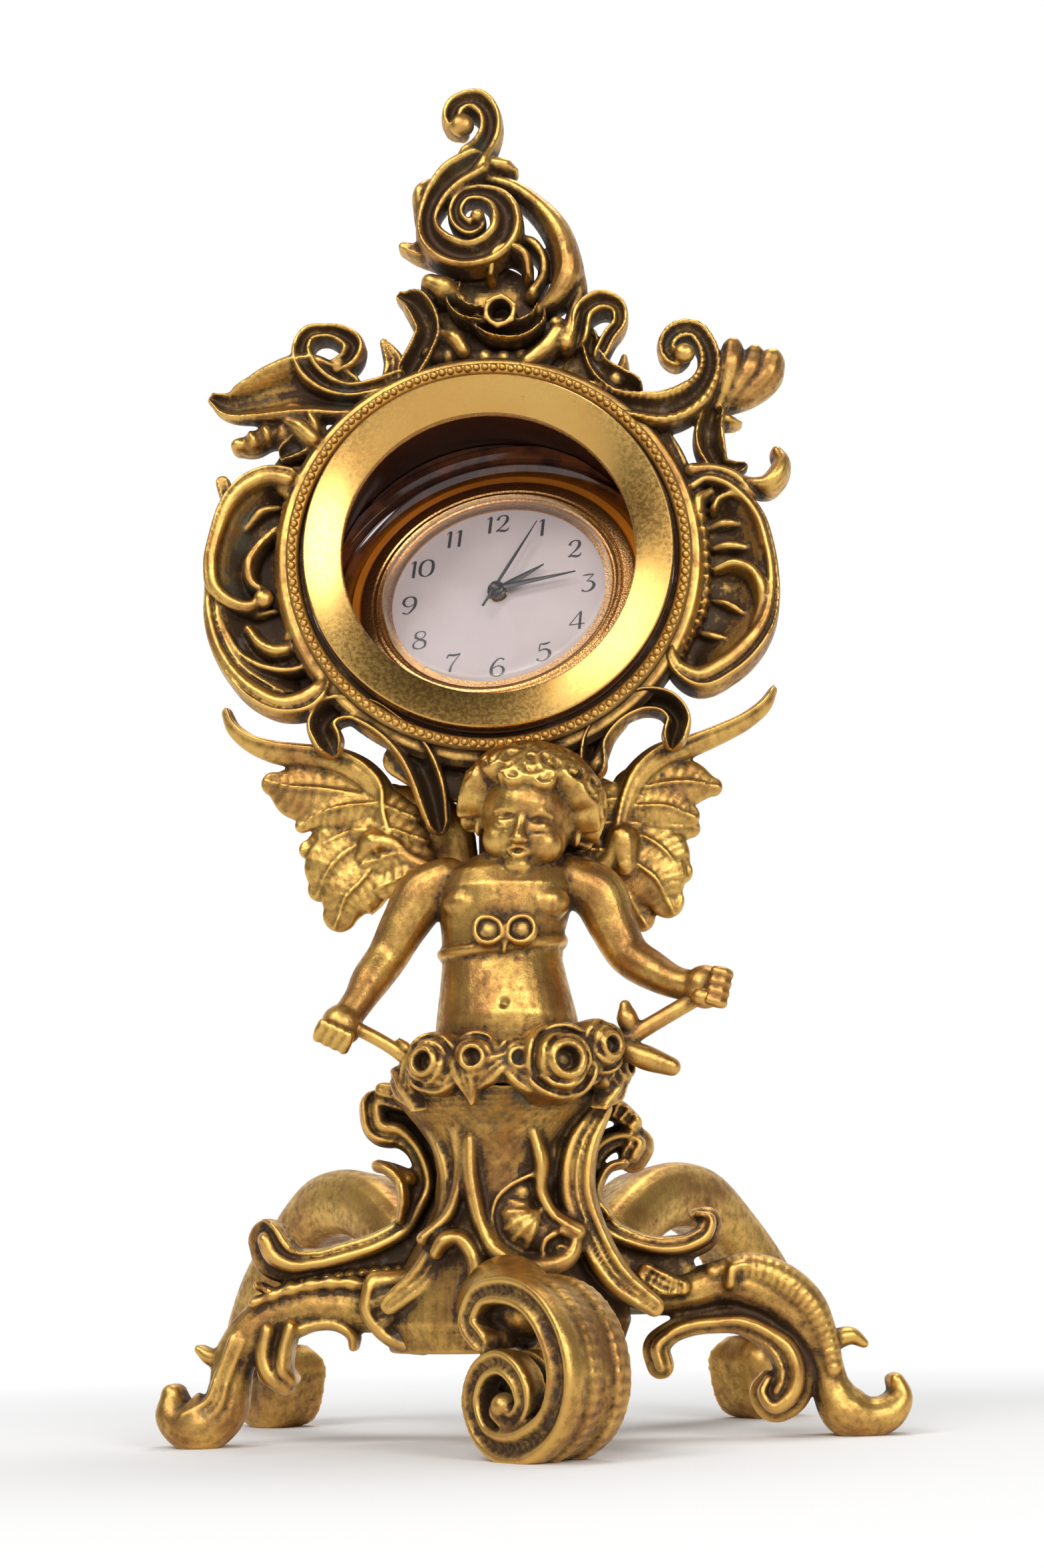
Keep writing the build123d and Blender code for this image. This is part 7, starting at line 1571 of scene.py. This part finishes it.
class CLOCK_OT_pedestal(bpy.types.Operator):
    """Hollow-waisted pedestal with its scrolls and ribbed snail panel"""

    bl_idname = "clock.pedestal"
    bl_label = "Pedestal"

    def execute(self, context):
        clay = Clay()
        rows = []
        body = [(0.26, -0.03, 0.34, 0.33), (0.34, -0.01, 0.37, 0.33), (0.42, 0.0, 0.36, 0.32),
                (0.5, 0.02, 0.3, 0.3), (0.58, 0.04, 0.25, 0.28), (0.68, 0.07, 0.2, 0.25),
                (0.77, 0.1, 0.19, 0.23),
                (0.84, 0.12, 0.2, 0.23), (0.9, 0.14, 0.24, 0.24), (0.96, 0.165, 0.29, 0.26),
                (0.995, 0.18, 0.32, 0.27)]
        for height, ahead, wide, deep in body:
            rows.append([(wide * stand_unit * math.cos(a),
                          -ahead * stand_unit + deep * stand_unit * math.sin(a),
                          height * stand_unit) for a in around(48)])
        clay.skin(rows, room)
        self.scrolls(clay)
        self.front(clay)
        piece = clay.melt("pedestal_body", sizes().stand_grain)
        dress(piece, "gilt_bronze", replaces=("pedestal_casting",))
        return {"FINISHED"}

    def scrolls(self, clay):
        for shares, flip in ((left_c_stand_share, False), (right_c_stand_share, True)):
            side_strand(clay, broad(shares, 1.3), 2.2, 2.4, "step", flip=not flip)
            side_strand(clay, broad(shares, 0.55), 3.6, 1.3)
        side_strand(clay, left_stand_web_share, 1.0, 1.6, "flat", even=True)
        side_strand(clay, right_stand_web_share, 1.0, 1.6, "flat", even=True)
        side_strand(clay, left_top_leaf_share, 3.4, 2.6, "leaf")
        side_strand(clay, right_top_leaf_share, 3.4, 2.6, "leaf", ripples=7, ripple=0.25)
        side_strand(clay, ped_top_left_leaf_share, 4.4, 2.0, "leaf")
        side_strand(clay, ped_left_curl_share, 4.4, 2.4)
        side_strand(clay, ped_right_lip_share, 4.6, 2.6)
        side_strand(clay, ped_left_c_lip_share, 2.4, 1.4, ripples=12, ripple=0.4)
        side_strand(clay, left_curl_stand_share, 3.0, 2.2)

    def front(self, clay):
        front = bench(y=panel_back)
        clay.strand(front, scaled(broad(panel_share, 1.3), stand_unit), 0.8, 1.9, deep=3.0)
        clay.strand(front, scaled(ped_panel_inner_share, stand_unit), 0.6, 1.4, deep=3.0)
        clay.strand(front, scaled(broad(panel_snail_share, 1.35), stand_unit), 0.4, 1.8, deep=2.6,
                    ripples=12, ripple=0.16)
        clay.spiral(front, (0.165 * stand_unit, 0.535 * stand_unit), 1.6, 1.2, 0.9, 1.5, 0.45, start=100,
                    deep=2.5)
        clay.strand(front, scaled(ped_centre_ridge_share, stand_unit), 0.4, 1.7, deep=3.0)
        clay.strand(front, scaled(ped_left_ridge_share, stand_unit), 0.0, 1.6, deep=3.0)
        clay.strand(front, scaled(ped_lower_curl_share, stand_unit), 1.2, 1.8, deep=3.5)
        for step, leaf in enumerate(acanthus_share):
            clay.strand(front, scaled(leaf, stand_unit), -1.9 + 0.3 * (step % 3), 1.7, "leaf", deep=4.0)


class CLOCK_OT_side_legs(bpy.types.Operator):
    """Left and right legs, with leaf scrolls and curled feet"""

    bl_idname = "clock.side_legs"
    bl_label = "Side legs"

    def execute(self, context):
        clay = Clay()
        side_strand(clay, broad(left_leg_share, 1.12), 1.2, 2.1, deep=4.0)
        side_strand(clay, left_hook_share, 1.8, 1.5, deep=2.6)
        side_strand(clay, left_point_share, 1.2, 1.0, deep=2.6)
        side_strand(clay, left_curl_a_share, 2.2, 1.8)
        side_strand(clay, left_curl_b_share, 2.4, 1.8)
        side_strand(clay, broad(left_c_stand_share[9:], 1.3), 2.2, 2.2, "step", flip=True)
        self.fan(clay)
        lip = [(-0.2, 0.46, 0.02), (-0.36, 0.45, 0.02), (-0.5, 0.465, 0.02), (-0.62, 0.45, 0.02),
               (-0.74, 0.41, 0.015)]
        side_strand(clay, broad(lip, 1.25), 2.5, 1.5, ripples=9, ripple=0.1, scallop=0.1)
        foot = [(-0.79, 0.3, 0.03), (-0.83, 0.2, 0.03), (-0.86, 0.12, 0.035), (-0.93, 0.08, 0.035)]
        side_strand(clay, foot, 2.6, 1.2, "leaf")
        piece = clay.melt("left_leg_casting", sizes().stand_grain)
        stand_on_floor(piece)
        dress(piece, "gilt_bronze", replaces=("left_leg",))
        clay = Clay()
        side_strand(clay, right_leg_share, 1.2, 2.1, deep=4.0)
        side_strand(clay, broad(right_arch_share, 1.35), 2.4, 1.8, "step", flip=True)
        side_strand(clay, broad(right_arch_share, 0.6), 3.6, 1.2)
        side_strand(clay, right_tip_share, 1.2, 1.0, deep=2.6)
        side_strand(clay, broad(right_c_stand_share[9:], 1.3), 2.2, 2.2, "step")
        side_strand(clay, leg_right_crest_curl_share, 2.4, 1.6)
        side_strand(clay, leg_right_foliage_share, 3.4, 1.8, "leaf", ripples=6, ripple=0.3)
        crest = [(0.62, 0.47, 0.025), (0.72, 0.48, 0.035), (0.82, 0.44, 0.04), (0.89, 0.37, 0.04),
                 (0.93, 0.29, 0.03),
                 (0.95, 0.2, 0.025)]
        side_strand(clay, broad(crest, 1.35), 2.3, 1.7, ripples=22, ripple=0.14)
        piece = clay.melt("right_leg_casting", sizes().stand_grain)
        stand_on_floor(piece)
        dress(piece, "gilt_bronze", replaces=("right_leg",))
        return {"FINISHED"}

    def fan(self, clay):
        """Shell of ribs under a rolled edge"""
        hinge = (-0.13, 0.52)
        arc = [(-0.37, 0.46), (-0.38, 0.4), (-0.35, 0.345), (-0.3, 0.305), (-0.235, 0.29), (-0.17, 0.3)]
        for x, y in arc:
            middle = ((x + hinge[0]) / 2 - 0.01, (y + hinge[1]) / 2 - 0.015)
            points = [(hinge[0], hinge[1], 0.012), (middle[0], middle[1], 0.026), (x, y, 0.036)]
            side_strand(clay, points, 6.0, 1.2, deep=4.5)
        edge = [(x * 1.04, y - 0.01, 0.024) for x, y in arc]
        side_strand(clay, edge, 6.0, 1.7, deep=4.5)
        hood = [(-0.22, 0.5, 0.025), (-0.2, 0.555, 0.03), (-0.14, 0.575, 0.035), (-0.09, 0.53, 0.035),
                (-0.08, 0.45, 0.035), (-0.1, 0.37, 0.03), (-0.15, 0.31, 0.025)]
        side_strand(clay, hood, 6.6, 2.0, deep=5.0)


class CLOCK_OT_front_leg(bpy.types.Operator):
    """Volute leg in front, with its ribbed outer band"""

    bl_idname = "clock.front_leg"
    bl_label = "Front leg"

    def execute(self, context):
        clay = Clay()
        place = bench(x=3.4, y=-20.6, turn=-45.0)
        points = scaled(front_leg_share, stand_unit)
        clay.strand(place, points, 2.5, 1.1, "channel", deep=1.6)
        wide = [(x, y, r * 1.04) for x, y, r in points[:12]]
        clay.strand(place, wide, 0.9, 0.9, deep=1.2, ripples=44, scallop=0.05)
        clay.strand(place, [(x, y, r * 0.86) for x, y, r in points], -0.3, 0.4, "flat", deep=2.9)
        clay.strand(place, [(x, y, r * 1.02) for x, y, r in points[:12]], -1.9, 0.6, deep=1.6, ripples=40,
                    scallop=0.04)
        x, y, r = points[-1]
        clay.ball(place, (x + 0.3, y + 0.3, 2.6), 1.1, (1, 1, 1.1))
        clay.limb(room, [(0, -9.5, 12.0, 4.0), (1.0, -13.5, 12.6, 3.8), (2.2, -17.0, 12.0, 3.0)], sides=24)
        piece = clay.melt("front_leg_casting", sizes().stand_grain)
        stand_on_floor(piece)
        dress(piece, "gilt_bronze", replaces=("front_leg",))
        return {"FINISHED"}


class CLOCK_OT_rear_legs(bpy.types.Operator):
    """Arched legs behind"""

    bl_idname = "clock.rear_legs"
    bl_label = "Rear legs"

    def execute(self, context):
        for side, name in ((-1, "left"), (1, "right")):
            clay = Clay()
            place = bench(x=side * 5.0, y=8.0, turn=side * 48.7, mirrored=side < 0)
            points = scaled(rear_leg_share, stand_unit)
            slim = broad(points[:6], 0.74) + broad(points[6:8], 0.85) + points[8:]
            clay.strand(place, slim, 1.2, 2.4, deep=4.4)
            x, y, r = points[-1]
            clay.ball(place, (x, y, 1.8), r * 0.9, (1, 1, 0.9))
            piece = clay.melt(f"rear_{name}_leg_casting", 0.26)
            stand_on_floor(piece)
            dress(piece, "gilt_bronze", replaces=(f"rear_{name}_leg",))
        return {"FINISHED"}


class CLOCK_OT_patina(bpy.types.Operator):
    """Wear and painted highlight on ridges, patina and painted shade in hollows, from the shape of the
    castings
    """

    bl_idname = "clock.patina"
    bl_label = "Patina"

    def execute(self, context):
        weather()
        return {"FINISHED"}


class CLOCK_OT_stage(bpy.types.Operator):
    """Pale floor, soft lamps, world and camera"""

    bl_idname = "clock.stage"
    bl_label = "Stage"

    def execute(self, context):
        bpy.ops.object.select_all(action="DESELECT")
        bpy.ops.mesh.primitive_plane_add(size=6.0)
        floor = context.object
        floor.name = "pale_floor"
        finish = Finish("floor_paint")
        finish.set(colour=finish.mix(finish.noise(40.0), (0.86, 0.86, 0.86), (0.88, 0.88, 0.88)), metal=0.0,
                   rough=0.8)
        glow = finish.node("ShaderNodeEmission")
        reach = finish.node("ShaderNodeVectorMath", operation="LENGTH")
        finish.link(finish.where, reach.inputs[0])
        path = finish.node("ShaderNodeLightPath")
        seen = finish.maths("MAXIMUM", path.outputs["Is Camera Ray"], path.outputs["Is Glossy Ray"])
        seen = finish.maths("MAXIMUM", seen, path.outputs["Is Transmission Ray"])
        far = finish.maths("MULTIPLY", finish.span(reach.outputs["Value"], 0.04, 0.16), seen)
        blend = finish.node("ShaderNodeMixShader")
        finish.link(far, blend.inputs[0])
        finish.link(finish.shader.outputs[0], blend.inputs[1])
        finish.link(glow.outputs[0], blend.inputs[2])
        finish.link(blend.outputs[0], finish.output.inputs["Surface"])
        floor.data.materials.append(finish.material)
        self.world(context)
        self.lamp("key_lamp", (-0.3, -0.38, 0.48), 0.34, 1.6)
        self.lamp("side_lamp", (0.33, -0.56, 0.27), 0.26, 1.7)
        self.lamp("front_lamp", (-0.08, -0.62, 0.3), 0.3, 1.3)
        self.lamp("top_lamp", (0.1, 0.12, 0.6), 0.3, 1.1)
        self.camera(context)
        scene = context.scene
        scene.view_settings.view_transform = "Standard"
        return {"FINISHED"}

    def world(self, context):
        world = bpy.data.worlds.new("studio")
        context.scene.world = world
        world.use_nodes = True
        tree = world.node_tree
        tree.nodes.clear()
        coordinate = tree.nodes.new("ShaderNodeTexCoord")
        parts = tree.nodes.new("ShaderNodeSeparateXYZ")
        front = tree.nodes.new("ShaderNodeMapRange")
        for key, value in zip(("From Min", "From Max", "To Min", "To Max"), (-0.2, 0.75, 0.06, 1.0)):
            front.inputs[key].default_value = value
        path = tree.nodes.new("ShaderNodeLightPath")
        mirrored = tree.nodes.new("ShaderNodeMath")
        mirrored.operation = "MAXIMUM"
        tree.links.new(path.outputs["Is Glossy Ray"], mirrored.inputs[0])
        tree.links.new(path.outputs["Is Transmission Ray"], mirrored.inputs[1])
        shown = tree.nodes.new("ShaderNodeMix")
        shown.inputs[2].default_value = 0.36
        tree.links.new(mirrored.outputs[0], shown.inputs[0])
        tree.links.new(front.outputs["Result"], shown.inputs[3])
        mix = tree.nodes.new("ShaderNodeMix")
        mix.data_type = "RGBA"
        back = tree.nodes.new("ShaderNodeBackground")
        out = tree.nodes.new("ShaderNodeOutputWorld")
        tree.links.new(coordinate.outputs["Generated"], parts.inputs[0])
        tree.links.new(parts.outputs["Y"], front.inputs["Value"])
        tree.links.new(path.outputs["Is Camera Ray"], mix.inputs[0])
        tree.links.new(shown.outputs[0], mix.inputs[6])
        mix.inputs[7].default_value = (1, 1, 1, 1)
        tree.links.new(mix.outputs[2], back.inputs["Color"])
        tree.links.new(back.outputs[0], out.inputs["Surface"])

    def lamp(self, name, spot, size, power):
        data = bpy.data.lights.new(name, "AREA")
        data.shape = "DISK"
        data.size = size
        data.energy = power
        lamp = bpy.data.objects.new(name, data)
        bpy.context.scene.collection.objects.link(lamp)
        aim = lamp_aim - Vector(spot)
        lamp.matrix_world = Matrix.Translation(spot) @ aim.to_track_quat("-Z", "Y").to_matrix().to_4x4()

    def camera(self, context):
        yaw = math.radians(-1.367)
        pitch = math.radians(12.973)
        roll = math.radians(1.2)
        ahead = Vector((math.sin(yaw) * math.cos(pitch), math.cos(yaw) * math.cos(pitch), math.sin(pitch)))
        right = Vector((math.cos(yaw), -math.sin(yaw), 0))
        up = right.cross(ahead)
        across = right * math.cos(roll) - up * math.sin(roll)
        top = up * math.cos(roll) + right * math.sin(roll)
        data = bpy.data.cameras.new("photo_view")
        data.lens = 50
        data.sensor_width = 36
        data.clip_start = 0.01
        camera = bpy.data.objects.new("photo_view", data)
        context.scene.collection.objects.link(camera)
        place = Matrix((across, top, -ahead)).transposed().to_4x4()
        place.translation = photo_eye
        camera.matrix_world = place
        context.scene.camera = camera


class CLOCK_PT_panel(bpy.types.Panel):
    """Clock tools in the 3D view's sidebar"""

    bl_idname = "CLOCK_PT_panel"
    bl_label = "Miniature clock"
    bl_space_type = "VIEW_3D"
    bl_region_type = "UI"
    bl_category = "Clock"

    def draw(self, context):
        column = self.layout.column()
        for group in (context.scene.clock_sizes, context.scene.clock_colours):
            for name in group.__annotations__:
                column.prop(group, name)
        for operator in OPERATORS:
            column.operator(operator.bl_idname)


OPERATORS = (CLOCK_OT_finishes, CLOCK_OT_scroll_frame, CLOCK_OT_crest, CLOCK_OT_flower, CLOCK_OT_rims,
             CLOCK_OT_insert, CLOCK_OT_hands, CLOCK_OT_child, CLOCK_OT_wings, CLOCK_OT_garland,
             CLOCK_OT_pedestal, CLOCK_OT_side_legs, CLOCK_OT_front_leg, CLOCK_OT_rear_legs, CLOCK_OT_patina,
             CLOCK_OT_stage)


def register():
    for kind in (ClockSizes, ClockColours, *OPERATORS, CLOCK_PT_panel):
        bpy.utils.register_class(kind)
    bpy.types.Scene.clock_sizes = PointerProperty(type=ClockSizes)
    bpy.types.Scene.clock_colours = PointerProperty(type=ClockColours)


def unregister():
    del bpy.types.Scene.clock_colours
    del bpy.types.Scene.clock_sizes
    for kind in reversed((ClockSizes, ClockColours, *OPERATORS, CLOCK_PT_panel)):
        bpy.utils.unregister_class(kind)


def main():
    register()
    bpy.ops.clock.finishes()
    bpy.ops.clock.scroll_frame()
    bpy.ops.clock.crest()
    bpy.ops.clock.flower()
    bpy.ops.clock.rims()
    bpy.ops.clock.insert()
    bpy.ops.clock.hands()
    bpy.ops.clock.child()
    bpy.ops.clock.wings()
    bpy.ops.clock.garland()
    bpy.ops.clock.pedestal()
    bpy.ops.clock.side_legs()
    bpy.ops.clock.front_leg()
    bpy.ops.clock.rear_legs()
    bpy.ops.clock.patina()
    bpy.ops.clock.stage()


if __name__ == "__main__":
    main()
